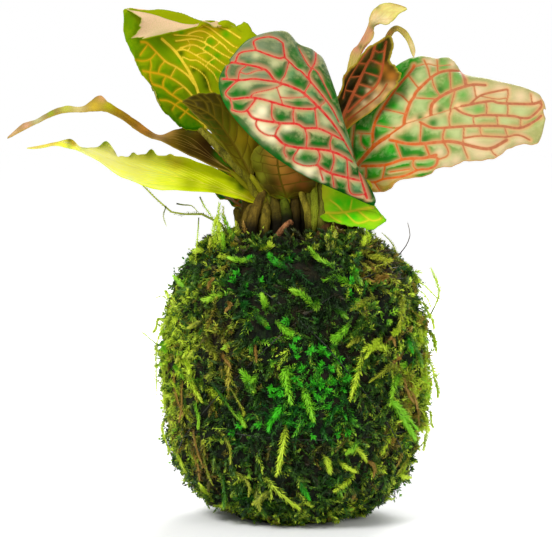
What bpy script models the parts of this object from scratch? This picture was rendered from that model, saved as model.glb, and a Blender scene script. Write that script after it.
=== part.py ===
"""A kokedama: a ball of soil wrapped in moss and nylon line, with a nerve plant growing out of its top.

The ball stands on its flat foot with the centre of that foot at the origin, +Z up. The scene is in
metres. Every size and every point in this file is in millimetres, and MM turns it into metres.
"""

import math
import random
from dataclasses import dataclass, field

import bmesh
import bpy
import numpy as np
from mathutils import Vector, noise
from mathutils.bvhtree import BVHTree

MM = 0.001
GAP = 0.3  # between pieces that touch
STALK_GAP = 0.62  # from a stem's axis side to the middle of a stalk's flat end, which leans a little
SOIL_GAP = 0.9  # the facets of the soil and of the cover's lining bow past each other by half of this

# The ball: the moss cover's outer skin without its sprigs, then the soil inside it
BALL_RADIUS = 50.5
BALL_MIDDLE = 58.0  # height of the widest ring
BALL_RISE = 56.0  # from the widest ring to where the skin would close at the top
BALL_DROP = 62.0  # from the widest ring to where it would close below the floor
BALL_FULLNESS = 3.0
TOP_ROUNDING = 5 / 12
FOOT_ROUNDING = 1 / 2
COVER_THICKNESS = 5.0
COVER_CREST = 111.0  # height at which the skin turns in to the open top
OPENING_RADIUS = 17.5
LIP_HEIGHT = 112.0
LIP_ROUNDING = 3.0
SOIL_SIDES = 24
SOIL_RINGS = 12
LINING_RINGS = 15

# Moss relief and sprigs
COVER_SIDES = 40
COVER_RINGS = 20
CUSHION_SIZE = 11.0
CUSHION_HEIGHT = 5.5
SPRIG_COUNT = 270
SPRIG_LENGTH = (13.0, 19.0)
SPRIG_WIDTH = 5.0
SPRIG_DEPTH = 2.6
SPRIG_ROOT = 2.4  # how far a sprig is sunk into the skin
SPRIG_BEND = (0.45, 1.6)  # share of its length at which a sprig bends, and its height off the skin there
SPRIG_TIP = (0.95, 2.6)  # the same for its tip
SPRIG_SWING = 0.75  # how far sprigs are combed sideways, beside 1 down the ball
SPRIG_LIFT = 0.25  # and how far they stand off it
SPRIG_SCATTER = 0.25  # most that a sprig is turned from its even place, in radians
LOWEST_SPRIG_POINT = 0.8
SPRIG_SEED = 11
CROWN_DEPTH = 9.0  # below the crest, where sprigs are short and stand out instead of hanging
CROWN_HANG = 0.2
CROWN_SHORT = 0.65
RUNNER_RADIUS = 0.8
THIN_END = 0.5  # radius of a shoot's or a dry stalk's end, beside its foot

# Nylon line
LINE_RADIUS = 0.4
LINE_LIFT = 0.35  # over the cushions it is pulled tight across
LINE_SIDES = 5
LINE_STEPS = 36
FEELS = 4  # places in each step at which the cover is felt for, to clear it by
LINE_CLEAR_OF_SPRIGS = 1.8

# Plant
STEM_RADIUS = 1.5
STEM_HOLE_RADIUS = 2.0
STEM_FOOT = 97.0
STEM_SIDES = 8
PETIOLE_RADIUS = 1.05
PETIOLE_ROWS = 5
PETIOLE_KNEE = 2.2  # straight stretch where a leaf stalk leaves its stem
BLADE_THICKNESS = 0.65
RIB_HEIGHT = 1.0  # the midrib's keel under the blade, at its base
BLADE_END = 0.985  # the share of its length at which a blade is cut square, just short of a point
ACROSS = (-1.0, -0.62, -0.12, 0.0, 0.12, 0.62, 1.0)  # columns of a blade, margin to margin
FULL_BODY = 0.6  # under 1, so that puffing and waves fade out only close to the ends of a blade
WAVE_LAG = 0.9  # how far the right margin's waves run behind the left one's, in radians
CREST_PLACE = 0.72  # where the crest of a rolled margin runs, between midrib and margin


def clear_scene():
    for old in list(bpy.data.objects):
        bpy.data.objects.remove(old, do_unlink=True)


def make_material(name, color, roughness):
    """A plain surface. The colour is linear RGB."""
    made = bpy.data.materials.new(name)
    made.use_nodes = True
    shader = made.node_tree.nodes["Principled BSDF"]
    shader.inputs["Base Color"].default_value = (*color, 1.0)
    shader.inputs["Roughness"].default_value = roughness
    shader.inputs["Metallic"].default_value = 0.0
    made.diffuse_color = (*color, 1.0)
    return made


def make_object(name, points, faces, material, smooth=True):
    """A mesh object from points in millimetres."""
    mesh = bpy.data.meshes.new(name)
    mesh.from_pydata([tuple(MM * value for value in point) for point in points], [], faces)
    if smooth:
        mesh.shade_smooth()
        mesh.set_sharp_from_angle(angle=math.radians(50))
    mesh.materials.append(material)
    made = bpy.data.objects.new(name, mesh)
    bpy.context.scene.collection.objects.link(made)
    return made


def along(points, count, start=0.0, end=1.0):
    """The smooth curve through the points, read at count even places from start to end."""
    path = np.array(points, dtype=float)
    places = np.linspace(start, end, count) * (len(path) - 1)
    return np.array([at_place(path, place) for place in places])


def at_place(path, place):
    """One point of the Catmull-Rom curve through the path, where place 0 is its first point."""
    first = min(int(place), len(path) - 2)
    t = place - first
    before = path[first - 1] if first > 0 else 2 * path[0] - path[1]
    after = path[first + 2] if first + 2 < len(path) else 2 * path[-1] - path[-2]
    here, there = path[first], path[first + 1]
    return 0.5 * (
        2 * here
        + (there - before) * t
        + (2 * before - 5 * here + 4 * there - after) * t**2
        + (3 * here - before - 3 * there + after) * t**3
    )


def unit(vector):
    return vector / np.linalg.norm(vector)


def square_to(vector, axis):
    """The part of the vector at right angles to the axis, one long."""
    return unit(vector - np.dot(vector, axis) * axis)


def tangents(path):
    return np.array([unit(step) for step in np.gradient(path, axis=0)])


def loft(rings, close_ends=True):
    """(points, triangles) of the skin through rings that have the same number of points."""
    sides = len(rings[0])
    points = [point for ring in rings for point in ring]
    faces = []
    for row in range(len(rings) - 1):
        for side in range(sides):
            a = row * sides + side
            b = row * sides + (side + 1) % sides
            faces += [(a, b, b + sides), (a, b + sides, a + sides)]
    if close_ends:
        last = (len(rings) - 1) * sides
        faces.append(tuple(range(sides - 1, -1, -1)))
        faces.append(tuple(range(last, last + sides)))
    return points, faces


def tube(path, radii, sides):
    """(points, faces) of a closed tube along the path, with a radius for each of its points."""
    side = np.array([1.0, 0.0, 0.0])
    rings = []
    for centre, way, radius in zip(path, tangents(path), radii):
        side = square_to(side, way)
        other = np.cross(way, side)
        turns = [2 * math.pi * k / sides for k in range(sides)]
        rings.append([centre + radius * (math.cos(a) * side + math.sin(a) * other) for a in turns])
    return loft(rings)


def unite(target, pieces, solver="EXACT"):
    """Joins the pieces to the target with one Boolean union, and removes them."""
    group = bpy.data.collections.new(target.name + "_pieces")
    bpy.context.scene.collection.children.link(group)
    for piece in pieces:
        bpy.context.scene.collection.objects.unlink(piece)
        group.objects.link(piece)
    joint = target.modifiers.new("union", "BOOLEAN")
    joint.operation = "UNION"
    joint.operand_type = "COLLECTION"
    joint.collection = group
    joint.solver = solver
    bpy.context.view_layer.objects.active = target
    bpy.ops.object.modifier_apply(modifier=joint.name)
    for piece in pieces:
        bpy.data.objects.remove(piece, do_unlink=True)
    bpy.data.collections.remove(group)
    return target


# The ball's outline


def ball_radius(height, shrink=0.0):
    """Radius at a height of the cover's skin, or of the same form this much smaller all round."""
    above = height - BALL_MIDDLE
    reach = (BALL_RISE if above > 0 else BALL_DROP) - shrink
    rounding = TOP_ROUNDING if above > 0 else FOOT_ROUNDING
    inside = max(0.0, 1 - abs(above / reach) ** BALL_FULLNESS)
    return (BALL_RADIUS - shrink) * inside**rounding


def outline(low, high, count, shrink=0.0):
    """Even steps along the ball's outline between two heights, as (radius, height) pairs."""
    heights = np.linspace(low, high, 400)
    line = np.array([(ball_radius(height, shrink), height) for height in heights])
    run = np.concatenate([[0], np.cumsum(np.linalg.norm(np.diff(line, axis=0), axis=1))])
    places = np.linspace(0, run[-1], count)
    return [(np.interp(s, run, line[:, 0]), np.interp(s, run, line[:, 1])) for s in places]


def turned(profile, sides, shift=None):
    """A turned solid whose profile starts and ends on the axis. shift may move a ring's points."""
    points = [(0.0, 0.0, profile[0][1])]
    for row, (radius, height) in enumerate(profile[1:-1], start=1):
        for side in range(sides):
            turn = 2 * math.pi * (side + 0.5 * (row % 2)) / sides
            spot = np.array([radius * math.cos(turn), radius * math.sin(turn), height])
            points.append(tuple(shift(spot, row) if shift else spot))
    points.append((0.0, 0.0, profile[-1][1]))
    last = len(points) - 1
    faces = []
    for side in range(sides):
        ahead = (side + 1) % sides
        faces.append((0, 1 + ahead, 1 + side))
        faces.append((last, last - sides + side, last - sides + ahead))
    for row in range(len(profile) - 3):
        lower = 1 + row * sides
        upper = lower + sides
        for side in range(sides):
            ahead = (side + 1) % sides
            if row % 2:
                quad = (lower + side, lower + ahead, upper + side, upper + ahead)
                faces += [(quad[0], quad[1], quad[2]), (quad[1], quad[3], quad[2])]
            else:
                quad = (lower + side, lower + ahead, upper + side, upper + ahead)
                faces += [(quad[0], quad[1], quad[3]), (quad[0], quad[3], quad[2])]
    return points, faces


# Stems: each rises out of its hole in the soil


STEMS = {
    "stem_left": [(-8, -4, STEM_FOOT), (-8, -4, 112), (-9, -4, 118), (-10, -5, 124.5)],
    "stem_centre": [(-1, 4, STEM_FOOT), (-1, 4, 113), (-1.5, 5, 121), (-2, 6, 129)],
    "stem_right": [(9, -3, STEM_FOOT), (9.5, -3, 113), (11.5, -2, 120), (14, -1, 127)],
    "stem_back": [(6, 10, STEM_FOOT), (6.5, 11, 114), (8, 13, 124), (10.5, 15, 135)],
}
DRY_STALK = [(-5, -10, 104), (-6, -11, 110), (-8, -12.5, 113.5), (-11, -13.5, 114.5), (-12, -15, 112)]


def make_soil(material):
    """The soil ball, with a hole for each stem and for the dry stalk."""
    shrink = COVER_THICKNESS + SOIL_GAP
    high = BALL_MIDDLE + BALL_RISE - shrink
    rings = outline(shrink, high, SOIL_RINGS, shrink)
    profile = [(0.0, shrink)] + rings[:-1] + [(0.0, high)]
    points, faces = turned(profile, SOIL_SIDES)
    soil = make_object("soil_ball", points, faces, material)
    feet = [(path, STEM_HOLE_RADIUS) for path in STEMS.values()] + [(DRY_STALK, STEM_HOLE_RADIUS)]
    holes = bpy.data.collections.new("stem_holes")
    bpy.context.scene.collection.children.link(holes)
    for number, (path, radius) in enumerate(feet):
        foot = np.array(path[0], dtype=float)
        way = unit(np.array(path[1], dtype=float) - foot)
        run = np.array([foot - GAP * way, foot + way * (LIP_HEIGHT - foot[2])])
        points, faces = tube(run, [radius, radius], 10)
        hole = make_object(f"stem_hole_{number}", points, faces, material, smooth=False)
        hole.hide_render = True
        hole.display_type = "WIRE"
        bpy.context.scene.collection.objects.unlink(hole)
        holes.objects.link(hole)
    cut = soil.modifiers.new("stem holes", "BOOLEAN")
    cut.operation = "DIFFERENCE"
    cut.operand_type = "COLLECTION"
    cut.collection = holes
    return soil


def cushion(spot):
    """How far the moss swells out at a spot of the skin."""
    place = Vector(spot) / CUSHION_SIZE
    return CUSHION_HEIGHT * (noise.noise(place) * 0.55 + noise.noise(place * 2.7) * 0.4)


def make_cover(material):
    """The moss cover without its sprigs: a cup of even thickness with a cushioned skin."""
    skin = outline(0.0, COVER_CREST, COVER_RINGS)
    inner_low = COVER_THICKNESS
    inner_high = BALL_MIDDLE + BALL_RISE - COVER_THICKNESS
    lining = [
        ring
        for ring in outline(inner_low, inner_high, LINING_RINGS, COVER_THICKNESS)
        if ring[0] > OPENING_RADIUS - 0.5 or ring[1] < BALL_MIDDLE
    ]
    lip = [(skin[-1][0] - LIP_ROUNDING, LIP_HEIGHT), (OPENING_RADIUS, LIP_HEIGHT - LIP_ROUNDING / 2)]
    inward = [(OPENING_RADIUS, lining[-1][1] + 1.0)] + lining[::-1]
    profile = [(0.0, 0.0)] + skin + lip + inward + [(0.0, inner_low)]

    def swell(spot, row):
        """The first ring is the foot's edge, which stays flat, and the rings past the skin are smooth."""
        if row == 1 or row > len(skin):
            return spot
        outward = unit(spot - np.array([0, 0, BALL_MIDDLE]))
        moved = spot + outward * cushion(spot)
        moved[2] = max(moved[2], LOWEST_SPRIG_POINT)
        return moved

    points, faces = turned(profile, COVER_SIDES, swell)
    return make_object("moss_cover", points, faces, material), points, faces


def line_rings(tree):
    """Paths of the nylon line's turns. Each lies in a plane, pulled tight over the moss cushions."""
    turns = (
        ((0.05, -0.10, 1.0), 42.0),
        ((-0.62, 0.30, 0.72), 60.0),
        ((0.66, 0.34, 0.66), 57.0),
    )
    paths = []
    for normal, height in turns:
        axis = unit(np.array(normal))
        first = square_to(np.array([1.0, 0.0, 0.0]), axis)
        second = np.cross(axis, first)
        centre = np.array([0.0, 0.0, height])
        reach, ways = [], []
        for feel in range(LINE_STEPS * FEELS):
            turn = 2 * math.pi * feel / (LINE_STEPS * FEELS)
            way = math.cos(turn) * first + math.sin(turn) * second
            far = centre + way * BALL_RADIUS * 2
            hit = tree.ray_cast(Vector(far), Vector(-way))
            reach.append(np.linalg.norm(np.array(hit[0]) - centre))
            ways.append(way)
        lift = LINE_RADIUS + LINE_LIFT + GAP
        path = []
        for step in range(0, len(reach), FEELS):
            nearby = [reach[(step + k) % len(reach)] for k in range(-FEELS, FEELS + 1)]
            path.append(centre + ways[step] * (max(nearby) + lift))
        paths.append(path)
    return paths


def make_line(paths, material):
    """The nylon line: its turns cross and are tied, so they are one body."""
    rings = []
    for number, path in enumerate(paths):
        middle = np.mean(path, axis=0)
        count = len(path)
        loops = []
        for k, centre in enumerate(path):
            way = unit(path[(k + 1) % count] - path[k - 1])
            out = square_to(centre - middle, way)
            other = np.cross(way, out)
            turns = [2 * math.pi * s / LINE_SIDES for s in range(LINE_SIDES)]
            loops.append([
                centre + LINE_RADIUS * (math.cos(a) * out + math.sin(a) * other) for a in turns
            ])
        points, faces = loft(loops + [loops[0]], close_ends=False)
        points = points[: count * LINE_SIDES]
        faces = [tuple(index % len(points) for index in face) for face in faces]
        name = "binding_line" if number == 0 else f"line_turn_{number}"
        rings.append(make_object(name, points, faces, material))
    return unite(rings[0], rings[1:])


def sprig_points(root, outward, lean, length):
    """The three centre points of a sprig: its sunk root, its bend and its tip."""
    start = root - outward * SPRIG_ROOT
    bend = root + outward * SPRIG_BEND[1] + lean * length * SPRIG_BEND[0]
    tip = root + outward * SPRIG_TIP[1] + lean * length * SPRIG_TIP[0]
    return start, bend, tip


def make_sprig(number, centres, outward, material):
    """One sprig: a curved three-sided spike, flat against the ball."""
    start, bend, tip = centres
    way = unit(tip - start)
    up = square_to(outward, way)
    across = np.cross(way, up)
    rings = []
    for centre, width in ((start, 1.0), (bend, 0.9)):
        half = 0.5 * SPRIG_WIDTH * width
        rings.append([
            centre + across * half,
            centre - across * half,
            centre + up * SPRIG_DEPTH * width,
        ])
    points = [tuple(point) for ring in rings for point in ring] + [tuple(tip)]
    faces = [(2, 1, 0)]
    for side in range(3):
        ahead = (side + 1) % 3
        faces += [(side, ahead, 3 + ahead), (side, 3 + ahead, 3 + side), (3 + side, 3 + ahead, 6)]
    sprig = make_object(f"sprig_{number}", points, faces, material, smooth=False)
    bm = bmesh.new()
    bm.from_mesh(sprig.data)
    bmesh.ops.recalc_face_normals(bm, faces=bm.faces)
    bm.to_mesh(sprig.data)
    bm.free()
    return sprig


def make_sprigs(tree, line_paths, material):
    """Sprigs spread evenly over the cover, combed down it, upright round the open top."""
    draw = random.Random(SPRIG_SEED)
    line_spots = np.array([spot for path in line_paths for spot in densify(path)])
    golden = math.pi * (3 - math.sqrt(5))
    sprigs = []
    for number in range(SPRIG_COUNT):
        share = (number + 0.5) / SPRIG_COUNT
        height = COVER_THICKNESS + share * (COVER_CREST - COVER_THICKNESS)
        turn = number * golden + draw.uniform(-SPRIG_SCATTER, SPRIG_SCATTER)
        out = np.array([math.cos(turn), math.sin(turn), 0.0])
        slope = math.atan2(height - BALL_MIDDLE, BALL_RISE)
        way = unit(out * math.cos(slope) + np.array([0, 0, math.sin(slope)]))
        far = np.array([0, 0, BALL_MIDDLE]) + way * BALL_RADIUS * 2
        hit, normal, _, _ = tree.ray_cast(Vector(far), Vector(-way))
        root = np.array(hit)
        outward = unit(np.array(normal))
        down = square_to(np.array([0, 0, -1.0]), outward)
        beside = np.cross(outward, down)
        swing = draw.uniform(-1.0, 1.0)
        length = draw.uniform(*SPRIG_LENGTH)
        crown = root[2] > COVER_CREST - CROWN_DEPTH
        hang = CROWN_HANG if crown else 1.0
        lean = unit(hang * down + swing * SPRIG_SWING * beside + SPRIG_LIFT * outward)
        if root[2] < 2 * SPRIG_WIDTH:
            lean = unit(swing * beside + SPRIG_LIFT * (outward + np.array([0, 0, 1.0])))
        _, bend, tip = centres = sprig_points(root, outward, lean, length * (CROWN_SHORT if crown else 1))
        low = min(bend[2], tip[2]) - SPRIG_WIDTH / 2
        inward = math.hypot(tip[0], tip[1]) < OPENING_RADIUS + SPRIG_WIDTH
        spread = np.array([root, bend, (bend + tip) / 2, tip])
        reach = np.linalg.norm(line_spots[None] - spread[:, None], axis=2).min()
        if low < LOWEST_SPRIG_POINT or inward or reach < LINE_CLEAR_OF_SPRIGS + SPRIG_WIDTH / 2:
            continue
        sprigs.append(make_sprig(number, centres, outward, material))
    return sprigs


def densify(path):
    """Points of a closed path with four more between each two."""
    count = len(path)
    return [
        path[k] + (path[(k + 1) % count] - path[k]) * step / 5
        for k in range(count)
        for step in range(5)
    ]


def make_runner(name, points, material):
    """A long bare moss shoot, thinner to its tip."""
    path = along(points, 12)
    radii = np.linspace(RUNNER_RADIUS, THIN_END * RUNNER_RADIUS, len(path))
    return make_object(name, *tube(path, radii, 5), material)


RUNNERS = {
    "runner_left": [
        (-22, -14, 104), (-30, -15, 111), (-40, -15, 119), (-47, -15, 120), (-53, -14, 126),
        (-61, -13, 132.5),
    ],
    "runner_right": [(36, -6, 98), (39, -8, 104), (40.5, -9, 109), (44, -10, 112)],
    "runner_shoulder": [(45, -4, 88), (49, -5, 93), (52.5, -6, 96), (56, -6, 95)],
}


# Leaves


@dataclass
class Leaf:
    """One leaf. Its blade is the smooth skin through its margins and its midrib, base to tip."""

    name: str
    stem: str
    share: float  # how far up its stem the stalk leaves it
    stalk: list  # points of the stalk between the stem and the blade
    rib: list
    left: list
    right: list
    rows: int = 14
    crest: list = field(default_factory=list)  # the fold of a margin that is rolled over
    puff: float = 1.0  # how far each half swells up beside the midrib
    wave: float = 0.8  # height of the waves in the margin
    waves: float = 3.5
    quilt: float = 0.35  # depth of the furrows over the side veins


def blade_curves(leaf, side):
    """The curves that the blade runs through, from the left margin to the right, with their places."""
    base, tip = np.array(leaf.rib[0], dtype=float), np.array(leaf.rib[-1], dtype=float)
    curves = [(-1.0, [base - side * PETIOLE_RADIUS] + leaf.left + [tip]), (0.0, leaf.rib)]
    if leaf.crest:
        start = base + side * PETIOLE_RADIUS * CREST_PLACE
        curves.append((CREST_PLACE, [start] + leaf.crest + [tip]))
    curves.append((1.0, [base + side * PETIOLE_RADIUS] + leaf.right + [tip]))
    return curves


def across_blade(places, spots, v):
    """The point at place v of the smooth line through the spots of one row."""
    slopes = [(b - a) / (q - p) for a, b, p, q in zip(spots, spots[1:], places, places[1:])]
    widths = np.diff(places)
    inner = [
        (slopes[k - 1] * widths[k] + slopes[k] * widths[k - 1]) / (widths[k - 1] + widths[k])
        for k in range(1, len(slopes))
    ]
    ways = [2 * slopes[0] - inner[0]] + inner + [2 * slopes[-1] - inner[-1]]
    k = min(int(np.searchsorted(places, v, side="right")) - 1, len(widths) - 1)
    h = widths[k]
    t = (v - places[k]) / h
    return (
        spots[k] * (1 + 2 * t) * (1 - t) ** 2
        + ways[k] * h * t * (1 - t) ** 2
        + spots[k + 1] * t**2 * (3 - 2 * t)
        + ways[k + 1] * h * t**2 * (t - 1)
    )


def blade_grid(leaf, side):
    """Middle surface of the blade as a grid of points, row by row from base to tip."""
    curves = blade_curves(leaf, side)
    places = [place for place, _ in curves]
    rows = [along(points, leaf.rows, 0.0, BLADE_END) for _, points in curves]
    grid = np.array([
        [across_blade(places, [row[r] for row in rows], v) for v in ACROSS] for r in range(leaf.rows)
    ])
    normals = grid_normals(grid)
    for r in range(leaf.rows):
        u = r / (leaf.rows - 1)
        body = max(0.0, math.sin(math.pi * u)) ** FULL_BODY
        for c, v in enumerate(ACROSS):
            half = max(0.0, math.sin(math.pi * abs(v)))  # none at the midrib and the margin
            turn = 2 * math.pi * leaf.waves * u + (WAVE_LAG if v > 0 else 0.0)
            swell = leaf.puff * half - leaf.quilt * (r % 2) * half**FULL_BODY
            swell += leaf.wave * abs(v) ** 3 * math.sin(turn)
            grid[r, c] += normals[r, c] * swell * body
    return grid


def grid_normals(grid):
    """Unit normals of a grid, pointing to the blade's upper face."""
    ahead = np.gradient(grid, axis=0)
    beside = np.gradient(grid, axis=1)
    normals = np.cross(beside, ahead)
    return normals / np.linalg.norm(normals, axis=2, keepdims=True)


def stalk_path(leaf):
    """The stalk from its stem, which it leaves squarely, to the blade's base."""
    stem = STEMS[leaf.stem]
    spots = along(stem, 40)
    place = int(leaf.share * (len(spots) - 1))
    on_axis = spots[place]
    way = tangents(spots)[place]
    toward = square_to(np.array(leaf.stalk[0], dtype=float) - on_axis, way)
    start = on_axis + toward * (STEM_RADIUS + STALK_GAP)
    knee = start + toward * PETIOLE_KNEE
    return along([start, knee] + leaf.stalk + [leaf.rib[0]], PETIOLE_ROWS + 1)


def leaf_rings(leaf):
    """Cross-sections of the leaf from the foot of its stalk to its tip, as loops of points."""
    stalk = stalk_path(leaf)
    way = unit(np.array(leaf.rib[1], dtype=float) - stalk[-2])
    side = square_to(np.array(leaf.right[0], dtype=float) - np.array(leaf.left[0], dtype=float), way)
    grid = blade_grid(leaf, side)
    normals = grid_normals(grid)
    rings = []
    for centre, way in zip(stalk[-2::-1], tangents(stalk)[-2::-1]):
        side = square_to(side, way)
        up = np.cross(side, way)
        turns = [math.pi * (1 - (c + 0.5) / len(ACROSS)) for c in range(len(ACROSS))]
        upper = [centre + PETIOLE_RADIUS * (math.cos(a) * side + math.sin(a) * up) for a in turns]
        lower = [centre + PETIOLE_RADIUS * (math.cos(a) * side - math.sin(a) * up) for a in turns]
        rings.append(upper + lower[::-1])
    rings.reverse()
    for r in range(leaf.rows):
        keel = RIB_HEIGHT * (1 - r / leaf.rows)
        upper = [grid[r, c] + normals[r, c] * BLADE_THICKNESS / 2 for c in range(len(ACROSS))]
        lower = [
            grid[r, c] - normals[r, c] * (BLADE_THICKNESS / 2 + (keel if v == 0 else 0))
            for c, v in enumerate(ACROSS)
        ]
        rings.append(upper + lower[::-1])
    return rings


def leaf_mesh(leaf):
    """(points, triangles) of a closed leaf. Both faces of the blade are split along like diagonals."""
    rings = leaf_rings(leaf)
    columns = len(ACROSS)
    sides = 2 * columns
    points = [tuple(point) for ring in rings for point in ring]
    faces = []
    for row in range(len(rings) - 1):
        for side in range(sides):
            a = row * sides + side
            b = row * sides + (side + 1) % sides
            if side < columns:
                faces += [(a, b, b + sides), (a, b + sides, a + sides)]
            else:
                faces += [(a, b, a + sides), (b, b + sides, a + sides)]
    last = (len(rings) - 1) * sides
    for c in range(columns - 1):
        d = sides - 1 - c
        for base, turned_over in ((0, True), (last, False)):
            quad = (base + c, base + c + 1, base + d - 1, base + d)
            faces += fan(quad[::-1] if turned_over else quad)
    return points, faces


def fan(quad):
    return [(quad[0], quad[1], quad[2]), (quad[0], quad[2], quad[3])]


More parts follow.
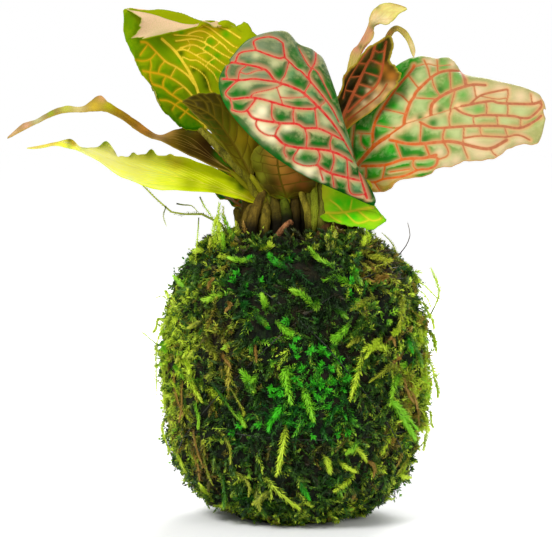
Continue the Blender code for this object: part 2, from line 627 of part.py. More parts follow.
LEAVES = [
    Leaf(
        "leaf_front", "stem_right", 0.97,
        stalk=[(19, -5, 129), (25, -10, 130.5)],
        rib=[(28.5, -17, 129), (22.4, -24, 139.5), (16.9, -28, 150.5), (8.3, -32, 161.5),
             (-4.3, -34, 170), (-14.5, -35, 177), (-26.3, -33, 178)],
        left=[(30.2, -19, 123.3), (21, -24, 127), (11, -28, 131.5), (1.5, -32.5, 136.2), (-7.9, -37, 142.3),
              (-16, -41.5, 149.3), (-22.5, -44, 156.5), (-27.3, -44, 163.9), (-29, -41, 171)],
        right=[(24, -12, 133), (20, -10, 143), (15.5, -11, 155), (13.4, -14, 169.8), (9, -15, 181),
               (1, -17, 185.5), (-4.5, -20, 190.5), (-17.7, -28, 187)],
        rows=18, puff=0.6, wave=0.4,
    ),
    Leaf(
        "leaf_right", "stem_right", 0.90,
        stalk=[(17, 2, 128), (20, 3.5, 132)],
        rib=[(22.4, 3, 135.6), (30.7, 1, 147.4), (39.3, 0, 153.3), (49, 0, 158.8), (61, 2, 163),
             (72.7, 4, 165.8), (85.5, 6, 165.3), (99.5, 8, 159)],
        left=[(22.4, 14, 154), (30.3, 19, 168.6), (42, 20, 180.4), (55.4, 18, 181.2), (65.6, 15, 175),
              (75.9, 13, 171), (90.5, 10, 168)],
        right=[(30.3, -4, 130.5), (37.3, -8, 133.2), (46, -10, 135.6), (54.6, -10, 139),
               (61.7, -8, 140.3), (68.8, -5, 142.3), (80.6, -1, 145), (92.4, 4, 149)],
        rows=20, puff=1.4, wave=1.0, waves=4.5, quilt=0.6,
    ),
    Leaf(
        "leaf_back_mid", "stem_back", 0.97,
        stalk=[(12, 10, 140), (16.5, 5.5, 147)],
        rib=[(18.9, 4, 152), (20.8, 6, 159.2), (24.8, 7, 167), (28.7, 7, 174.9), (33.4, 6, 182.8),
             (37, 4, 189.4)],
        left=[(15.3, 2, 160.7), (18.5, 1, 169.8), (22.4, 1, 177.2), (29.5, 2, 184.3)],
        right=[(30, 1, 160), (39, 0, 168), (40.5, 0, 174.9), (37, 1, 180.4), (38.5, 2, 186.5)],
        rows=10, puff=0.4,
    ),
    Leaf(
        "leaf_back_tall", "stem_back", 0.86,
        stalk=[(11, 21, 138), (14, 24, 144)],
        rib=[(17, 25, 150), (19.5, 28, 164), (23.5, 28, 177), (28, 27, 188), (33, 25, 196),
             (39, 22, 200.5), (45, 19, 200)],
        left=[(16, 34, 163), (20.5, 36, 175), (26, 34, 186.5), (31, 29, 195.5), (37, 24, 201)],
        right=[(22, 21, 163), (26.5, 21, 176), (30, 22, 187), (35, 21, 194), (41, 20, 197)],
        rows=10, puff=0.4,
    ),
    Leaf(
        "leaf_back_curl", "stem_back", 0.78,
        stalk=[(15, 21, 136), (22, 28, 147)],
        rib=[(27, 31, 157), (32, 33, 170), (35.5, 33, 180), (38.5, 32, 189), (41, 30, 193),
             (44.5, 28, 190), (47, 27, 181)],
        left=[(23, 34, 168), (27, 37, 178), (34, 36, 188), (39.5, 33, 194.5), (44, 30, 192.5)],
        right=[(36, 28, 164), (44, 27, 173), (44, 28, 180), (39.5, 30, 187), (43, 28, 189)],
        rows=10, puff=0.3, wave=0.4,
    ),
    Leaf(
        "leaf_back_left", "stem_centre", 0.90,
        stalk=[(-11, 6, 131), (-24, 4, 142)],
        rib=[(-36, 4, 152), (-41.3, 5, 162), (-46, 6, 173.7), (-53, 6, 186.7), (-60, 4, 196),
             (-67, 0, 199.5)],
        left=[(-43.5, 2, 152.5), (-50.5, 0, 158.5), (-55.5, 0, 168), (-62, 0, 178), (-66.5, 0, 189)],
        crest=[(-30, 8, 153), (-20, 12, 164), (-15, 14, 180), (-21, 14, 191.5), (-32, 12, 194.5),
               (-43, 10, 194.5), (-54, 6, 197.5)],
        right=[(-26, 9, 151), (-15, 13, 163), (-10, 15, 181), (-18, 15, 194), (-31, 10, 193.5),
               (-42, 3, 193), (-57, -1, 189)],
        rows=16, puff=0.6, wave=0.5, waves=4.5,
    ),
    Leaf(
        "leaf_mid_inner", "stem_left", 0.97,
        stalk=[(-13, -9, 128)],
        rib=[(-17, -13, 134.4), (-24.8, -16, 148.2), (-32.6, -17, 158), (-44, -16, 163.5)],
        left=[(-23, -18, 140), (-29.5, -20, 148.5), (-37.5, -19, 157)],
        right=[(-14.5, -10, 148), (-21, -10, 160), (-29, -12, 165.5), (-37.3, -14, 166.2)],
        rows=10, puff=0.5, wave=0.3,
    ),
    Leaf(
        "leaf_left_upper", "stem_left", 0.82,
        stalk=[(-14, -3, 123), (-22, -4, 131)],
        rib=[(-31, -5, 139), (-45.2, -7, 147), (-57, -9, 153), (-68.8, -11, 160.7),
             (-76.6, -12, 163), (-86.5, -13, 160.7), (-98.3, -14, 156), (-114.4, -14, 148.6)],
        left=[(-36, -13, 141), (-47, -19, 146.5), (-58, -22, 151.5), (-68, -24, 158),
              (-77, -24, 161.5), (-87, -22, 159.5), (-99, -18, 155)],
        right=[(-35, 4, 145.5), (-43, 9, 150.5), (-50, 10, 149.5), (-57, 9, 150), (-64, 9, 155),
               (-71, 8, 163), (-76, 7, 165.5), (-85, 5, 162), (-98, 0, 156)],
        rows=18, puff=0.6, wave=1.2, waves=5.5,
    ),
    Leaf(
        "leaf_left_lower", "stem_left", 0.70,
        stalk=[(-12, -8, 118)],
        rib=[(-17, -9, 121.5), (-25, -11, 125.4), (-36, -12, 128.5), (-49, -13, 130.9),
             (-61, -14, 134), (-72, -14, 138), (-82, -14, 143), (-94, -14, 146), (-107.3, -14, 145)],
        left=[(-24, -19, 132), (-37, -26, 138.5), (-51, -28, 143.8), (-65, -27, 144),
              (-75, -24, 146.3), (-84, -20, 146), (-94, -17, 147)],
        right=[(-21.5, 1, 130), (-34.5, 4, 137.5), (-48, 5, 141.5), (-62, 4, 142.5), (-74, 0, 143.5),
               (-84, -6, 145), (-94, -11, 146.5)],
        rows=20, puff=0.5, wave=1.3, waves=6.5,
    ),
    Leaf(
        "leaf_lower_right", "stem_right", 0.62,
        stalk=[(9.5, -7, 117.5)],
        rib=[(9, -10, 119.5), (15.7, -12, 121), (23.6, -14, 121.5), (30.3, -15, 120.5),
             (35.4, -16, 117.3)],
        left=[(11, -10, 126), (18, -11, 127), (25, -14, 124.5), (31, -16, 121.5)],
        right=[(13, -17, 117), (22.4, -20, 115.5), (29.5, -20, 114.2)],
        rows=10, puff=0.8, wave=0.4,
    ),
    Leaf(
        "leaf_low_left", "stem_left", 0.60,
        stalk=[(-12, 1, 117)],
        rib=[(-19, 7, 120), (-24.5, 12, 124), (-30.5, 17, 127.5), (-37, 22, 130)],
        left=[(-26.5, 8, 123.5), (-33, 13, 127.5)],
        right=[(-20, 16, 124), (-27, 22, 128.5)],
        rows=10, puff=0.8,
    ),
    Leaf(
        "leaf_inner", "stem_centre", 0.76,
        stalk=[(-1.5, -1, 122)],
        rib=[(-3, -6, 126), (-7, -12, 134), (-8, -17, 143), (-6, -21, 151)],
        left=[(-13, -12, 132), (-15, -16, 141)],
        right=[(3, -11, 131), (5, -15, 140), (1, -20, 148)],
        rows=10, puff=0.5, wave=0.3,
    ),
    Leaf(
        "leaf_rear_low", "stem_back", 0.62,
        stalk=[(7, 17, 119)],
        rib=[(6.5, 23, 122), (5, 34, 130), (4, 46, 132), (3, 62, 127)],
        left=[(-7, 30, 130), (-11, 44, 133), (-5, 56, 130)],
        right=[(17, 32, 130), (19, 45, 132), (11, 57, 129)],
        rows=14, puff=1.0,
    ),
    Leaf(
        "leaf_rear_high", "stem_centre", 0.97,
        stalk=[(-4, 12, 131)],
        rib=[(-6, 17, 134), (-11, 28, 142), (-15, 42, 146), (-18, 58, 142)],
        left=[(-22, 24, 142), (-29, 38, 146), (-27, 52, 145)],
        right=[(0, 30, 143), (-1, 45, 147), (-9, 55, 145)],
        rows=14, puff=1.0,
    ),
]

LEAF_COLORS = {
    "leaf_front": (0.055, 0.20, 0.055),
    "leaf_right": (0.10, 0.32, 0.09),
    "leaf_back_mid": (0.09, 0.09, 0.02),
    "leaf_back_tall": (0.55, 0.50, 0.16),
    "leaf_back_curl": (0.50, 0.46, 0.14),
    "leaf_back_left": (0.35, 0.42, 0.02),
    "leaf_mid_inner": (0.13, 0.10, 0.02),
    "leaf_left_upper": (0.38, 0.20, 0.04),
    "leaf_left_lower": (0.45, 0.55, 0.05),
    "leaf_lower_right": (0.12, 0.42, 0.02),
    "leaf_low_left": (0.06, 0.22, 0.04),
    "leaf_inner": (0.30, 0.16, 0.03),
    "leaf_rear_low": (0.06, 0.22, 0.05),
    "leaf_rear_high": (0.06, 0.22, 0.05),
}


def make_leaf(leaf):
    material = make_material(leaf.name + "_surface", LEAF_COLORS[leaf.name], 0.4)
    return make_object(leaf.name, *leaf_mesh(leaf), material)


def make_stem(name, points, material):
    """A stem with a blunt growing tip."""
    path = along(points, 10)
    radii = [STEM_RADIUS] * (len(path) - 1) + [THIN_END * STEM_RADIUS]
    return make_object(name, *tube(path, radii, STEM_SIDES), material)


def make_dry_stalk(material):
    path = along(DRY_STALK, 9)
    radii = np.linspace(STEM_RADIUS, THIN_END * STEM_RADIUS, len(path))
    return make_object("dry_stalk", *tube(path, radii, 6), material)


def build():
    clear_scene()
    soil_finish = make_material("soil", (0.018, 0.012, 0.008), 0.95)
    moss_finish = make_material("moss", (0.055, 0.14, 0.012), 0.9)
    line_finish = make_material("nylon", (0.05, 0.06, 0.04), 0.35)
    stem_finish = make_material("stem", (0.22, 0.26, 0.05), 0.5)
    dry_finish = make_material("dry_stalk_surface", (0.13, 0.06, 0.025), 0.85)

    make_soil(soil_finish)
    cover, points, faces = make_cover(moss_finish)
    tree = BVHTree.FromPolygons([Vector(point) for point in points], faces)
    line_paths = line_rings(tree)
    make_line(line_paths, line_finish)
    growth = make_sprigs(tree, line_paths, moss_finish)
    growth += [make_runner(name, path, moss_finish) for name, path in RUNNERS.items()]
    unite(cover, growth)
    for name, path in STEMS.items():
        make_stem(name, path, stem_finish)
    make_dry_stalk(dry_finish)
    for leaf in LEAVES:
        make_leaf(leaf)


build()
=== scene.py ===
"""A kokedama dressed for its picture: moss, soil, line, stems, leaves, floor, lights and camera.

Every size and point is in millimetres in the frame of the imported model, whose origin is the middle of
the ball's flat foot. MM turns them into Blender's metres. Colours are linear RGB.
"""

from __future__ import annotations

import logging
import math
from collections.abc import Mapping, Sequence
from dataclasses import dataclass, field, replace
from enum import Enum

import bpy
import numpy as np
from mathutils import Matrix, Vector, noise
from mathutils.bvhtree import BVHTree
from mathutils.kdtree import KDTree

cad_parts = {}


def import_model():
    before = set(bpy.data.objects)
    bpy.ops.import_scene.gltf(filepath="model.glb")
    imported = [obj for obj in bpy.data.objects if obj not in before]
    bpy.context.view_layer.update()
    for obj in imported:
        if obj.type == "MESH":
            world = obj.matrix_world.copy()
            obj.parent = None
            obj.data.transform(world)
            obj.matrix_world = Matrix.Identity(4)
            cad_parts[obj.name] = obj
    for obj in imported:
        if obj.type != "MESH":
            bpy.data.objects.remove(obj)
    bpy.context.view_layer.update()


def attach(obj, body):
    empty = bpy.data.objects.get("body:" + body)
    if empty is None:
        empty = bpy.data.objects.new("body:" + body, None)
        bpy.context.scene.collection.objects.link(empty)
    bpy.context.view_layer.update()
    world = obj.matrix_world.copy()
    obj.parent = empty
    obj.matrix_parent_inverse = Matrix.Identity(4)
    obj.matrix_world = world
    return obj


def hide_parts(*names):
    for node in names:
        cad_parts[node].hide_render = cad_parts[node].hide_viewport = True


Spot = tuple[float, float, float]
Pixel = tuple[float, float]
Colour = tuple[float, float, float]

MM = 0.001
TINY = 1e-9
GOLDEN = 3 - math.sqrt(5)  # in half turns, what spreads roots evenly round a ball
BODY = "root"
LOG = logging.getLogger("kokedama")


# Curves and frames


def unit(vectors: np.ndarray) -> np.ndarray:
    """Vectors made one long, along the last axis."""
    return vectors / np.maximum(np.linalg.norm(vectors, axis=-1, keepdims=True), TINY)


def square_to(vectors: np.ndarray, axes: np.ndarray) -> np.ndarray:
    """The parts of vectors at right angles to unit axes, one long."""
    return unit(vectors - np.sum(vectors * axes, axis=-1, keepdims=True) * axes)


def smooth_step(values: np.ndarray, start: float, end: float) -> np.ndarray:
    """0 before start, 1 after end, and an even S between."""
    t = np.clip((values - start) / (end - start), 0.0, 1.0)
    return t * t * (3.0 - 2.0 * t)


def read_curve(points: Sequence[Spot], places: np.ndarray) -> np.ndarray:
    """Reads the smooth curve that runs through points.

    Args:
        points: What the curve passes, evenly spaced in its own measure.
        places: Where to read it, 0 at its start and 1 at its end.

    Returns:
        A point for each place.
    """
    path = np.asarray(points, dtype=float)
    spans = len(path) - 1
    scaled = np.clip(places, 0.0, 1.0) * spans
    first = np.minimum(scaled.astype(int), spans - 1)
    t = (scaled - first)[:, None]
    padded = np.vstack([2 * path[0] - path[1], path, 2 * path[-1] - path[-2]])
    before, here, there, after = (padded[first + k] for k in range(4))
    return 0.5 * (
        2 * here
        + (there - before) * t
        + (2 * before - 5 * here + 4 * there - after) * t**2
        + (3 * here - before - 3 * there + after) * t**3
    )


def read_across(places: Sequence[float], lines: np.ndarray, across: np.ndarray) -> np.ndarray:
    """Reads smooth cross-lines between the long lines of a sheet.

    Args:
        places: Where each long line lies across the sheet, rising.
        lines: The long lines' points, shaped (lines, rows, 3).
        across: Where to read each row, shaped (rows, columns).

    Returns:
        Points shaped (rows, columns, 3).
    """
    marks = np.asarray(places, dtype=float)
    widths = np.diff(marks)
    slopes = np.diff(lines, axis=0) / widths[:, None, None]
    inner = [
        (slopes[k - 1] * widths[k] + slopes[k] * widths[k - 1]) / (widths[k - 1] + widths[k])
        for k in range(1, len(slopes))
    ]
    ways = np.array([2 * slopes[0] - inner[0], *inner, 2 * slopes[-1] - inner[-1]])
    k = np.clip(np.searchsorted(marks, across, side="right") - 1, 0, len(widths) - 1)
    row = np.arange(lines.shape[1])[:, None]
    h = widths[k][..., None]
    t = ((across - marks[k]) / widths[k])[..., None]
    return (
        lines[k, row] * (1 + 2 * t) * (1 - t) ** 2
        + ways[k, row] * h * t * (1 - t) ** 2
        + lines[k + 1, row] * t**2 * (3 - 2 * t)
        + ways[k + 1, row] * h * t**2 * (t - 1)
    )


def bowed(start: np.ndarray, bend: np.ndarray, end: np.ndarray, count: int) -> np.ndarray:
    """Points along a bow from start to end, drawn towards bend."""
    share = np.linspace(0.0, 1.0, count)[:, None]
    return start * (1 - share) ** 2 + bend * 2 * share * (1 - share) + end * share**2


def sheet_normals(grid: np.ndarray) -> np.ndarray:
    """Unit normals of a grid of points, on the side of a blade's upper face."""
    return unit(np.cross(np.gradient(grid, axis=1), np.gradient(grid, axis=0)))


# Mesh building

ALONG_X = 0.9  # above this a way counts as along X, and a tube's first side is taken along Z
JUST_INSIDE = 1.001  # taken off a count, this gives a place before the last row or column
NEAREST = 5  # how many of the nearest vein spots are measured


def closed_ends(ring: np.ndarray, last: int, tips: int) -> list[np.ndarray]:
    """Closes a stack of rings with a fan at either end.

    Args:
        ring: Numbers of a ring's points, from 0.
        last: Number of the last ring's first point.
        tips: Number of the point in the middle of the first fan. The other one's is the next.

    Returns:
        The faces of both fans.
    """
    ahead = np.roll(ring, -1)
    foot = np.stack([np.full(len(ring), tips), ahead, ring], axis=-1)
    head = np.stack([np.full(len(ring), tips + 1), last + ring, last + ahead], axis=-1)
    return [foot, head]


def ring_walls(rings: int, sides: int) -> np.ndarray:
    """Joins rings of points that follow each other.

    Args:
        rings: How many rings there are.
        sides: Points in each.

    Returns:
        The four-cornered faces between them.
    """
    rows = np.arange(rings - 1)[:, None] * sides
    here = np.arange(sides)
    ahead = np.roll(here, -1)
    walls = np.stack([rows + here, rows + ahead, rows + sides + ahead, rows + sides + here], axis=-1)
    return walls.reshape(-1, 4)


class Shell:
    """The points, faces and surface layers of one piece while it is being made."""

    def __init__(self) -> None:
        """Starts with nothing in it."""
        self.points: list[np.ndarray] = []
        self.faces: list[np.ndarray] = []
        self.layers: dict[str, list[np.ndarray]] = {}
        self.count = 0

    def add(self, points: np.ndarray, faces: Sequence[np.ndarray], **layers: np.ndarray | float) -> None:
        """Adds one body.

        Args:
            points: Its points, shaped (..., 3).
            faces: Arrays of point numbers, each array with its own number of corners.
            layers: A value or a colour for each point, or one for all of them. Every body gives the same ones.
        """
        flat = points.reshape(-1, 3)
        self.points.append(flat)
        self.faces += [group.reshape(-1, group.shape[-1]) + self.count for group in faces]
        for name, values in layers.items():
            given = np.asarray(values, dtype=np.float32)
            row = np.broadcast_to(given, flat.shape[:1] + given.shape[1:])
            self.layers.setdefault(name, []).append(row)
        self.count += len(flat)

    def piece(self, name: str, material: bpy.types.Material, smooth: bool = True) -> bpy.types.Object:
        """Makes the mesh object.

        Args:
            name: Its name.
            material: What it is dressed in.
            smooth: Whether light runs smoothly over its edges.

        Returns:
            The object, linked to the scene.
        """
        mesh = bpy.data.meshes.new(name)
        points = np.concatenate(self.points) * MM
        ends = np.concatenate([group.ravel() for group in self.faces])
        sizes = np.concatenate([np.full(len(group), group.shape[1]) for group in self.faces])
        starts = np.cumsum(sizes) - sizes
        mesh.vertices.add(len(points))
        mesh.vertices.foreach_set("co", points.astype(np.float32).ravel())
        mesh.loops.add(len(ends))
        mesh.loops.foreach_set("vertex_index", ends.astype(np.int32))
        mesh.polygons.add(len(sizes))
        mesh.polygons.foreach_set("loop_start", starts.astype(np.int32))
        mesh.update(calc_edges=True)
        mesh.validate()
        for layer, rows in self.layers.items():
            values = np.concatenate(rows)
            kind, key = ("FLOAT_COLOR", "color") if values.ndim > 1 else ("FLOAT", "value")
            mesh.attributes.new(layer, kind, "POINT").data.foreach_set(key, values.ravel())
        if smooth:
            mesh.shade_smooth()
        else:
            mesh.shade_flat()
        mesh.materials.append(material)
        made = bpy.data.objects.new(name, mesh)
        bpy.context.scene.collection.objects.link(made)
        return made


def tube(path: np.ndarray, radii: np.ndarray, sides: int) -> tuple[np.ndarray, list[np.ndarray]]:
    """A closed tube.

    Args:
        path: Points along its middle.
        radii: Its radius at each of them.
        sides: How many sides it has.

    Returns:
        Its points and its faces.
    """
    ways = unit(np.gradient(path, axis=0))
    side = np.array([1.0, 0.0, 0.0])
    if abs(ways[0, 0]) > ALONG_X:
        side = np.array([0.0, 0.0, 1.0])
    turns = np.linspace(0, 2 * math.pi, sides, endpoint=False)
    rings = []
    for centre, way, radius in zip(path, ways, radii):
        side = square_to(side, way)
        other = np.cross(way, side)
        rings.append(centre + radius * (np.cos(turns)[:, None] * side + np.sin(turns)[:, None] * other))
    points = np.concatenate([*rings, path[:1], path[-1:]])
    last = (len(path) - 1) * sides
    return points, [ring_walls(len(path), sides), *closed_ends(np.arange(sides), last, last + sides)]


def place_piece(piece: bpy.types.Object, slot: str, *nodes: str) -> None:
    """Lets a piece ride on the object, logs its slot and hides the plain solids that it stands for."""
    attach(piece, BODY)
    if nodes:
        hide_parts(*nodes)
    LOG.info("%s: %d faces, slot %s", piece.name, len(piece.data.polygons), slot)


# Shader building


class Strand:
    """A number that varies over a surface, which can be reckoned with like any number."""

    def __init__(self, bench: Bench, socket: bpy.types.NodeSocket) -> None:
        """Keeps the socket that gives the number, and the bench that it is worked on."""
        self.bench = bench
        self.socket = socket

    def _math(self, operation: str, *terms: Strand | float) -> Strand:
        """A Math node's result from these terms."""
        node = self.bench.node("ShaderNodeMath", {"operation": operation}, dict(enumerate(terms)))
        return Strand(self.bench, node.outputs[0])

    def __add__(self, other: Strand | float) -> Strand:
        """Sum."""
        return self._math("ADD", self, other)

    def __sub__(self, other: Strand | float) -> Strand:
        """Difference."""
        return self._math("SUBTRACT", self, other)

    def __rsub__(self, other: float) -> Strand:
        """Difference from a number."""
        return self._math("SUBTRACT", other, self)

    def __mul__(self, other: Strand | float) -> Strand:
        """Product."""
        return self._math("MULTIPLY", self, other)

    __radd__ = __add__
    __rmul__ = __mul__

    def step(self, start: float, end: float) -> Strand:
        """Turns it into a mask.

        Args:
            start: Where the mask is 0.
            end: Where it is 1. Where this is the smaller, the mask falls.

        Returns:
            The mask, smooth between the two.
        """
        falls = start > end
        low, high = min(start, end), max(start, end)
        node = self.bench.node(
            "ShaderNodeMapRange",
            {"interpolation_type": "SMOOTHSTEP"},
            {"Value": self, "From Min": low, "From Max": high},
        )
        made = Strand(self.bench, node.outputs["Result"])
        return 1.0 - made if falls else made


Paint = Colour | bpy.types.NodeSocket
FACTOR, LOW, HIGH, MIXED = 0, 6, 7, 2  # a colour Mix node's sockets


class Bench:
    """One material's nodes while it is being mixed."""

    def __init__(self, name: str, preview: Colour) -> None:
        """Starts a material with this name and the plain colour that stands for it in lists."""
        self.material = bpy.data.materials.new(name)
        self.material.use_nodes = True
        self.material.diffuse_color = (*preview, 1.0)
        self.tree = self.material.node_tree
        self.shader = self.tree.nodes["Principled BSDF"]
        self.output = self.tree.nodes["Material Output"]

    def node(
        self,
        kind: str,
        settings: Mapping[str, object] | None = None,
        sockets: Mapping[str | int, Strand | Paint | float] | None = None,
    ) -> bpy.types.Node:
        """Adds a node.

        Args:
            kind: Its Blender type.
            settings: Its properties, which are set first. "stops" holds a colour ramp's places and colours.
            sockets: A value or a link for each named or numbered input.

        Returns:
            The node.
        """
        made = self.tree.nodes.new(kind)
        for name, value in (settings or {}).items():
            if name == "stops":
                ramp = made.color_ramp
                while len(ramp.elements) < len(value):
                    ramp.elements.new(0.5)
                for stop, (place, colour) in zip(ramp.elements, value):
                    stop.position = place
                    stop.color = (*colour, 1.0)
            else:
                setattr(made, name, value)
        for name, value in (sockets or {}).items():
            self.set(made.inputs[name], value)
        return made

    def set(self, socket: bpy.types.NodeSocket, value: Strand | Paint | float) -> None:
        """Links or sets one input.

        Args:
            socket: The input.
            value: What feeds it, or what it holds.
        """
        if isinstance(value, Strand):
            self.tree.links.new(value.socket, socket)
        elif isinstance(value, bpy.types.NodeSocket):
            self.tree.links.new(value, socket)
        elif isinstance(value, tuple) and socket.type == "RGBA":
            socket.default_value = (*value, 1.0)
        else:
            socket.default_value = value

    def layer(self, name: str) -> Strand:
        """The number that the mesh keeps under this name."""
        return Strand(self, self.node("ShaderNodeAttribute", {"attribute_name": name}).outputs["Fac"])

    def grain(self, scale: float, detail: float = 3.0, rough: float = 0.55, stretch: Spot = (1, 1, 1)) -> Strand:
        """Cloudy noise from 0 to 1, fixed to the object.

        Args:
            scale: How many clouds there are to a metre.
            detail: How many finer layers it has.
            rough: How strong those are.
            stretch: How much faster it changes along each axis.

        Returns:
            The noise.
        """
        place = self.node("ShaderNodeTexCoord").outputs["Object"]
        if stretch != (1, 1, 1):
            scaled = self.node("ShaderNodeMapping", None, {"Vector": place, "Scale": stretch})
            place = scaled.outputs["Vector"]
        made = self.node(
            "ShaderNodeTexNoise", None, {"Vector": place, "Scale": scale, "Detail": detail, "Roughness": rough}
        )
        return Strand(self, made.outputs["Fac"])

    def mix(self, mask: Strand | float, low: Paint, high: Paint) -> bpy.types.NodeSocket:
        """The low colour where the mask is 0 and the high one where it is 1."""
        settings = {"data_type": "RGBA", "clamp_factor": True}
        return self.node("ShaderNodeMix", settings, {FACTOR: mask, LOW: low, HIGH: high}).outputs[MIXED]

    def bump(self, height: Strand, distance: float, strength: float = 1.0) -> bpy.types.NodeSocket:
        """A normal that follows a height in units of the distance, which is in metres."""
        made = self.node("ShaderNodeBump", None, {"Height": height, "Distance": distance, "Strength": strength})
        return made.outputs["Normal"]

    def dress(self, **sockets: Strand | Paint | float) -> None:
        """Sets the main shader's inputs. An underscore in a name stands for a space."""
        for name, value in sockets.items():
            self.set(self.shader.inputs[name.replace("_", " ")], value)

    def let_light_through(self, colour: Paint, share: float) -> None:
        """Mixes in light that comes through from behind, tinted with the colour."""
        through = self.node("ShaderNodeBsdfTranslucent", None, {"Color": colour})
        both = self.node("ShaderNodeMixShader", None, {0: share})
        self.tree.links.new(self.shader.outputs[0], both.inputs[1])
        self.tree.links.new(through.outputs[0], both.inputs[2])
        self.tree.links.new(both.outputs[0], self.output.inputs["Surface"])


# The photograph's view


@dataclass(frozen=True)
class PhotoCamera:
    """The camera that stood before the plant, as far as its picture tells."""

    width: int = 552
    height: int = 537
    target: Spot = (-7.5, 0.0, 97.7)
    distance: float = 1000.0
    elevation: float = 4.0
    scale: float = 0.393  # millimetres to a pixel at the target
    sensor: float = 36.0
    clip: tuple[float, float] = (0.05, 50.0)  # metres

    def axes(self) -> tuple[np.ndarray, np.ndarray, np.ndarray]:
        """Unit vectors to the picture's right, to its top, and back towards the camera."""
        e = math.radians(self.elevation)
        right = np.array([1.0, 0.0, 0.0])
        up = np.array([0.0, math.sin(e), math.cos(e)])
        return right, up, np.array([0.0, -math.cos(e), math.sin(e)])

    def place(self) -> np.ndarray:
        """Where the camera is."""
        return np.array(self.target) + self.axes()[2] * self.distance

    def pixels(self, points: np.ndarray) -> np.ndarray:
        """Finds where points show in the picture.

        Args:
            points: Points in space, shaped (..., 3).

        Returns:
            Pixels as (across, down), shaped (..., 2).
        """
        right, up, back = self.axes()
        seen = points - self.place()
        depth = -(seen @ back)
        focal = self.distance / self.scale
        return np.stack(
            [self.width / 2 + focal * (seen @ right) / depth, self.height / 2 - focal * (seen @ up) / depth],
            axis=-1,
        )

    def sight(self, pixel: Pixel) -> np.ndarray:
        """Which way the camera looks at a pixel."""
        right, up, back = self.axes()
        across = (pixel[0] - self.width / 2) * self.scale
        rise = (self.height / 2 - pixel[1]) * self.scale
        return unit(right * across + up * rise - back * self.distance)

    def build(self) -> None:
        """Makes the scene's camera."""
        data = bpy.data.cameras.new("photo_camera")
        data.sensor_width = self.sensor
        data.lens = self.distance / self.scale * self.sensor / self.width
        data.clip_start, data.clip_end = self.clip
        made = bpy.data.objects.new("photo_camera", data)
        made.location = Vector(self.place()) * MM
        made.rotation_euler = (math.radians(90.0 - self.elevation), 0.0, 0.0)
        bpy.context.scene.collection.objects.link(made)
        bpy.context.scene.camera = made


# Finishes


class LeafSkin:
    """The layers that Leaf keeps on its mesh, and the grain of its skin, as one material reads them."""

    # Clouds to a metre
    FINE = 2600.0
    PORES = 1500.0
    STREAKS = 900.0
    MOTTLE = 640.0
    BROAD = 160.0
    UNEVEN = 0.22  # how far the fine grain moves the edge of a vein, in millimetres

    def __init__(self, bench: Bench) -> None:
        """Reads them.

        Args:
            bench: The material's bench.
        """
        self.vein, self.margin, self.reach = bench.layer("vein"), bench.layer("margin"), bench.layer("reach")
        self.below, self.stalk, self.swell = bench.layer("below"), bench.layer("stalk"), bench.layer("swell")
        # upward: how far the cells' relief turns up, which the finish paints as sheen from the light above
        self.upward, self.beside = bench.layer("upward"), bench.layer("beside")
        tint = bench.node("ShaderNodeAttribute", {"attribute_name": "tint"})
        # tint: stains, and patches of painted shade and sheen, with their strength as alpha
        self.stain, self.stained = tint.outputs["Color"], Strand(bench, tint.outputs["Alpha"])
        self.fine = bench.grain(self.FINE, 4.0, 0.6)
        self.mottle = bench.grain(self.MOTTLE, 3.0, 0.62)
        self.broad = bench.grain(self.BROAD, 2.0)
        self.off_vein = self.vein + (self.fine - 0.5) * self.UNEVEN


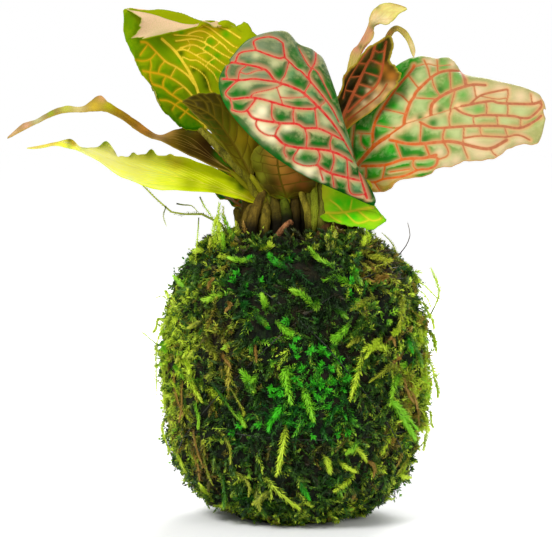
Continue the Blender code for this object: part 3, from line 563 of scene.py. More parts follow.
@dataclass(frozen=True)
class LeafFinish:
    """The skin of one leaf: green cells in a net of veins. Widths are in millimetres."""

    name: str
    slot: str
    cell: Colour  # a cell's deep green by the veins
    crown: Colour  # the same cell's swollen middle: partly its own pale tone, partly painted sheen where the cell faces up
    vein: Colour
    halo: Colour  # what the vein's colour fades to beside it
    rim: Colour  # along the margin
    outer: Colour  # tint of the cells towards the tip
    outer_share: float = 0.0
    outer_vein: Colour | None = None
    right_cell: Colour | None = None  # the cells of the right half, where they differ
    right_vein: Colour | None = None
    stalk: Colour = (0.24, 0.23, 0.008)
    stalk_foot: Colour = (0.1, 0.085, 0.004)
    under: Colour = (0.3, 0.34, 0.08)  # the face below
    under_vein: Colour = (0.55, 0.45, 0.12)
    under_foot: Colour | None = None  # the face below near the stalk, where it differs
    covered: float = 0.0  # how far stains and painted shade also cover the veins
    halo_width: float = 0.9
    rim_width: float = 0.7
    bloom: float = 0.5  # how strongly the swollen middles turn pale, partly as painted sheen on their upward slopes
    roughness: float = 0.46
    gloss: float = 0.04
    coat: float = 0.01
    coat_roughness: float = 0.22
    pore_depth: float = 0.00004  # metres
    through: float = 0.25

    # What makes a cell pale, and by how much: the upward slope paints sheen from the light above, the rest is the
    # cell's own tone
    BY_SLOPE, BY_SWELL, BY_BROAD, BY_MOTTLE, BY_FINE = 2.0, 0.3, 0.6, 0.9, 0.3
    # How much is covered
    SPECK_SHARE, HALO_SHARE, RIM_SHARE = 0.22, 0.75, 0.8
    STAIN_FROM = 0.38  # how far from a vein a stain or a patch of painted shade is whole, as a share of the halo's width
    # Where a tone starts and where it is whole, in the measure of the layer that it follows
    PALE = (0.08, 0.78)
    OUTWARD = (0.25, 0.85)
    SPECKS = (0.35, 0.75)
    OUTER_LINE = (0.15, 0.7)
    RIGHT_LINE = (-0.25, 0.2)
    RIGHT_CELLS = (-0.35, 0.25)
    PALE_LINE = (0.38, 0.68)
    LINE_EDGE = (0.16, -0.12)
    DULL_VEINS = (0.3, 0.0)
    UNDER_FOOT = (0.4, 0.65)
    UNDER_SPECKS = (0.3, 0.8)
    UNDER_LINE_EDGE = (0.45, -0.1)

    def mix(self) -> bpy.types.Material:
        """Makes the material, which reads the layers that Leaf keeps on its mesh.

        Returns:
            The material.
        """
        bench = Bench(self.name, self.cell)
        skin = LeafSkin(bench)
        cell = self.cell
        if self.right_cell:
            cell = bench.mix(skin.beside.step(*self.RIGHT_CELLS), cell, self.right_cell)
        blade = bench.mix(skin.below, self.upper_face(bench, skin, cell), self.lower_face(bench, skin, cell))
        colour = bench.mix(skin.stalk, blade, self.stalk_skin(bench, skin))
        pores = bench.grain(skin.PORES, 3.0)
        bench.dress(
            Base_Color=colour,
            Roughness=(skin.fine * 0.16 + (self.roughness - 0.08)) + skin.vein.step(*self.DULL_VEINS) * 0.08,
            Specular_IOR_Level=self.gloss,
            Coat_Weight=self.coat,
            Coat_Roughness=self.coat_roughness,
            Normal=bench.bump((pores + skin.fine * 0.5) * self.pore_depth, 1.0, 0.8),
        )
        if self.through:
            bench.let_light_through(colour, self.through)
        return bench.material

    def upper_face(self, bench: Bench, skin: LeafSkin, cell: Paint) -> Paint:
        """Mixes the upper face: cells with painted sheen, tip, halos, stains and painted shade, veins and rim, each
        over what comes before.

        Args:
            bench: The material's bench.
            skin: The leaf's layers on it.
            cell: The cells' deep green.

        Returns:
            Its colour.
        """
        # Painted sheen mixed with the cell's own paleness: a cell turns pale where its relief faces up, as if
        # catching the light above, and on its swollen middle and with the noise
        pale = skin.upward * self.BY_SLOPE + skin.swell * self.BY_SWELL + (skin.broad - 0.5) * self.BY_BROAD
        pale = pale + (skin.mottle - 0.5) * self.BY_MOTTLE + (skin.fine - 0.5) * self.BY_FINE
        pale = pale.step(*self.PALE) * self.bloom
        body = bench.mix(pale, cell, self.crown)
        outward = (skin.reach + (skin.broad - 0.5) * 0.25).step(*self.OUTWARD) * self.outer_share
        body = bench.mix(outward, body, self.outer)
        body = bench.mix(skin.fine.step(*self.SPECKS) * self.SPECK_SHARE, body, cell)
        body = bench.mix(skin.off_vein.step(self.halo_width, 0.05) * self.HALO_SHARE, body, self.halo)
        clear = skin.off_vein.step(-0.1, self.halo_width * self.STAIN_FROM)
        body = bench.mix(skin.stained * clear, body, bench.mix(pale * 0.2, skin.stain, self.crown))
        line: Paint = self.vein
        if self.outer_vein:
            line = bench.mix(skin.reach.step(*self.OUTER_LINE), line, self.outer_vein)
        if self.right_vein:
            line = bench.mix(skin.beside.step(*self.RIGHT_LINE), line, self.right_vein)
        line = bench.mix(skin.mottle.step(*self.PALE_LINE) * 0.3, line, self.halo)
        line = bench.mix(skin.stained * self.covered, line, skin.stain)
        face = bench.mix(skin.off_vein.step(*self.LINE_EDGE), body, line)
        bared = (1.0 - skin.stained * self.covered) * self.RIM_SHARE
        by_margin = (skin.margin + (skin.fine - 0.5) * 0.3).step(self.rim_width, 0.1)
        return bench.mix(by_margin * bared, face, self.rim)

    def lower_face(self, bench: Bench, skin: LeafSkin, cell: Paint) -> Paint:
        """Mixes the lower face, which is paler and has the same veins.

        Args:
            bench: The material's bench.
            skin: The leaf's layers on it.
            cell: The cells' deep green.

        Returns:
            Its colour.
        """
        face: Paint = self.under
        if self.under_foot:
            face = bench.mix(skin.reach.step(*self.UNDER_FOOT), self.under_foot, self.under)
        face = bench.mix(skin.stained, face, skin.stain)
        face = bench.mix(skin.fine.step(*self.UNDER_SPECKS) * 0.3, face, cell)
        face = bench.mix(skin.off_vein.step(*self.UNDER_LINE_EDGE), face, self.under_vein)
        return bench.mix(skin.margin.step(self.rim_width, 0.1) * 0.6, face, self.rim)

    def stalk_skin(self, bench: Bench, skin: LeafSkin) -> Paint:
        """The stalk's colour, from its foot to the blade, in streaks."""
        streaks = bench.grain(skin.STREAKS, 3.0, 0.6, (1, 1, 0.25))
        return bench.mix((skin.swell + (streaks - 0.5) * 1.2).step(0.1, 0.9), self.stalk_foot, self.stalk)


@dataclass(frozen=True)
class MossFinish:
    """Living moss: painted dark as shade at the root of a sprig, bright at its tip, with fresh and withered
    patches.
    """

    name: str = "living_moss"
    slot: str = "moss"
    # Painted shade: near black at a sprig's root, as in the dark gaps between sprigs
    root: Colour = (0.004, 0.008, 0.002)
    deep: Colour = (0.01, 0.035, 0.004)
    green: Colour = (0.06, 0.18, 0.008)
    lime: Colour = (0.64, 0.8, 0.045)
    emerald: Colour = (0.004, 0.13, 0.006)
    emerald_tip: Colour = (0.07, 0.62, 0.012)
    withered: Colour = (0.04, 0.022, 0.006)
    olive: Colour = (0.3, 0.22, 0.015)
    tan: Colour = (0.46, 0.28, 0.055)
    through: float = 0.3
    grain: float = 1800.0  # clouds to a metre
    relief: float = 0.0002  # metres

    # Where a tone starts and where it is whole, from a sprig's root to its tip or from poor to good luck and light
    TO_GREEN, TO_LIME, TO_VIVID = (0.35, 0.95), (0.9, 1.5), (0.55, 1.25)
    TO_OLIVE, TO_TAN = (0.45, 1.35), (0.78, 1.0)
    TO_ROOT, ROOT_SHARE = (0.25, -0.05), 0.92

    def mix(self) -> bpy.types.Material:
        """Makes the material, which reads the layers that the moss keeps on its meshes.

        Returns:
            The material.
        """
        bench = Bench(self.name, self.green)
        reach, luck = bench.layer("reach"), bench.layer("luck")
        fresh, aged = bench.layer("fresh"), bench.layer("aged")
        fine = bench.grain(self.grain, 3.0)
        # A tip's brightness: from its place on the sprig, its luck, its painted light and shade, and noise
        tip = reach * 0.5 + luck * 1.1 + (fine - 0.5) * 0.3
        colour = bench.mix(tip.step(*self.TO_GREEN), self.deep, self.green)
        colour = bench.mix(tip.step(*self.TO_LIME), colour, self.lime)
        vivid = bench.mix(tip.step(*self.TO_VIVID), self.emerald, self.emerald_tip)
        colour = bench.mix(fresh, colour, vivid)
        dull = bench.mix(tip.step(*self.TO_OLIVE), self.withered, self.olive)
        dull = bench.mix((luck + (fine - 0.5) * 0.4).step(*self.TO_TAN), dull, self.tan)
        colour = bench.mix(aged, colour, dull)
        # Painted shade towards each sprig's root
        colour = bench.mix(reach.step(*self.TO_ROOT) * self.ROOT_SHARE, colour, self.root)
        bench.dress(
            Base_Color=colour,
            Roughness=fine * 0.3 + 0.38,
            Specular_IOR_Level=0.4,
            Normal=bench.bump(fine, self.relief, 0.6),
        )
        bench.let_light_through(colour, self.through)
        return bench.material


@dataclass(frozen=True)
class MatFinish:
    """The matted moss under the sprigs: dark, with brown threads, and near black as painted shade in the gaps
    between them.
    """

    name: str = "matted_moss"
    slot: str = "moss"
    # Near black: partly painted shade in the gaps between the sprigs
    dark: Colour = (0.002, 0.004, 0.001)
    green: Colour = (0.01, 0.026, 0.003)
    brown: Colour = (0.018, 0.011, 0.004)
    strands: float = 700.0  # to a metre
    clumps: float = 110.0  # to a metre
    relief: float = 0.0025  # metres

    # Where a tone starts and where it is whole
    TO_GREEN, TO_BROWN = (0.42, 0.68), (0.62, 0.85)
    BROWN_SHARE = 0.8

    def mix(self) -> bpy.types.Material:
        """Makes the material.

        Returns:
            The material.
        """
        bench = Bench(self.name, self.green)
        strands = bench.grain(self.strands, 6.0, 0.7, (1, 1, 0.5))
        clumps = bench.grain(self.clumps, 3.0, 0.6)
        colour = bench.mix(strands.step(*self.TO_GREEN), self.dark, self.green)
        colour = bench.mix((clumps + strands * 0.4).step(*self.TO_BROWN) * self.BROWN_SHARE, colour, self.brown)
        bench.dress(
            Base_Color=colour,
            Roughness=0.85,
            Specular_IOR_Level=0.2,
            Normal=bench.bump(strands + clumps * 0.5, self.relief, 1.0),
        )
        return bench.material


@dataclass(frozen=True)
class GrainFinish:
    """A plain natural surface of two tones with a grain: soil, stems, the dry stalk or the line."""

    name: str
    slot: str
    dark: Colour
    light: Colour
    scale: float  # clouds to a metre
    stretch: Spot = (1, 1, 1)
    roughness: float = 0.7
    relief: float = 0.0003  # metres
    coat: float = 0.0
    gloss: float = 0.08
    tinted: bool = False  # whether the mesh keeps a colour of its own for each body, painted shade included

    TO_LIGHT = (0.32, 0.68)  # where the light tone starts and where it is whole
    SPECK_SHARE = 0.4  # how much the specks add to the grain
    DARK_SHARE = 0.3  # how much of a body's own colour the dark tone takes on

    def mix(self) -> bpy.types.Material:
        """Makes the material.

        Returns:
            The material.
        """
        bench = Bench(self.name, self.light)
        grain = bench.grain(self.scale, 5.0, 0.6, self.stretch)
        specks = bench.grain(self.scale * 3.0, 2.0, 0.5)
        dark, light = self.dark, self.light
        if self.tinted:
            light = bench.node("ShaderNodeAttribute", {"attribute_name": "tint"}).outputs["Color"]
            dark = bench.mix(self.DARK_SHARE, self.dark, light)
        colour = bench.mix((grain + (specks - 0.5) * self.SPECK_SHARE).step(*self.TO_LIGHT), dark, light)
        bench.dress(
            Base_Color=colour,
            Roughness=specks * 0.2 + (self.roughness - 0.1),
            Specular_IOR_Level=self.gloss,
            Coat_Weight=self.coat,
            Normal=bench.bump(grain + specks * self.SPECK_SHARE, self.relief, 1.0),
        )
        return bench.material


@dataclass(frozen=True)
class StageFinish:
    """The plain pale floor."""

    name: str = "pale_floor"
    colour: Colour = (0.9, 0.9, 0.9)
    near: float = 0.25  # metres from the ball within which the floor is lit by the lamps alone
    far: float = 1.0  # metres from which it glows in full, as the room does
    glow: float = 0.6

    def mix(self) -> bpy.types.Material:
        """Makes the material.

        Returns:
            The material.
        """
        bench = Bench(self.name, self.colour)
        place = bench.node("ShaderNodeTexCoord").outputs["Object"]
        length = bench.node("ShaderNodeVectorMath", {"operation": "LENGTH"}, {0: place})
        away = Strand(bench, length.outputs["Value"])
        bench.dress(
            Base_Color=self.colour,
            Roughness=0.9,
            Specular_IOR_Level=0.1,
            Emission_Color=bench.mix(away.step(self.near, self.far), (0.0, 0.0, 0.0), (1.0, 1.0, 1.0)),
            Emission_Strength=self.glow,
        )
        return bench.material


# Veins

MIDRIB_MARKS = 60
RIB_MARKS = 40
TIE_MARKS = 14
VEINS_END = (0.99, 0.96)  # how far along and across a blade veins are drawn
VEIN_STEP = 0.004  # of the blade's length
PIXEL_STEP = 0.6
MIDRIB_TAPER = 0.45  # the share of its width that is lost at the tip
RIB_TAPER = 0.3


@dataclass(frozen=True)
class SeenVein:
    """A vein by the pixels of the photograph that it runs through."""

    track: tuple[Pixel, ...]
    half: float = 0.42  # half its width, in millimetres


@dataclass(frozen=True)
class VeinPattern:
    """How veins grow on a blade where none is listed.

    Places on a blade are (along, across): 0 to 1 from base to tip, and -1 to 1 from left to right margin.
    """

    ribs: int = 9  # side veins in each half
    lean: float = 0.2  # how far towards the tip they run
    ties: int = 4  # cross veins between two of them, in each half
    rib_half: float = 0.4
    tie_half: float = 0.26
    middle_half: float = 0.75
    seed: int = 3
    start: float = 0.03
    end: float = 0.93
    halves: tuple[int, ...] = (-1, 1)
    middle_end: float = 0.97
    crowding: float = 0.92  # under 1, side veins stand closer towards the tip
    straying: float = 0.2  # how far their starts stray, beside the space between two
    rib_reach: float = 0.9
    rib_arch: float = 1.25  # over 1, they bend towards the tip
    easing: float = 0.45  # the share of their lean that is lost towards the tip
    ripple: float = 0.006
    ripples: float = 9.0
    stagger: float = 0.04  # how far a cross vein's ends are shifted along their side veins
    tie_straying: float = 0.05
    tie_bow: tuple[float, float] = (-0.04, 0.05)

    def on_rib(self, start: float, side: int, number: int, shares: np.ndarray) -> np.ndarray:
        """Walks a side vein.

        Args:
            start: Where it leaves the midrib.
            side: -1 for the left half and 1 for the right one.
            number: Its number from the base, which its ripples start from.
            shares: The shares walked.

        Returns:
            A place for each share.
        """
        lean = self.lean * (1.0 - self.easing * start)
        along = start + lean * shares**self.rib_arch
        along = along + self.ripple * np.sin(self.ripples * shares + number)
        return np.stack([along, side * self.rib_reach * shares], axis=1)

    def tracks(self) -> list[tuple[np.ndarray, float]]:
        """Draws the veins.

        Returns:
            The places that each one runs through, and its half-width.
        """
        draw = np.random.default_rng(self.seed)
        middle = np.linspace(0.0, self.middle_end, MIDRIB_MARKS)
        made = [(np.stack([middle, np.zeros(MIDRIB_MARKS)], axis=1), self.middle_half)]
        for side in self.halves:
            starts = self.start + (self.end - self.start) * (np.arange(self.ribs) / self.ribs) ** self.crowding
            starts = starts + draw.uniform(-self.straying, self.straying, self.ribs) * 0.8 / self.ribs
            for number, start in enumerate(starts):
                made.append((self.on_rib(start, side, number, np.linspace(0.0, 1.0, RIB_MARKS)), self.rib_half))
                if number + 1 == self.ribs:
                    continue
                for tie in range(1, self.ties + 1):
                    share = tie / (self.ties + 0.6) + draw.uniform(-self.tie_straying, self.tie_straying)
                    here = self.on_rib(start, side, number, np.array([share + self.stagger]))[0]
                    there = self.on_rib(starts[number + 1], side, number + 1, np.array([share - self.stagger]))[0]
                    bend = (here + there) / 2 + np.array([0.0, side * draw.uniform(*self.tie_bow)])
                    made.append((bowed(here, bend, there, TIE_MARKS), self.tie_half))
        return made


# Leaves


class Leafing(Enum):
    """How finely a leaf is meshed, as rows and columns of its blade."""

    WIDE = (170, 170)
    LARGE = (160, 110)
    MEDIUM = (110, 60)
    SMALL = (80, 44)


STEM_FOOT = 97.0
STEM_RADIUS = 1.5
STEM_MARKS = 40
STALK_RADIUS = 1.05
STALK_LEAVES = 0.62  # from a stem's side to where a stalk's solid starts
STALK_KNEE = 2.2
STALK_MARKS = 36
STALK_DEPTH = 0.6  # where a stalk starts inside its stem, as a share of the stem's radius
BLADE_END = 0.985
CREST_PLACE = 0.72
WAVE_LAG = 0.9
BODY_SHAPE = 0.6
FINE_SCALLOPS = 2.3  # how many there are to each broad one
BUMP_SIDE = (0.3, 1.0)  # from where across the blade a bump starts to where it is whole
FULL_SWELL = 1.5  # how far from the margin a cell is fully swollen
SUNK = 0.35  # the share of the swelling that lies below the sheet
THIN_EDGE = 0.55  # the share of the thickness that is lost at the margin
THIN_WIDTH = 1.2
RIDGE = 0.22  # how far veins stand out below
RIDGE_SIDE = (-0.5, 0.15)
KEEL = (0.02, 0.9)  # the share of the blade that the stalk runs on under
KEEL_MARKS = 40
KEEL_GIRTH = 0.85  # its radius at the blade's base, beside the stalk's
KEEL_TAPER = 0.86
KEEL_DROP = 0.62  # how far it lies under the sheet, as a share of its radius
LEAST_AREA = 1e-3  # square pixels
LEAST_STAIN = 1e-6

STEM_PATHS: dict[str, list[Spot]] = {
    "stem_left": [(-8, -4, STEM_FOOT), (-8, -4, 112), (-9, -4, 118), (-10, -5, 124.5)],
    "stem_centre": [(-1, 4, STEM_FOOT), (-1, 4, 113), (-1.5, 5, 121), (-2, 6, 129)],
    "stem_right": [(9, -3, STEM_FOOT), (9.5, -3, 113), (11.5, -2, 120), (14, -1, 127)],
    "stem_back": [(6, 10, STEM_FOOT), (6.5, 11, 114), (8, 13, 124), (10.5, 15, 135)],
}


@dataclass(frozen=True)
class Stain:
    """A soft patch of another tone on a leaf, about a pixel of the photograph. Most are the leaf's own tones; some
    are painted shade, and some paint sheen.
    """

    pixel: Pixel
    size: float  # how far it reaches, in pixels
    colour: Colour
    strength: float = 0.8


def daubs(colour: Colour, strength: float, *places: Spot) -> tuple[Stain, ...]:
    """Patches of one colour and strength, stains or painted shade, at places given as (across, down, size) in
    pixels.
    """
    return tuple(Stain((x, y), size, colour, strength) for x, y, size in places)


@dataclass
class Leaf:
    """One leaf with its stalk. The blade is the smooth sheet through its margins and its midrib."""

    name: str
    stem: str
    share: float  # how far up its stem the stalk leaves it
    finish: LeafFinish
    stalk: list[Spot]
    rib: list[Spot]
    left: list[Spot]
    right: list[Spot]
    crest: list[Spot] = field(default_factory=list)  # the fold of a margin that is rolled over
    grade: Leafing = Leafing.MEDIUM
    puff: float = 1.0
    wave: float = 0.8
    waves: float = 3.5
    relief: float = 0.55  # how far cells swell up between the veins
    swell_reach: float = 2.4  # how far from a vein a cell is fully swollen
    scallop: float = 0.02  # how far the margin swells in and out, as a share of the half width
    scallops: float = 9.0
    seen: tuple[SeenVein, ...] = ()
    vein_share: float = 1.0  # how wide the veins are drawn, beside their listed widths
    pattern: VeinPattern | None = field(default_factory=VeinPattern)
    stains: tuple[Stain, ...] = ()
    bumps: tuple[Spot, ...] = ()  # of the right margin: how far along, how high and how wide each is
    girth: float = 1.5  # the stalk's thickness at its foot, beside its thickness at the blade
    replaces: bool = True  # whether a plain solid of the same name makes way for it
    thickness: float = 0.44
    tube_sides: int = 12

    def lines(self, side: np.ndarray) -> tuple[list[float], list[list[Spot]]]:
        """Finds the long lines that carry the blade, from left to right.

        Args:
            side: Which way its right side points at its base.

        Returns:
            The lines' places across the blade, and the points that each runs through.
        """
        base, tip = np.array(self.rib[0], dtype=float), np.array(self.rib[-1], dtype=float)
        places, lines = [-1.0, 0.0], [[base - side * STALK_RADIUS, *self.left, tip], self.rib]
        if self.crest:
            places.append(CREST_PLACE)
            lines.append([base + side * STALK_RADIUS * CREST_PLACE, *self.crest, tip])
        places.append(1.0)
        lines.append([base + side * STALK_RADIUS, *self.right, tip])
        return places, lines

    def stalk_path(self) -> np.ndarray:
        """Finds the stalk's middle.

        Returns:
            Points from inside its stem's skin to the blade's base.
        """
        stem = read_curve(STEM_PATHS[self.stem], np.linspace(0, 1, STEM_MARKS))
        place = int(self.share * (len(stem) - 1))
        way = unit(np.gradient(stem, axis=0))[place]
        toward = square_to(np.array(self.stalk[0], dtype=float) - stem[place], way)
        start = stem[place] + toward * (STEM_RADIUS + STALK_LEAVES)
        knee = start + toward * STALK_KNEE
        foot = stem[place] + toward * STEM_RADIUS * STALK_DEPTH
        run = read_curve([start, knee, *self.stalk, self.rib[0]], np.linspace(0, 1, STALK_MARKS))
        return np.vstack([foot, run])

    def side_way(self, stalk: np.ndarray) -> np.ndarray:
        """Which way the blade's right side points at its base."""
        way = unit(np.array(self.rib[1], dtype=float) - stalk[-2])
        return square_to(np.array(self.right[0], dtype=float) - np.array(self.left[0], dtype=float), way)

    def sheet(self, side: np.ndarray, along: np.ndarray, across: np.ndarray) -> np.ndarray:
        """Finds the blade's middle surface without its cells.

        Args:
            side: Which way its right side points at its base.
            along: Where its rows lie, from 0 at the base to 1 at the tip.
            across: Where its columns lie, from -1 at the left margin to 1 at the right one.

        Returns:
            Points shaped (rows, columns, 3).
        """
        places, lines = self.lines(side)
        rows = np.array([read_curve(line, along * BLADE_END) for line in lines])
        v = np.broadcast_to(across, (len(along), len(across))).copy()
        ripple = np.sin(2 * math.pi * self.scallops * along)[:, None] * np.sign(v)
        fine = 0.5 * np.sin(2 * math.pi * self.scallops * FINE_SCALLOPS * along + 1.0)[:, None] * np.sign(v)
        body = np.maximum(0.0, np.sin(math.pi * along))[:, None] ** BODY_SHAPE
        v = v + self.scallop * (ripple + fine) * np.abs(v) ** 3 * body
        grid = read_across(places, rows, v)
        half = np.maximum(0.0, np.sin(math.pi * np.abs(np.clip(v, -1, 1))))
        lag = np.where(v > 0, WAVE_LAG, 0.0)
        turn = 2 * math.pi * self.waves * along[:, None] + lag
        swell = self.puff * half + self.wave * np.abs(v) ** 3 * np.sin(turn)
        grid = grid + sheet_normals(grid) * (swell * body)[..., None]
        for place, rise, width in self.bumps:
            grid[..., 2] += rise * np.exp(-(((along[:, None] - place) / width) ** 2)) * smooth_step(v, *BUMP_SIDE)
        return grid

    def tints(self, grid: np.ndarray, camera: PhotoCamera) -> np.ndarray:
        """Lays the stains and the patches of painted shade over one another.

        Args:
            grid: The blade's middle surface.
            camera: Through which the stains and the painted shade were seen.

        Returns:
            A colour for each point of the blade, with its strength as a fourth value.
        """
        shown = camera.pixels(grid)
        tint = np.zeros((*grid.shape[:2], 4))
        for stain in self.stains:
            far = np.linalg.norm(shown - np.array(stain.pixel), axis=2, keepdims=True)
            share = stain.strength * np.exp(-((far / stain.size) ** 2))
            whole = tint[..., 3:] * (1 - share) + share
            mixed = tint[..., :3] * tint[..., 3:] * (1 - share) + np.array(stain.colour) * share
            tint = np.concatenate([mixed / np.maximum(whole, LEAST_STAIN), whole], axis=2)
        return tint

    def drawn_spots(self, grid: np.ndarray, track: np.ndarray, half: float) -> tuple[np.ndarray, np.ndarray]:
        """Lays a drawn vein on the blade.

        Args:
            grid: The blade's middle surface.
            track: The places it runs through.
            half: Its half-width at its start.

        Returns:
            Points along it in space, with its half-width at each.
        """
        rows, columns = grid.shape[:2]
        fine = densify(track * np.array([1.0, 0.5]), VEIN_STEP) * np.array([1.0, 2.0])
        along, across = fine[:, 0], fine[:, 1]
        kept = (along >= 0) & (along <= VEINS_END[0]) & (np.abs(across) <= VEINS_END[1])
        along, across = along[kept], across[kept]
        is_middle = half == self.pattern.middle_half
        taper = 1.0 - MIDRIB_TAPER * along if is_middle else 1.0 - RIB_TAPER * np.abs(across)
        return read_sheet(grid, along * (rows - 1), (across + 1) / 2 * (columns - 1)), half * taper

    def vein_spots(self, grid: np.ndarray, camera: PhotoCamera) -> tuple[np.ndarray, np.ndarray]:
        """Lays every vein on the blade.

        Args:
            grid: The blade's middle surface.
            camera: Through which the listed veins were seen.

        Returns:
            Points along the veins in space, with the half-width at each.
        """
        found = [self.drawn_spots(grid, *vein) for vein in (self.pattern.tracks() if self.pattern else ())]
        view = SheetView(grid, camera)
        for vein in self.seen:
            track = read_curve([(x, y, 0.0) for x, y in vein.track], np.linspace(0, 1, 8 * len(vein.track)))
            pixels = densify(track[:, :2], PIXEL_STEP)
            found.append((view.spots_at(pixels), np.full(len(pixels), vein.half)))
        spots, halves = zip(*found)
        return np.concatenate(spots), np.concatenate(halves) * self.vein_share

    def build(self, camera: PhotoCamera) -> bpy.types.Object:
        """Makes the leaf.

        Args:
            camera: Through which its veins were seen.

        Returns:
            Its object, which stands for the plain solid of the same name.
        """
        rows, columns = self.grade.value
        along, across = np.linspace(0.0, 1.0, rows), np.linspace(-1.0, 1.0, columns)
        stalk = self.stalk_path()
        flat = self.sheet(self.side_way(stalk), along, across)
        spots, halves = self.vein_spots(flat, camera)
        off_vein = distance_to(flat.reshape(-1, 3), spots, halves).reshape(rows, columns)
        edge = off_margin(flat)
        swell = 1.0 - (1.0 - np.clip(off_vein / self.swell_reach, 0.0, 1.0)) ** 2
        swell = swell * smooth_step(edge, 0.0, FULL_SWELL)
        flat_normals = sheet_normals(flat)
        grid = flat + flat_normals * (self.relief * (swell - SUNK))[..., None]
        normals = sheet_normals(grid)
        half = self.thickness / 2 * (1.0 - THIN_EDGE * smooth_step(-edge, -THIN_WIDTH, 0.0))
        ridge = RIDGE * smooth_step(-off_vein, *RIDGE_SIDE)
        upper = grid + normals * half[..., None]
        lower = grid - normals * (half + ridge)[..., None]
        reach = np.broadcast_to(along[:, None], (rows, columns))
        # How far the relief turns each point up, which the finish paints as sheen
        upward = normals[..., 2] - flat_normals[..., 2]
        both = {"vein": off_vein, "margin": edge, "reach": reach, "swell": swell, "upward": upward}
        shell = Shell()
        shell.add(
            np.concatenate([upper.reshape(-1, 3), lower.reshape(-1, 3)]),
            [closed_sheet(rows, columns)],
            **{layer: np.tile(values.ravel(), 2) for layer, values in both.items()},
            beside=np.tile(across, 2 * rows),
            tint=np.tile(self.tints(grid, camera).reshape(-1, 4), (2, 1)),
            below=np.repeat([0.0, 1.0], rows * columns),
            stalk=0.0,
        )
        points, faces, walked = self.rib_tube(stalk, grid, normals)
        shell.add(
            points, faces, vein=-0.5, margin=9.0, reach=0.0, swell=walked, upward=0.0, beside=0.0,
            tint=np.zeros((1, 4)), below=1.0, stalk=1.0,
        )
        piece = shell.piece(self.name + "_dressed", self.finish.mix())
        place_piece(piece, self.finish.slot, *([self.name] if self.replaces else []))
        return piece

    def rib_tube(
        self, stalk: np.ndarray, grid: np.ndarray, normals: np.ndarray
    ) -> tuple[np.ndarray, list[np.ndarray], np.ndarray]:
        """Makes the stalk, which runs on as the midrib's keel under the blade.

        Args:
            stalk: The stalk's middle.
            grid: The blade's middle surface.
            normals: Its normals.

        Returns:
            Points, faces and the share of the stalk walked at each point.
        """
        rows, columns = grid.shape[:2]
        steps = np.linspace(*KEEL, KEEL_MARKS)
        middle = np.full(KEEL_MARKS, (columns - 1) / 2)
        keel = read_sheet(grid, steps * (rows - 1), middle)
        down = read_sheet(normals, steps * (rows - 1), middle)
        radii = STALK_RADIUS * KEEL_GIRTH * (1.0 - KEEL_TAPER * steps)
        keel = keel - down * (radii * KEEL_DROP + self.thickness * 0.3)[:, None]
        path = np.vstack([stalk[:-1], keel])
        taper = np.linspace(self.girth, 1.0, len(stalk) - 1)
        bulk = np.concatenate([STALK_RADIUS * 0.95 * taper, radii])
        walked = np.concatenate([np.linspace(0.0, 1.0, len(stalk) - 1), np.ones(len(keel))])
        points, faces = tube(path, bulk, self.tube_sides)
        return points, faces, np.append(np.repeat(walked, self.tube_sides), [0.0, 1.0])


class SheetView:
    """A grid of points as the photograph's camera sees it."""

    def __init__(self, grid: np.ndarray, camera: PhotoCamera) -> None:
        """Finds where the grid shows."""
        self.grid = grid
        self.shown = camera.pixels(grid)
        self.down, self.beside = np.gradient(self.shown, axis=0), np.gradient(self.shown, axis=1)

    def spots_at(self, pixels: np.ndarray) -> np.ndarray:
        """Finds what is seen at pixels.

        Args:
            pixels: Rows of (across, down).

        Returns:
            The points of the grid's sheet that show there, or nearest to there.
        """
        columns = self.grid.shape[1]
        flat = self.shown.reshape(-1, 2)
        nearest = np.array([np.argmin(np.sum((flat - pixel) ** 2, axis=1)) for pixel in pixels])
        i, j = nearest // columns, nearest % columns
        a, b = self.down[i, j], self.beside[i, j]
        miss = pixels - self.shown[i, j]
        area = a[:, 0] * b[:, 1] - a[:, 1] * b[:, 0]
        area = np.where(np.abs(area) < LEAST_AREA, LEAST_AREA, area)
        rows_on = np.clip((miss[:, 0] * b[:, 1] - miss[:, 1] * b[:, 0]) / area, -1, 1)
        columns_on = np.clip((a[:, 0] * miss[:, 1] - a[:, 1] * miss[:, 0]) / area, -1, 1)
        return read_sheet(self.grid, i + rows_on, j + columns_on)


def densify(track: np.ndarray, step: float) -> np.ndarray:
    """Adds points to a track.

    Args:
        track: Its points.
        step: How far apart they may be.

    Returns:
        Points spread evenly along it.
    """
    runs = np.linalg.norm(np.diff(track, axis=0), axis=1)
    walked = np.concatenate([[0.0], np.cumsum(runs)])
    marks = np.linspace(0.0, walked[-1], max(2, int(walked[-1] / step) + 1))
    return np.stack([np.interp(marks, walked, track[:, k]) for k in range(track.shape[1])], axis=1)


def read_sheet(grid: np.ndarray, row: np.ndarray, column: np.ndarray) -> np.ndarray:
    """Reads a grid between its rows and columns.

    Args:
        grid: Points or ways, shaped (rows, columns, 3).
        row: Where to read it, counted in rows.
        column: Where to read it, counted in columns.

    Returns:
        What lies at each place.
    """
    rows, columns = grid.shape[:2]
    row, column = np.clip(row, 0, rows - JUST_INSIDE), np.clip(column, 0, columns - JUST_INSIDE)
    i, j = row.astype(int), column.astype(int)
    s, t = (row - i)[:, None], (column - j)[:, None]
    near = grid[i, j] * (1 - t) + grid[i, j + 1] * t
    far = grid[i + 1, j] * (1 - t) + grid[i + 1, j + 1] * t
    return near * (1 - s) + far * s


def off_margin(grid: np.ndarray) -> np.ndarray:
    """How far each point of a blade is from its margins in its row, or from its tip."""
    beside = [np.linalg.norm(grid - grid[:, :1], axis=2), np.linalg.norm(grid - grid[:, -1:], axis=2)]
    return np.minimum(np.minimum(*beside), np.linalg.norm(grid - grid[-1:, :], axis=2))


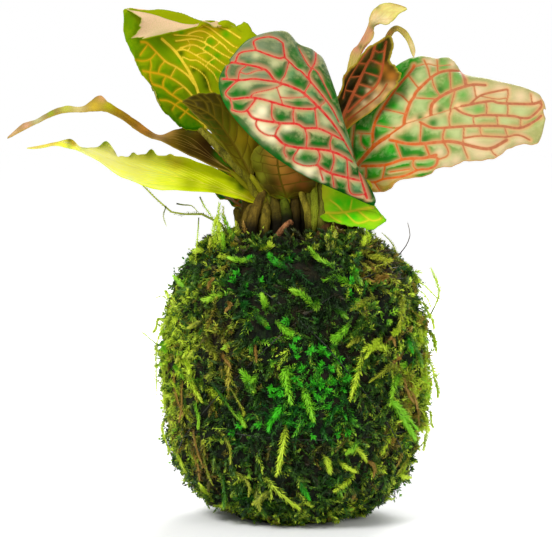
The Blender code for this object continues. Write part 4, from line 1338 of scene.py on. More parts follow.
def distance_to(points: np.ndarray, spots: np.ndarray, halves: np.ndarray) -> np.ndarray:
    """Measures how far points are from the veins.

    Args:
        points: The points.
        spots: Points along the veins.
        halves: The veins' half-widths there.

    Returns:
        How far each point is from the edge of the nearest vein, less than 0 inside one.
    """
    tree = KDTree(len(spots))
    for number, spot in enumerate(spots):
        tree.insert(spot, number)
    tree.balance()
    found = [min(far - halves[number] for _, number, far in tree.find_n(point, NEAREST)) for point in points]
    return np.array(found)


def closed_sheet(rows: int, columns: int) -> np.ndarray:
    """Joins the two sides of a sheet.

    Args:
        rows: The rows of its grids.
        columns: Their columns.

    Returns:
        Faces over the points of the upper grid and then the lower one.
    """
    number = np.arange(rows * columns).reshape(rows, columns)
    quads = np.stack([number[:-1, :-1], number[:-1, 1:], number[1:, 1:], number[1:, :-1]], axis=-1)
    upper = quads.reshape(-1, 4)
    lower = upper[:, ::-1] + rows * columns
    ring = np.concatenate([number[0, :-1], number[:-1, -1], number[-1, :0:-1], number[:0:-1, 0]])
    ahead = np.roll(ring, -1)
    wall = np.stack([ahead, ring, ring + rows * columns, ahead + rows * columns], axis=-1)
    return np.concatenate([upper, lower, wall])


# The leaves of this plant


CRIMSON = LeafFinish(
    name="red_veined_leaf", slot="leaf_red_veined",
    cell=(0.003, 0.06, 0.004), crown=(0.42, 0.42, 0.17), vein=(0.48, 0.018, 0.018), halo=(0.54, 0.22, 0.12),
    rim=(0.004, 0.12, 0.008), outer=(0.26, 0.26, 0.13), outer_share=0.25, halo_width=1.75,
    under=(0.3, 0.28, 0.06), under_vein=(0.55, 0.2, 0.08), bloom=0.85, through=0.1, gloss=0.02,
)
# Its gloss is painted: the pale crown stands in for the highlights, and the shader itself is barely glossy
GLOSSY = LeafFinish(
    name="bright_red_veined_leaf", slot="leaf_red_veined",
    cell=(0.01, 0.2, 0.005), crown=(0.44, 0.56, 0.22), vein=(0.58, 0.105, 0.006), halo=(0.6, 0.28, 0.12),
    rim=(0.6, 0.34, 0.15), outer=(0.56, 0.43, 0.19), outer_share=0.65, outer_vein=(0.38, 0.13, 0.06),
    under=(0.35, 0.42, 0.12), under_vein=(0.65, 0.3, 0.16), bloom=0.7, through=0.18, halo_width=1.5, gloss=0.02,
)
DARK_GREEN = LeafFinish(
    name="dark_green_leaf", slot="leaf_red_veined",
    cell=(0.008, 0.15, 0.004), crown=(0.03, 0.26, 0.02), vein=(0.6, 0.13, 0.02), halo=(0.3, 0.16, 0.02),
    rim=(0.3, 0.3, 0.02), outer=(0.1, 0.26, 0.03), outer_share=0.3,
    under=(0.2, 0.24, 0.03), under_vein=(0.45, 0.2, 0.05), bloom=0.4, through=0.2,
)
BRONZE = LeafFinish(
    name="bronze_leaf", slot="leaf_bronze",
    cell=(0.022, 0.018, 0.002), crown=(0.07, 0.045, 0.006), vein=(0.42, 0.085, 0.025), halo=(0.26, 0.085, 0.02),
    rim=(0.36, 0.28, 0.02), outer=(0.1, 0.07, 0.01), outer_share=0.4,
    under=(0.13, 0.1, 0.018), under_vein=(0.22, 0.17, 0.03), bloom=0.45, through=0.22, rim_width=1.3,
)
OLIVE_BROWN = LeafFinish(
    name="olive_brown_leaf", slot="leaf_bronze",
    cell=(0.038, 0.03, 0.001), crown=(0.085, 0.062, 0.003), vein=(0.12, 0.085, 0.004), halo=(0.08, 0.06, 0.003),
    rim=(0.16, 0.14, 0.006), outer=(0.035, 0.024, 0.001), outer_share=0.6,
    under=(0.1, 0.075, 0.003), under_vein=(0.14, 0.1, 0.005), bloom=0.6, through=0.15, rim_width=0.9,
)
LEMON = LeafFinish(
    name="yellow_green_leaf", slot="leaf_yellow_green",
    cell=(0.045, 0.22, 0.001), crown=(0.28, 0.38, 0.003), vein=(0.6, 0.34, 0.008), halo=(0.44, 0.35, 0.005),
    rim=(0.3, 0.38, 0.004), outer=(0.36, 0.38, 0.005), outer_share=0.3,
    right_cell=(0.3, 0.38, 0.003), right_vein=(0.84, 0.66, 0.05), under_foot=(0.42, 0.38, 0.05),
    under=(0.98, 0.66, 0.43), under_vein=(0.74, 0.58, 0.22), bloom=0.55, through=0.35, gloss=0.0, coat=0.0,
)
# Painted light: its pale lime is brighter than the leaf's own, standing in for the light that comes through it from
# behind
LIME = LeafFinish(
    name="lime_leaf", slot="leaf_yellow_green",
    cell=(0.72, 0.82, 0.004), crown=(0.92, 0.95, 0.03), vein=(0.95, 0.92, 0.08), halo=(0.9, 0.92, 0.04),
    rim=(0.66, 0.76, 0.02), outer=(0.98, 0.94, 0.62), outer_share=0.9, gloss=0.0, coat=0.0,
    under=(0.62, 0.7, 0.012), under_vein=(0.8, 0.78, 0.06), bloom=0.5, through=0.35, halo_width=0.3, covered=0.85,
)
# Painted light: its greens are brighter than the leaf's own, to make up for the front leaf's shadow on it
EMERALD = LeafFinish(
    name="fresh_green_leaf", slot="leaf_yellow_green",
    cell=(0.24, 0.62, 0.004), crown=(0.62, 0.82, 0.025), vein=(0.66, 0.62, 0.025), halo=(0.48, 0.6, 0.015),
    rim=(0.2, 0.52, 0.01), outer=(0.18, 0.56, 0.006), outer_share=0.3,
    under=(0.2, 0.52, 0.03), under_vein=(0.6, 0.6, 0.06), bloom=0.5, through=0.35,
)
RUST = LeafFinish(
    name="rusty_leaf", slot="leaf_yellow_green",
    cell=(0.1, 0.065, 0.004), crown=(0.26, 0.17, 0.02), vein=(0.44, 0.27, 0.06), halo=(0.24, 0.15, 0.02),
    rim=(0.42, 0.3, 0.04), outer=(0.62, 0.4, 0.15), outer_share=0.5,
    under=(0.15, 0.085, 0.008), under_vein=(0.42, 0.28, 0.06), bloom=0.5, through=0.25, halo_width=0.3,
    gloss=0.0, coat=0.0, covered=0.7,
)
CREAM = LeafFinish(
    name="pale_leaf", slot="leaf_pale",
    cell=(0.5, 0.46, 0.1), crown=(0.7, 0.62, 0.22), vein=(0.66, 0.52, 0.16), halo=(0.6, 0.52, 0.14),
    rim=(0.4, 0.42, 0.04), outer=(0.72, 0.66, 0.18), outer_share=0.8,
    under=(0.62, 0.27, 0.16), under_vein=(0.58, 0.13, 0.07), bloom=0.3, through=0.4, gloss=0.0, coat=0.0,
    halo_width=0.3, covered=0.8,
)


def seen(half: float, *track: Pixel) -> SeenVein:
    """A vein with this half-width through these pixels."""
    return SeenVein(track, half)


FRONT_VEINS = (
    seen(0.62, (229, 63), (237, 63), (264, 69), (276, 81), (292, 87), (307, 96), (334, 125), (355, 162),
         (367, 198)),
    seen(0.5, (256, 50), (278, 58), (285, 58), (297, 69), (304, 74), (329, 104), (339, 122)),
    seen(0.42, (235, 63), (240, 53), (256, 50)),
    seen(0.5, (285, 58), (283, 43)),
    seen(0.42, (283, 43), (275, 38), (266, 37), (254, 41), (256, 50)),
    seen(0.45, (310, 80), (309, 74), (315, 62), (316, 51)),
    seen(0.32, (299, 49), (309, 66), (318, 73), (331, 98)),
    seen(0.28, (289, 62), (285, 75), (281, 81)),
    seen(0.28, (311, 82), (304, 93)),
    seen(0.24, (326, 101), (319, 107)),
    seen(0.48, (223, 79), (242, 80), (255, 79), (277, 82)),
    seen(0.36, (242, 80), (236, 82), (226, 92), (228, 97), (233, 99)),
    seen(0.5, (233, 99), (256, 98), (290, 107), (310, 109), (318, 107)),
    seen(0.26, (250, 97), (255, 93), (272, 89), (282, 85)),
    seen(0.22, (277, 88), (283, 105)),
    seen(0.22, (280, 97), (288, 98), (306, 97)),
    seen(0.3, (246, 66), (240, 71), (238, 80)),
    seen(0.24, (240, 72), (247, 74), (256, 71), (264, 70)),
    seen(0.3, (228, 66), (226, 73), (228, 79)),
    seen(0.36, (232, 110), (240, 112), (247, 110), (256, 99)),
    seen(0.5, (247, 110), (252, 117), (260, 120), (280, 123), (297, 124), (305, 128), (320, 129), (343, 140)),
    seen(0.3, (272, 103), (272, 117), (276, 122)),
    seen(0.3, (294, 108), (293, 115), (294, 123)),
    seen(0.3, (315, 109), (317, 128)),
    seen(0.24, (230, 99), (232, 105), (232, 110)),
    seen(0.32, (257, 120), (256, 125), (260, 131), (267, 135), (275, 136)),
    seen(0.55, (275, 136), (289, 146), (330, 151), (353, 162)),
    seen(0.34, (281, 124), (277, 130), (275, 136)),
    seen(0.32, (305, 129), (307, 137), (306, 147)),
    seen(0.32, (332, 136), (330, 143), (331, 151)),
    seen(0.34, (299, 148), (293, 159), (299, 164), (308, 166), (317, 165)),
    seen(0.26, (285, 145), (284, 152), (287, 158)),
    seen(0.52, (317, 165), (330, 173), (361, 181)),
    seen(0.34, (318, 150), (320, 157), (317, 165)),
    seen(0.34, (333, 153), (334, 161), (331, 172)),
    seen(0.34, (347, 158), (348, 177)),
    seen(0.3, (319, 167), (323, 180)),
    seen(0.3, (332, 174), (334, 187)),
    seen(0.34, (348, 178), (350, 192), (357, 195), (366, 194)),
)
RIGHT_VEINS = (
    seen(0.95, (353, 170), (373, 147), (388, 136)),
    seen(0.45, (388, 136), (405, 124)),
    seen(0.14, (405, 124), (462, 106)),
    seen(0.55, (462, 106), (490, 101), (500, 103), (530, 104), (540, 102)),
    seen(0.62, (373, 147), (373, 130), (379, 114), (395, 90), (411, 71), (414, 65)),
    seen(0.68, (404, 124), (405, 117), (410, 103), (414, 97), (418, 90), (438, 73), (458, 71), (464, 77),
         (466, 85)),
    seen(0.66, (431, 115), (431, 108), (434, 102), (447, 93), (470, 85), (485, 85)),
    seen(0.42, (470, 104), (482, 95), (508, 89)),
    seen(0.3, (409, 76), (419, 89)),
    seen(0.28, (396, 93), (402, 96), (409, 103)),
    seen(0.26, (384, 109), (405, 114)),
    seen(0.26, (375, 125), (393, 128), (400, 127)),
    seen(0.24, (358, 133), (372, 134)),
    seen(0.24, (354, 126), (352, 150), (354, 160)),
    seen(0.26, (361, 134), (361, 143), (366, 149), (370, 149)),
    seen(0.28, (417, 98), (436, 99)),
    seen(0.26, (432, 77), (434, 86), (440, 96)),
    seen(0.28, (450, 71), (451, 91)),
    seen(0.3, (424, 60), (428, 69), (430, 78)),
    seen(0.28, (437, 60), (438, 73)),
    seen(0.22, (414, 67), (427, 64), (437, 66), (450, 65)),
    seen(0.3, (455, 91), (450, 109)),
    seen(0.28, (474, 86), (476, 98)),
    seen(0.3, (508, 89), (508, 96), (506, 103)),
    seen(0.26, (531, 95), (532, 104)),
    seen(0.22, (480, 96), (497, 99), (506, 98)),
    seen(0.62, (390, 140), (412, 144), (440, 142), (455, 142), (480, 148), (492, 148), (507, 140)),
    seen(0.58, (362, 166), (385, 165), (405, 159), (424, 158), (436, 155)),
    seen(0.34, (396, 144), (402, 160)),
    seen(0.4, (425, 144), (430, 157)),
    seen(0.52, (420, 122), (430, 127), (440, 128), (470, 126), (500, 126), (520, 128), (535, 121), (541, 116)),
    seen(0.48, (455, 108), (463, 113), (474, 116), (485, 115), (512, 116), (522, 118), (531, 117), (541, 107),
         (541, 101)),
    seen(0.3, (421, 124), (420, 144)),
    seen(0.34, (445, 128), (443, 135), (443, 142)),
    seen(0.3, (464, 127), (463, 144)),
    seen(0.28, (451, 110), (449, 118), (450, 127)),
    seen(0.28, (473, 116), (474, 126)),
    seen(0.28, (497, 116), (498, 126)),
    seen(0.28, (486, 102), (487, 109), (486, 115)),
    seen(0.3, (507, 103), (508, 109), (507, 116)),
    seen(0.26, (521, 119), (520, 127)),
    seen(0.36, (464, 138), (480, 136), (505, 137), (515, 135), (522, 136), (530, 140)),
    seen(0.26, (480, 127), (481, 136)),
    seen(0.26, (505, 127), (507, 136)),
    seen(0.3, (462, 143), (468, 158)),
    seen(0.3, (444, 143), (448, 150), (447, 156), (437, 160)),
    seen(0.26, (490, 148), (493, 153), (497, 156)),
    seen(0.46, (364, 182), (375, 182), (384, 179), (404, 176), (418, 170), (428, 169), (436, 165), (437, 158),
         (430, 157)),
    seen(0.34, (366, 167), (366, 175), (364, 182)),
    seen(0.32, (385, 166), (382, 180)),
    seen(0.34, (414, 159), (413, 165), (416, 170)),
    seen(0.26, (390, 172), (410, 169)),
    seen(0.32, (374, 182), (380, 191)),
)
BRONZE_VEINS = (
    seen(0.6, (341, 124), (345, 112), (366, 66), (371, 58), (377, 40), (381, 34)),
    seen(0.3, (343, 98), (349, 79), (370, 46)),
    seen(0.24, (339, 92), (342, 82), (353, 63)),
    seen(0.48, (348, 112), (363, 98), (376, 86), (382, 71), (386, 42)),
    seen(0.3, (374, 50), (379, 52), (384, 51)),
    seen(0.3, (371, 60), (383, 65)),
    seen(0.28, (364, 72), (380, 77)),
    seen(0.28, (359, 84), (372, 88)),
    seen(0.28, (354, 94), (360, 97), (364, 97)),
    seen(0.26, (362, 76), (351, 77)),
    seen(0.26, (354, 92), (345, 90)),
    seen(0.26, (367, 64), (358, 63)),
    seen(0.34, (348, 120), (374, 100), (382, 92), (387, 84)),
)
LEMON_VEINS = (
    seen(0.62, (206, 130), (196, 86), (178, 55), (162, 39)),
    seen(0.46, (141, 42), (148, 44), (165, 61), (176, 67), (187, 75), (194, 84)),
    seen(0.44, (143, 71), (166, 76), (184, 87), (199, 104)),
    seen(0.42, (152, 84), (163, 88), (172, 95), (201, 114)),
    seen(0.36, (160, 100), (172, 103), (203, 124)),
    seen(0.3, (156, 53), (150, 59), (143, 61), (136, 60)),
    seen(0.3, (165, 61), (160, 67), (158, 74)),
    seen(0.28, (176, 67), (170, 78)),
    seen(0.28, (148, 44), (140, 55)),
    seen(0.26, (150, 59), (151, 66), (149, 73)),
    seen(0.28, (166, 76), (163, 82), (163, 88)),
    seen(0.28, (184, 87), (177, 90), (172, 95)),
    seen(0.26, (152, 84), (150, 79), (150, 73)),
    seen(0.26, (181, 101), (176, 104), (172, 110)),
    seen(0.26, (190, 107), (180, 118)),
    seen(0.4, (176, 41), (198, 40), (224, 55)),
    seen(0.4, (180, 48), (194, 45), (208, 53), (222, 63)),
    seen(0.4, (178, 50), (188, 51), (213, 66)),
    seen(0.4, (188, 34), (198, 31), (207, 33), (222, 44), (230, 52)),
    seen(0.4, (200, 27), (208, 27), (233, 46)),
    seen(0.4, (218, 27), (226, 29), (240, 38)),
    seen(0.36, (183, 57), (190, 60), (198, 61), (212, 72), (217, 80)),
    seen(0.3, (174, 35), (194, 36), (203, 38)),
    seen(0.3, (190, 66), (198, 70), (206, 78), (210, 90)),
    seen(0.26, (205, 44), (207, 38), (212, 36)),
    seen(0.26, (213, 48), (219, 43)),
    seen(0.26, (200, 48), (205, 47), (206, 44)),
    seen(0.26, (196, 55), (202, 53), (208, 53)),
    seen(0.26, (188, 51), (190, 46), (188, 40)),
    seen(0.26, (206, 66), (210, 61), (215, 58)),
    seen(0.36, (233, 46), (243, 50), (252, 54)),
    seen(0.36, (230, 52), (240, 57), (250, 63)),
    seen(0.36, (224, 55), (236, 61), (247, 69)),
    seen(0.36, (222, 63), (234, 70), (245, 79)),
    seen(0.36, (213, 66), (226, 76), (240, 90)),
    seen(0.32, (217, 80), (226, 90), (234, 102)),
    seen(0.3, (210, 90), (216, 98), (223, 108)),
    seen(0.26, (236, 61), (231, 68), (228, 78)),
    seen(0.26, (240, 57), (244, 66)),
)
FRESH_VEINS = (
    seen(0.55, (312, 212), (340, 213), (374, 207)),
    seen(0.36, (357, 210), (370, 220), (378, 220), (382, 217)),
    seen(0.3, (345, 213), (357, 223), (370, 220)),
    seen(0.3, (330, 200), (338, 206), (343, 212)),
    seen(0.28, (328, 213), (333, 218), (340, 222)),
    seen(0.26, (352, 200), (350, 211)),
)


def plant_leaves() -> list[Leaf]:
    """Lists the leaves of the plant.

    Returns:
        Them all, from the front of the plant to its back.
    """
    return [
        Leaf(
            "leaf_front", "stem_right", 0.97, CRIMSON, grade=Leafing.LARGE,
            stalk=[(19, -5, 129), (25, -10, 130.5)],
            rib=[(28.5, -17, 129), (22.4, -24, 139.5), (16.9, -28, 150.5), (8.3, -32, 161.5),
                 (-4.3, -34, 170), (-14.5, -35, 177), (-26.3, -33, 178)],
            left=[(30.2, -19, 123.3), (21, -24, 127), (11, -28, 131.5), (1.5, -32.5, 136.2), (-7.9, -37, 142.3),
                  (-16, -41.5, 149.3), (-22.5, -44, 156.5), (-27.3, -44, 163.9), (-29, -41, 171)],
            right=[(24, -12, 133), (20, -10, 143), (15.5, -11, 155), (13.4, -14, 169.8), (9, -15, 181),
                   (1, -17, 185.5), (-4.5, -20, 190.5), (-17.7, -28, 187)],
            puff=0.6, wave=0.4, seen=FRONT_VEINS, pattern=None, relief=0.85, scallop=0.0, vein_share=0.9, girth=1.8,
            stains=(
                *daubs((0.15, 0.19, 0.1), 0.85, (224, 72, 6), (230, 60, 6), (238, 49, 7), (248, 41, 7),
                       (260, 35, 6), (275, 34, 6), (262, 46, 8), (276, 48, 7), (250, 58, 7), (262, 76, 8),
                       (246, 74, 7), (285, 45, 5), (300, 52, 5), (318, 55, 6)),
                *daubs((0.1, 0.24, 0.09), 0.8, (340, 165, 6), (357, 187, 6), (310, 116, 7), (345, 142, 8),
                       (336, 118, 7), (325, 108, 5), (290, 74, 6), (308, 95, 6), (352, 160, 6)),
                # These two groups of pale patches: partly the leaf's own silvery tone, partly painted sheen where
                # cells face the light
                *daubs((0.48, 0.46, 0.23), 0.85, (242, 88, 6), (280, 92, 9), (268, 98, 6), (326, 121, 6),
                       (300, 70, 4), (256, 55, 4), (275, 64, 5), (246, 83, 5), (300, 96, 6)),
                *daubs((0.78, 0.68, 0.43), 0.9, (262, 111, 7), (262, 128, 8), (272, 137, 7), (308, 171, 8),
                       (300, 165, 5), (287, 127, 5), (299, 151, 4), (255, 119, 6), (297, 172, 5), (322, 178, 4)),
                # Deep green cell cores; along the left margin they also paint the shade that darkens that edge
                *daubs((0.003, 0.11, 0.006), 0.95, (305, 157, 8), (327, 162, 6), (318, 142, 6), (331, 141, 4),
                       (288, 138, 6), (298, 142, 5), (281, 118, 6), (236, 94, 9), (226, 85, 7), (237, 106, 6),
                       (223, 76, 4), (224, 70, 3), (231, 83, 4), (240, 107, 4), (228, 103, 5), (298, 83, 7),
                       (306, 89, 4), (279, 73, 6), (295, 53, 6), (300, 66, 6), (314, 72, 5), (326, 86, 8),
                       (333, 98, 7), (298, 103, 6), (328, 178, 4), (341, 184, 5), (292, 152, 4), (248, 64, 4),
                       (272, 112, 3), (244, 93, 4)),
                *daubs((0.003, 0.11, 0.006), 0.95, (226, 108, 5), (235, 119, 5), (245, 130, 5), (255, 141, 5),
                       (267, 149, 5), (279, 158, 6), (288, 168, 6), (300, 176, 5), (315, 182, 5), (330, 190, 5),
                       (345, 198, 4), (358, 203, 4), (370, 207, 4), (221, 95, 4)),
            ),
        ),
        Leaf(
            "leaf_right", "stem_right", 0.9, GLOSSY, grade=Leafing.LARGE,
            stalk=[(17, 2, 128), (20, 3.5, 132)],
            rib=[(22.4, 3, 135.6), (30.7, 1, 147.4), (39.3, 0, 153.3), (49, 0, 158.8), (61, 2, 163),
                 (72.7, 4, 165.8), (85.5, 6, 165.3), (99.5, 8, 159)],
            left=[(19.5, 14, 156), (30, 19, 168.6), (42.7, 20, 178.4), (49.9, 19.5, 181.2), (56.9, 18, 180.8),
                  (62.4, 17, 179.6), (65.5, 15.5, 176.4), (71, 14, 171.6), (80, 12, 169.3), (89, 11, 166.9),
                  (97.2, 10, 164.5)],
            right=[(28.4, -4, 128.7), (33, -6, 128), (37.2, -8, 129.3), (39.9, -9, 132.4), (46.4, -10, 133.6),
                   (52.3, -10, 135.2), (56.1, -10, 137.5), (62, -9, 138.2), (66.7, -8, 140.5), (73.1, -6, 140.1),
                   (78.7, -4, 141.6), (83.7, -1, 144.6), (88.6, 2, 146.5), (93.7, 5, 146.1), (97, 7, 148.8)],
            puff=1.2, wave=0.6, waves=4.5, seen=RIGHT_VEINS, pattern=None, relief=0.8, scallop=0.008, girth=1.8,
            stains=(
                *daubs((0.7, 0.5, 0.3), 0.8, (478, 92, 9), (500, 91, 9), (520, 97, 8), (480, 151, 12),
                       (500, 147, 9), (456, 161, 8), (440, 152, 6), (470, 141, 8), (430, 62, 7), (452, 64, 6),
                       (535, 100, 6), (445, 166, 6), (520, 140, 7), (465, 70, 5)),
                *daubs((0.88, 0.5, 0.26), 0.9, (376, 147, 4), (383, 141, 5), (391, 135, 5), (399, 129, 6),
                       (408, 124, 6), (418, 120, 6), (428, 117, 5), (438, 114, 5), (448, 111, 5), (458, 107, 5),
                       (412, 97, 4), (409, 106, 4), (421, 87, 4), (434, 107, 4)),
                *daubs((0.46, 0.51, 0.22), 0.8, (420, 76, 7), (412, 90, 8), (400, 103, 8), (396, 121, 7),
                       (420, 106, 8), (440, 124, 9), (470, 119, 9), (500, 108, 9), (520, 112, 8), (416, 130, 6),
                       (456, 134, 7), (505, 122, 6), (432, 78, 5)),
                *daubs((0.12, 0.33, 0.06), 0.85, (447, 84, 5), (458, 77, 5), (441, 98, 5), (448, 106, 5),
                       (463, 95, 5), (478, 109, 5), (429, 97, 4), (444, 66, 5), (534, 121, 5), (430, 164, 5)),
                *daubs((0.015, 0.14, 0.012), 0.9, (408, 140, 6), (425, 140, 5), (433, 123, 5), (406, 153, 7),
                       (388, 158, 7), (421, 156, 4), (440, 111, 4), (420, 118, 4), (376, 135, 5), (357, 150, 6),
                       (372, 125, 6), (440, 90, 4)),
                *daubs((0.008, 0.32, 0.004), 0.9, (384, 128, 6), (366, 141, 6), (396, 70, 6), (402, 77, 5),
                       (386, 93, 6), (394, 105, 5), (374, 171, 5), (396, 88, 5), (390, 150, 5), (362, 157, 5)),
                *daubs((0.52, 0.26, 0.05), 0.85, (380, 188, 8), (392, 184, 6), (369, 188, 6), (410, 176, 6)),
            ),
        ),
        Leaf(
            "leaf_back_mid", "stem_back", 0.97, BRONZE,
            stalk=[(12, 10, 140), (16.5, 5.5, 147)],
            rib=[(18.9, 4, 152), (20.8, 6, 159.2), (24.8, 7, 167), (28.7, 7, 174.9), (33.4, 6, 182.8),
                 (37, 4, 189.4)],
            left=[(15.3, 2, 160.7), (18.5, 1, 169.8), (22.4, 1, 177.2), (29.5, 2, 184.3)],
            right=[(30, 1, 160), (39, 0, 168), (40.5, 0, 174.9), (37, 1, 180.4), (38.5, 2, 186.5)],
            puff=0.4, seen=BRONZE_VEINS, pattern=None,
            stains=(
                *daubs((0.62, 0.36, 0.12), 0.9, (385, 96, 7), (372, 106, 7), (360, 113, 7), (378, 88, 5),
                       (391, 86, 5)),
                *daubs((0.46, 0.17, 0.02), 0.85, (352, 121, 7), (345, 124, 5), (392, 76, 6), (384, 68, 5),
                       (370, 118, 5)),
                *daubs((0.62, 0.44, 0.22), 0.8, (376, 97, 4), (368, 91, 3), (371, 81, 2), (364, 103, 3),
                       (384, 104, 3)),
                *daubs((0.01, 0.07, 0.004), 0.9, (368, 70, 5), (362, 91, 4), (379, 45, 4), (380, 57, 4),
                       (372, 79, 4), (376, 71, 4)),
                # Painted shade: near black where the cupped leaf folds into shade
                *daubs((0.006, 0.004, 0.001), 0.8, (350, 88, 8), (345, 106, 7), (358, 74, 6)),
            ),
        ),
        Leaf(
            "leaf_back_tall", "stem_back", 0.86, CREAM, grade=Leafing.SMALL,
            stalk=[(11, 21, 138), (14, 24, 144)],
            rib=[(17, 25, 150), (19.5, 28, 164), (23.5, 28, 177), (28, 27, 188), (33, 25, 196),
                 (39, 22, 200.5), (45, 19, 200)],
            left=[(19.6, 34, 163.7), (22.1, 36, 179), (26, 34, 186.6), (29.9, 29, 194.1), (31.7, 26, 200),
                  (38, 22, 202.3)],
            right=[(24, 21, 167.7), (26.8, 21, 182), (30.4, 22, 188.4), (32.4, 21, 193.1), (37.1, 20, 194.3),
                   (41.8, 19, 197.8)],
            puff=0.4, relief=0.25, pattern=VeinPattern(ribs=9, ties=2, rib_half=0.25, tie_half=0.15),
            stains=(
                *daubs((0.66, 0.3, 0.2), 0.9, (364, 38, 8), (357, 48, 7), (370, 30, 5)),
                *daubs((0.16, 0.16, 0.03), 0.9, (374, 26, 4), (378, 7, 3), (361, 47, 2.5)),
                *daubs((0.82, 0.74, 0.46), 0.8, (376, 18, 6), (386, 20, 6)),
                *daubs((0.76, 0.8, 0.28), 0.8, (388, 8, 8), (400, 9, 6)),
            ),
        ),
        Leaf(
            "leaf_back_curl", "stem_back", 0.78, CREAM, grade=Leafing.SMALL,
            stalk=[(15, 21, 136), (22, 28, 147)],
            rib=[(27, 31, 157), (29.6, 32, 167.3), (33.3, 33, 177.8), (36.1, 33, 185.8), (38.4, 32, 190.6),
                 (41.2, 30.5, 192.6), (44.3, 29, 190.1), (46.5, 28.5, 186.5), (47.7, 28, 182.9), (47.9, 27, 180.5)],
            left=[(28.9, 34, 167.7), (32.2, 36, 178.2), (35.4, 35, 186.2), (37.7, 33, 191.4), (40.8, 31, 193.6),
                  (44.7, 29.5, 191.7), (47.3, 29, 187.7), (48.5, 28.5, 183.7)],
            right=[(30.3, 28, 166.9), (33.9, 28, 177.3), (36.7, 29, 184.9), (38.8, 30, 189.4), (41.1, 29.5, 191.3),
                   (43.9, 28.5, 188.9), (45.7, 28, 185.7), (46.9, 27.5, 182.5)],
            puff=0.1, wave=0.1, relief=0.2, pattern=VeinPattern(ribs=8, ties=2, rib_half=0.25, tie_half=0.15),
            stains=(
                *daubs((0.74, 0.76, 0.16), 0.9, (400, 28, 5), (408, 36, 4)),
                *daubs((0.2, 0.26, 0.04), 0.9, (394, 27, 4)),
                *daubs((0.86, 0.8, 0.44), 0.8, (412, 46, 5), (414, 55, 4)),
            ),
        ),
        Leaf(
            "leaf_back_left", "stem_centre", 0.9, LEMON, grade=Leafing.WIDE,
            stalk=[(-11, 6, 131), (-24, 4, 142)],
            rib=[(-36, 4, 152), (-41.3, 5, 162), (-46, 6, 173.7), (-53, 6, 186.7), (-60, 4, 196),
                 (-67, 0, 199.5)],
            left=[(-43.5, 2, 152.5), (-50.5, 0, 158.5), (-55.5, 0, 168), (-62, 0, 178), (-66.5, 0, 189)],
            crest=[(-30, 8, 153), (-20, 12, 164), (-15, 14, 180), (-21, 14, 190), (-32, 12, 194),
                   (-43, 10, 194.5), (-54, 6, 197.5)],
            right=[(-26, 9, 151), (-15, 13, 163), (-10, 15, 180), (-18, 15, 191.5), (-31, 10, 193),
                   (-44, 2, 191.5), (-62, -1.5, 187.5), (-60, -1, 195)],
            puff=0.6, wave=0.5, waves=4.5, relief=0.5, seen=LEMON_VEINS, pattern=None, scallops=15.0, scallop=0.02,
            vein_share=0.85, girth=1.9,
            bumps=((0.47, 2.0, 0.012), (0.54, 2.2, 0.013), (0.61, 2.0, 0.012), (0.505, -0.8, 0.01),
                   (0.575, -0.8, 0.01)),
            stains=(
                *daubs((0.08, 0.34, 0.002), 0.85, (181, 33, 3), (210, 41, 4), (206, 48, 4), (217, 56, 4),
                       (211, 62, 3), (226, 34, 4), (216, 75, 4), (180, 60, 4), (187, 58, 3)),
                # Painted shade: near black along the crease of the fold
                *daubs((0.03, 0.055, 0.002), 0.9, (203, 74, 4), (205, 80, 4), (207, 86, 4), (181, 53, 3),
                       (194, 70, 3)),
                *daubs((0.62, 0.48, 0.004), 0.7, (200, 30, 5), (190, 42, 5), (190, 55, 5), (200, 58, 4),
                       (216, 29, 4), (210, 34, 4)),
                Stain((162, 45), 16, (0.05, 0.22, 0.001), 0.5), Stain((195, 90), 12, (0.06, 0.17, 0.002), 0.6),
                Stain((190, 118), 12, (0.04, 0.15, 0.002), 0.6), Stain((170, 105), 12, (0.24, 0.24, 0.002), 0.5),
                Stain((150, 60), 14, (0.3, 0.34, 0.002), 0.4), Stain((148, 80), 10, (0.42, 0.36, 0.003), 0.5),
            ),
        ),
        Leaf(
            "leaf_mid_inner", "stem_left", 0.97, OLIVE_BROWN,
            stalk=[(-13, -9, 128)],
            rib=[(-17, -13, 134.4), (-24.8, -16, 148.2), (-32.6, -17, 158), (-44, -16, 163.5)],
            left=[(-24, -18, 141), (-31, -20, 150), (-38.5, -19, 158)],
            right=[(-12.5, -10, 148), (-19, -10, 160), (-28, -12, 165.8), (-37, -14, 166.4)],
            puff=0.5, wave=0.3, relief=0.3, girth=1.9,
            pattern=VeinPattern(ribs=8, ties=1, rib_half=0.16, tie_half=0.1, middle_half=0.5),
            stains=(
                Stain((232, 128), 16, (0.1, 0.11, 0.003), 0.7), Stain((244, 140), 14, (0.24, 0.17, 0.006), 0.8),
                Stain((240, 160), 15, (0.17, 0.15, 0.005), 0.9), Stain((206, 126), 9, (0.035, 0.09, 0.004), 0.6),
                Stain((217, 136), 8, (0.04, 0.08, 0.003), 0.6), Stain((222, 112), 9, (0.06, 0.06, 0.002), 0.5),
            ),
        ),
        Leaf(
            "leaf_left_upper", "stem_left", 0.82, RUST, grade=Leafing.LARGE,
            stalk=[(-14, -3.5, 124.5)],
            rib=[(-24.7, -5, 135.8), (-31.6, -6, 140.5), (-38.6, -6.5, 145.2), (-45.6, -7, 148.3),
                 (-52.6, -8, 149.3), (-57.6, -9, 151.4), (-62.5, -10, 154.5), (-67.5, -11, 158),
                 (-72.4, -12, 160.7), (-77.4, -12.5, 161.1), (-82.4, -13, 160.4), (-88.6, -13.5, 160),
                 (-94.7, -14, 158.1), (-100.5, -14, 155.2), (-105.5, -14, 153), (-112.9, -14, 148)],
            left=[(-31.6, -9, 137.8), (-38.5, -12, 141.4), (-45.3, -15, 144.6), (-52.1, -18, 148.3),
                  (-57, -19.5, 150.1), (-61.9, -21, 152.8), (-66.8, -22.5, 157), (-71.7, -24, 159.3),
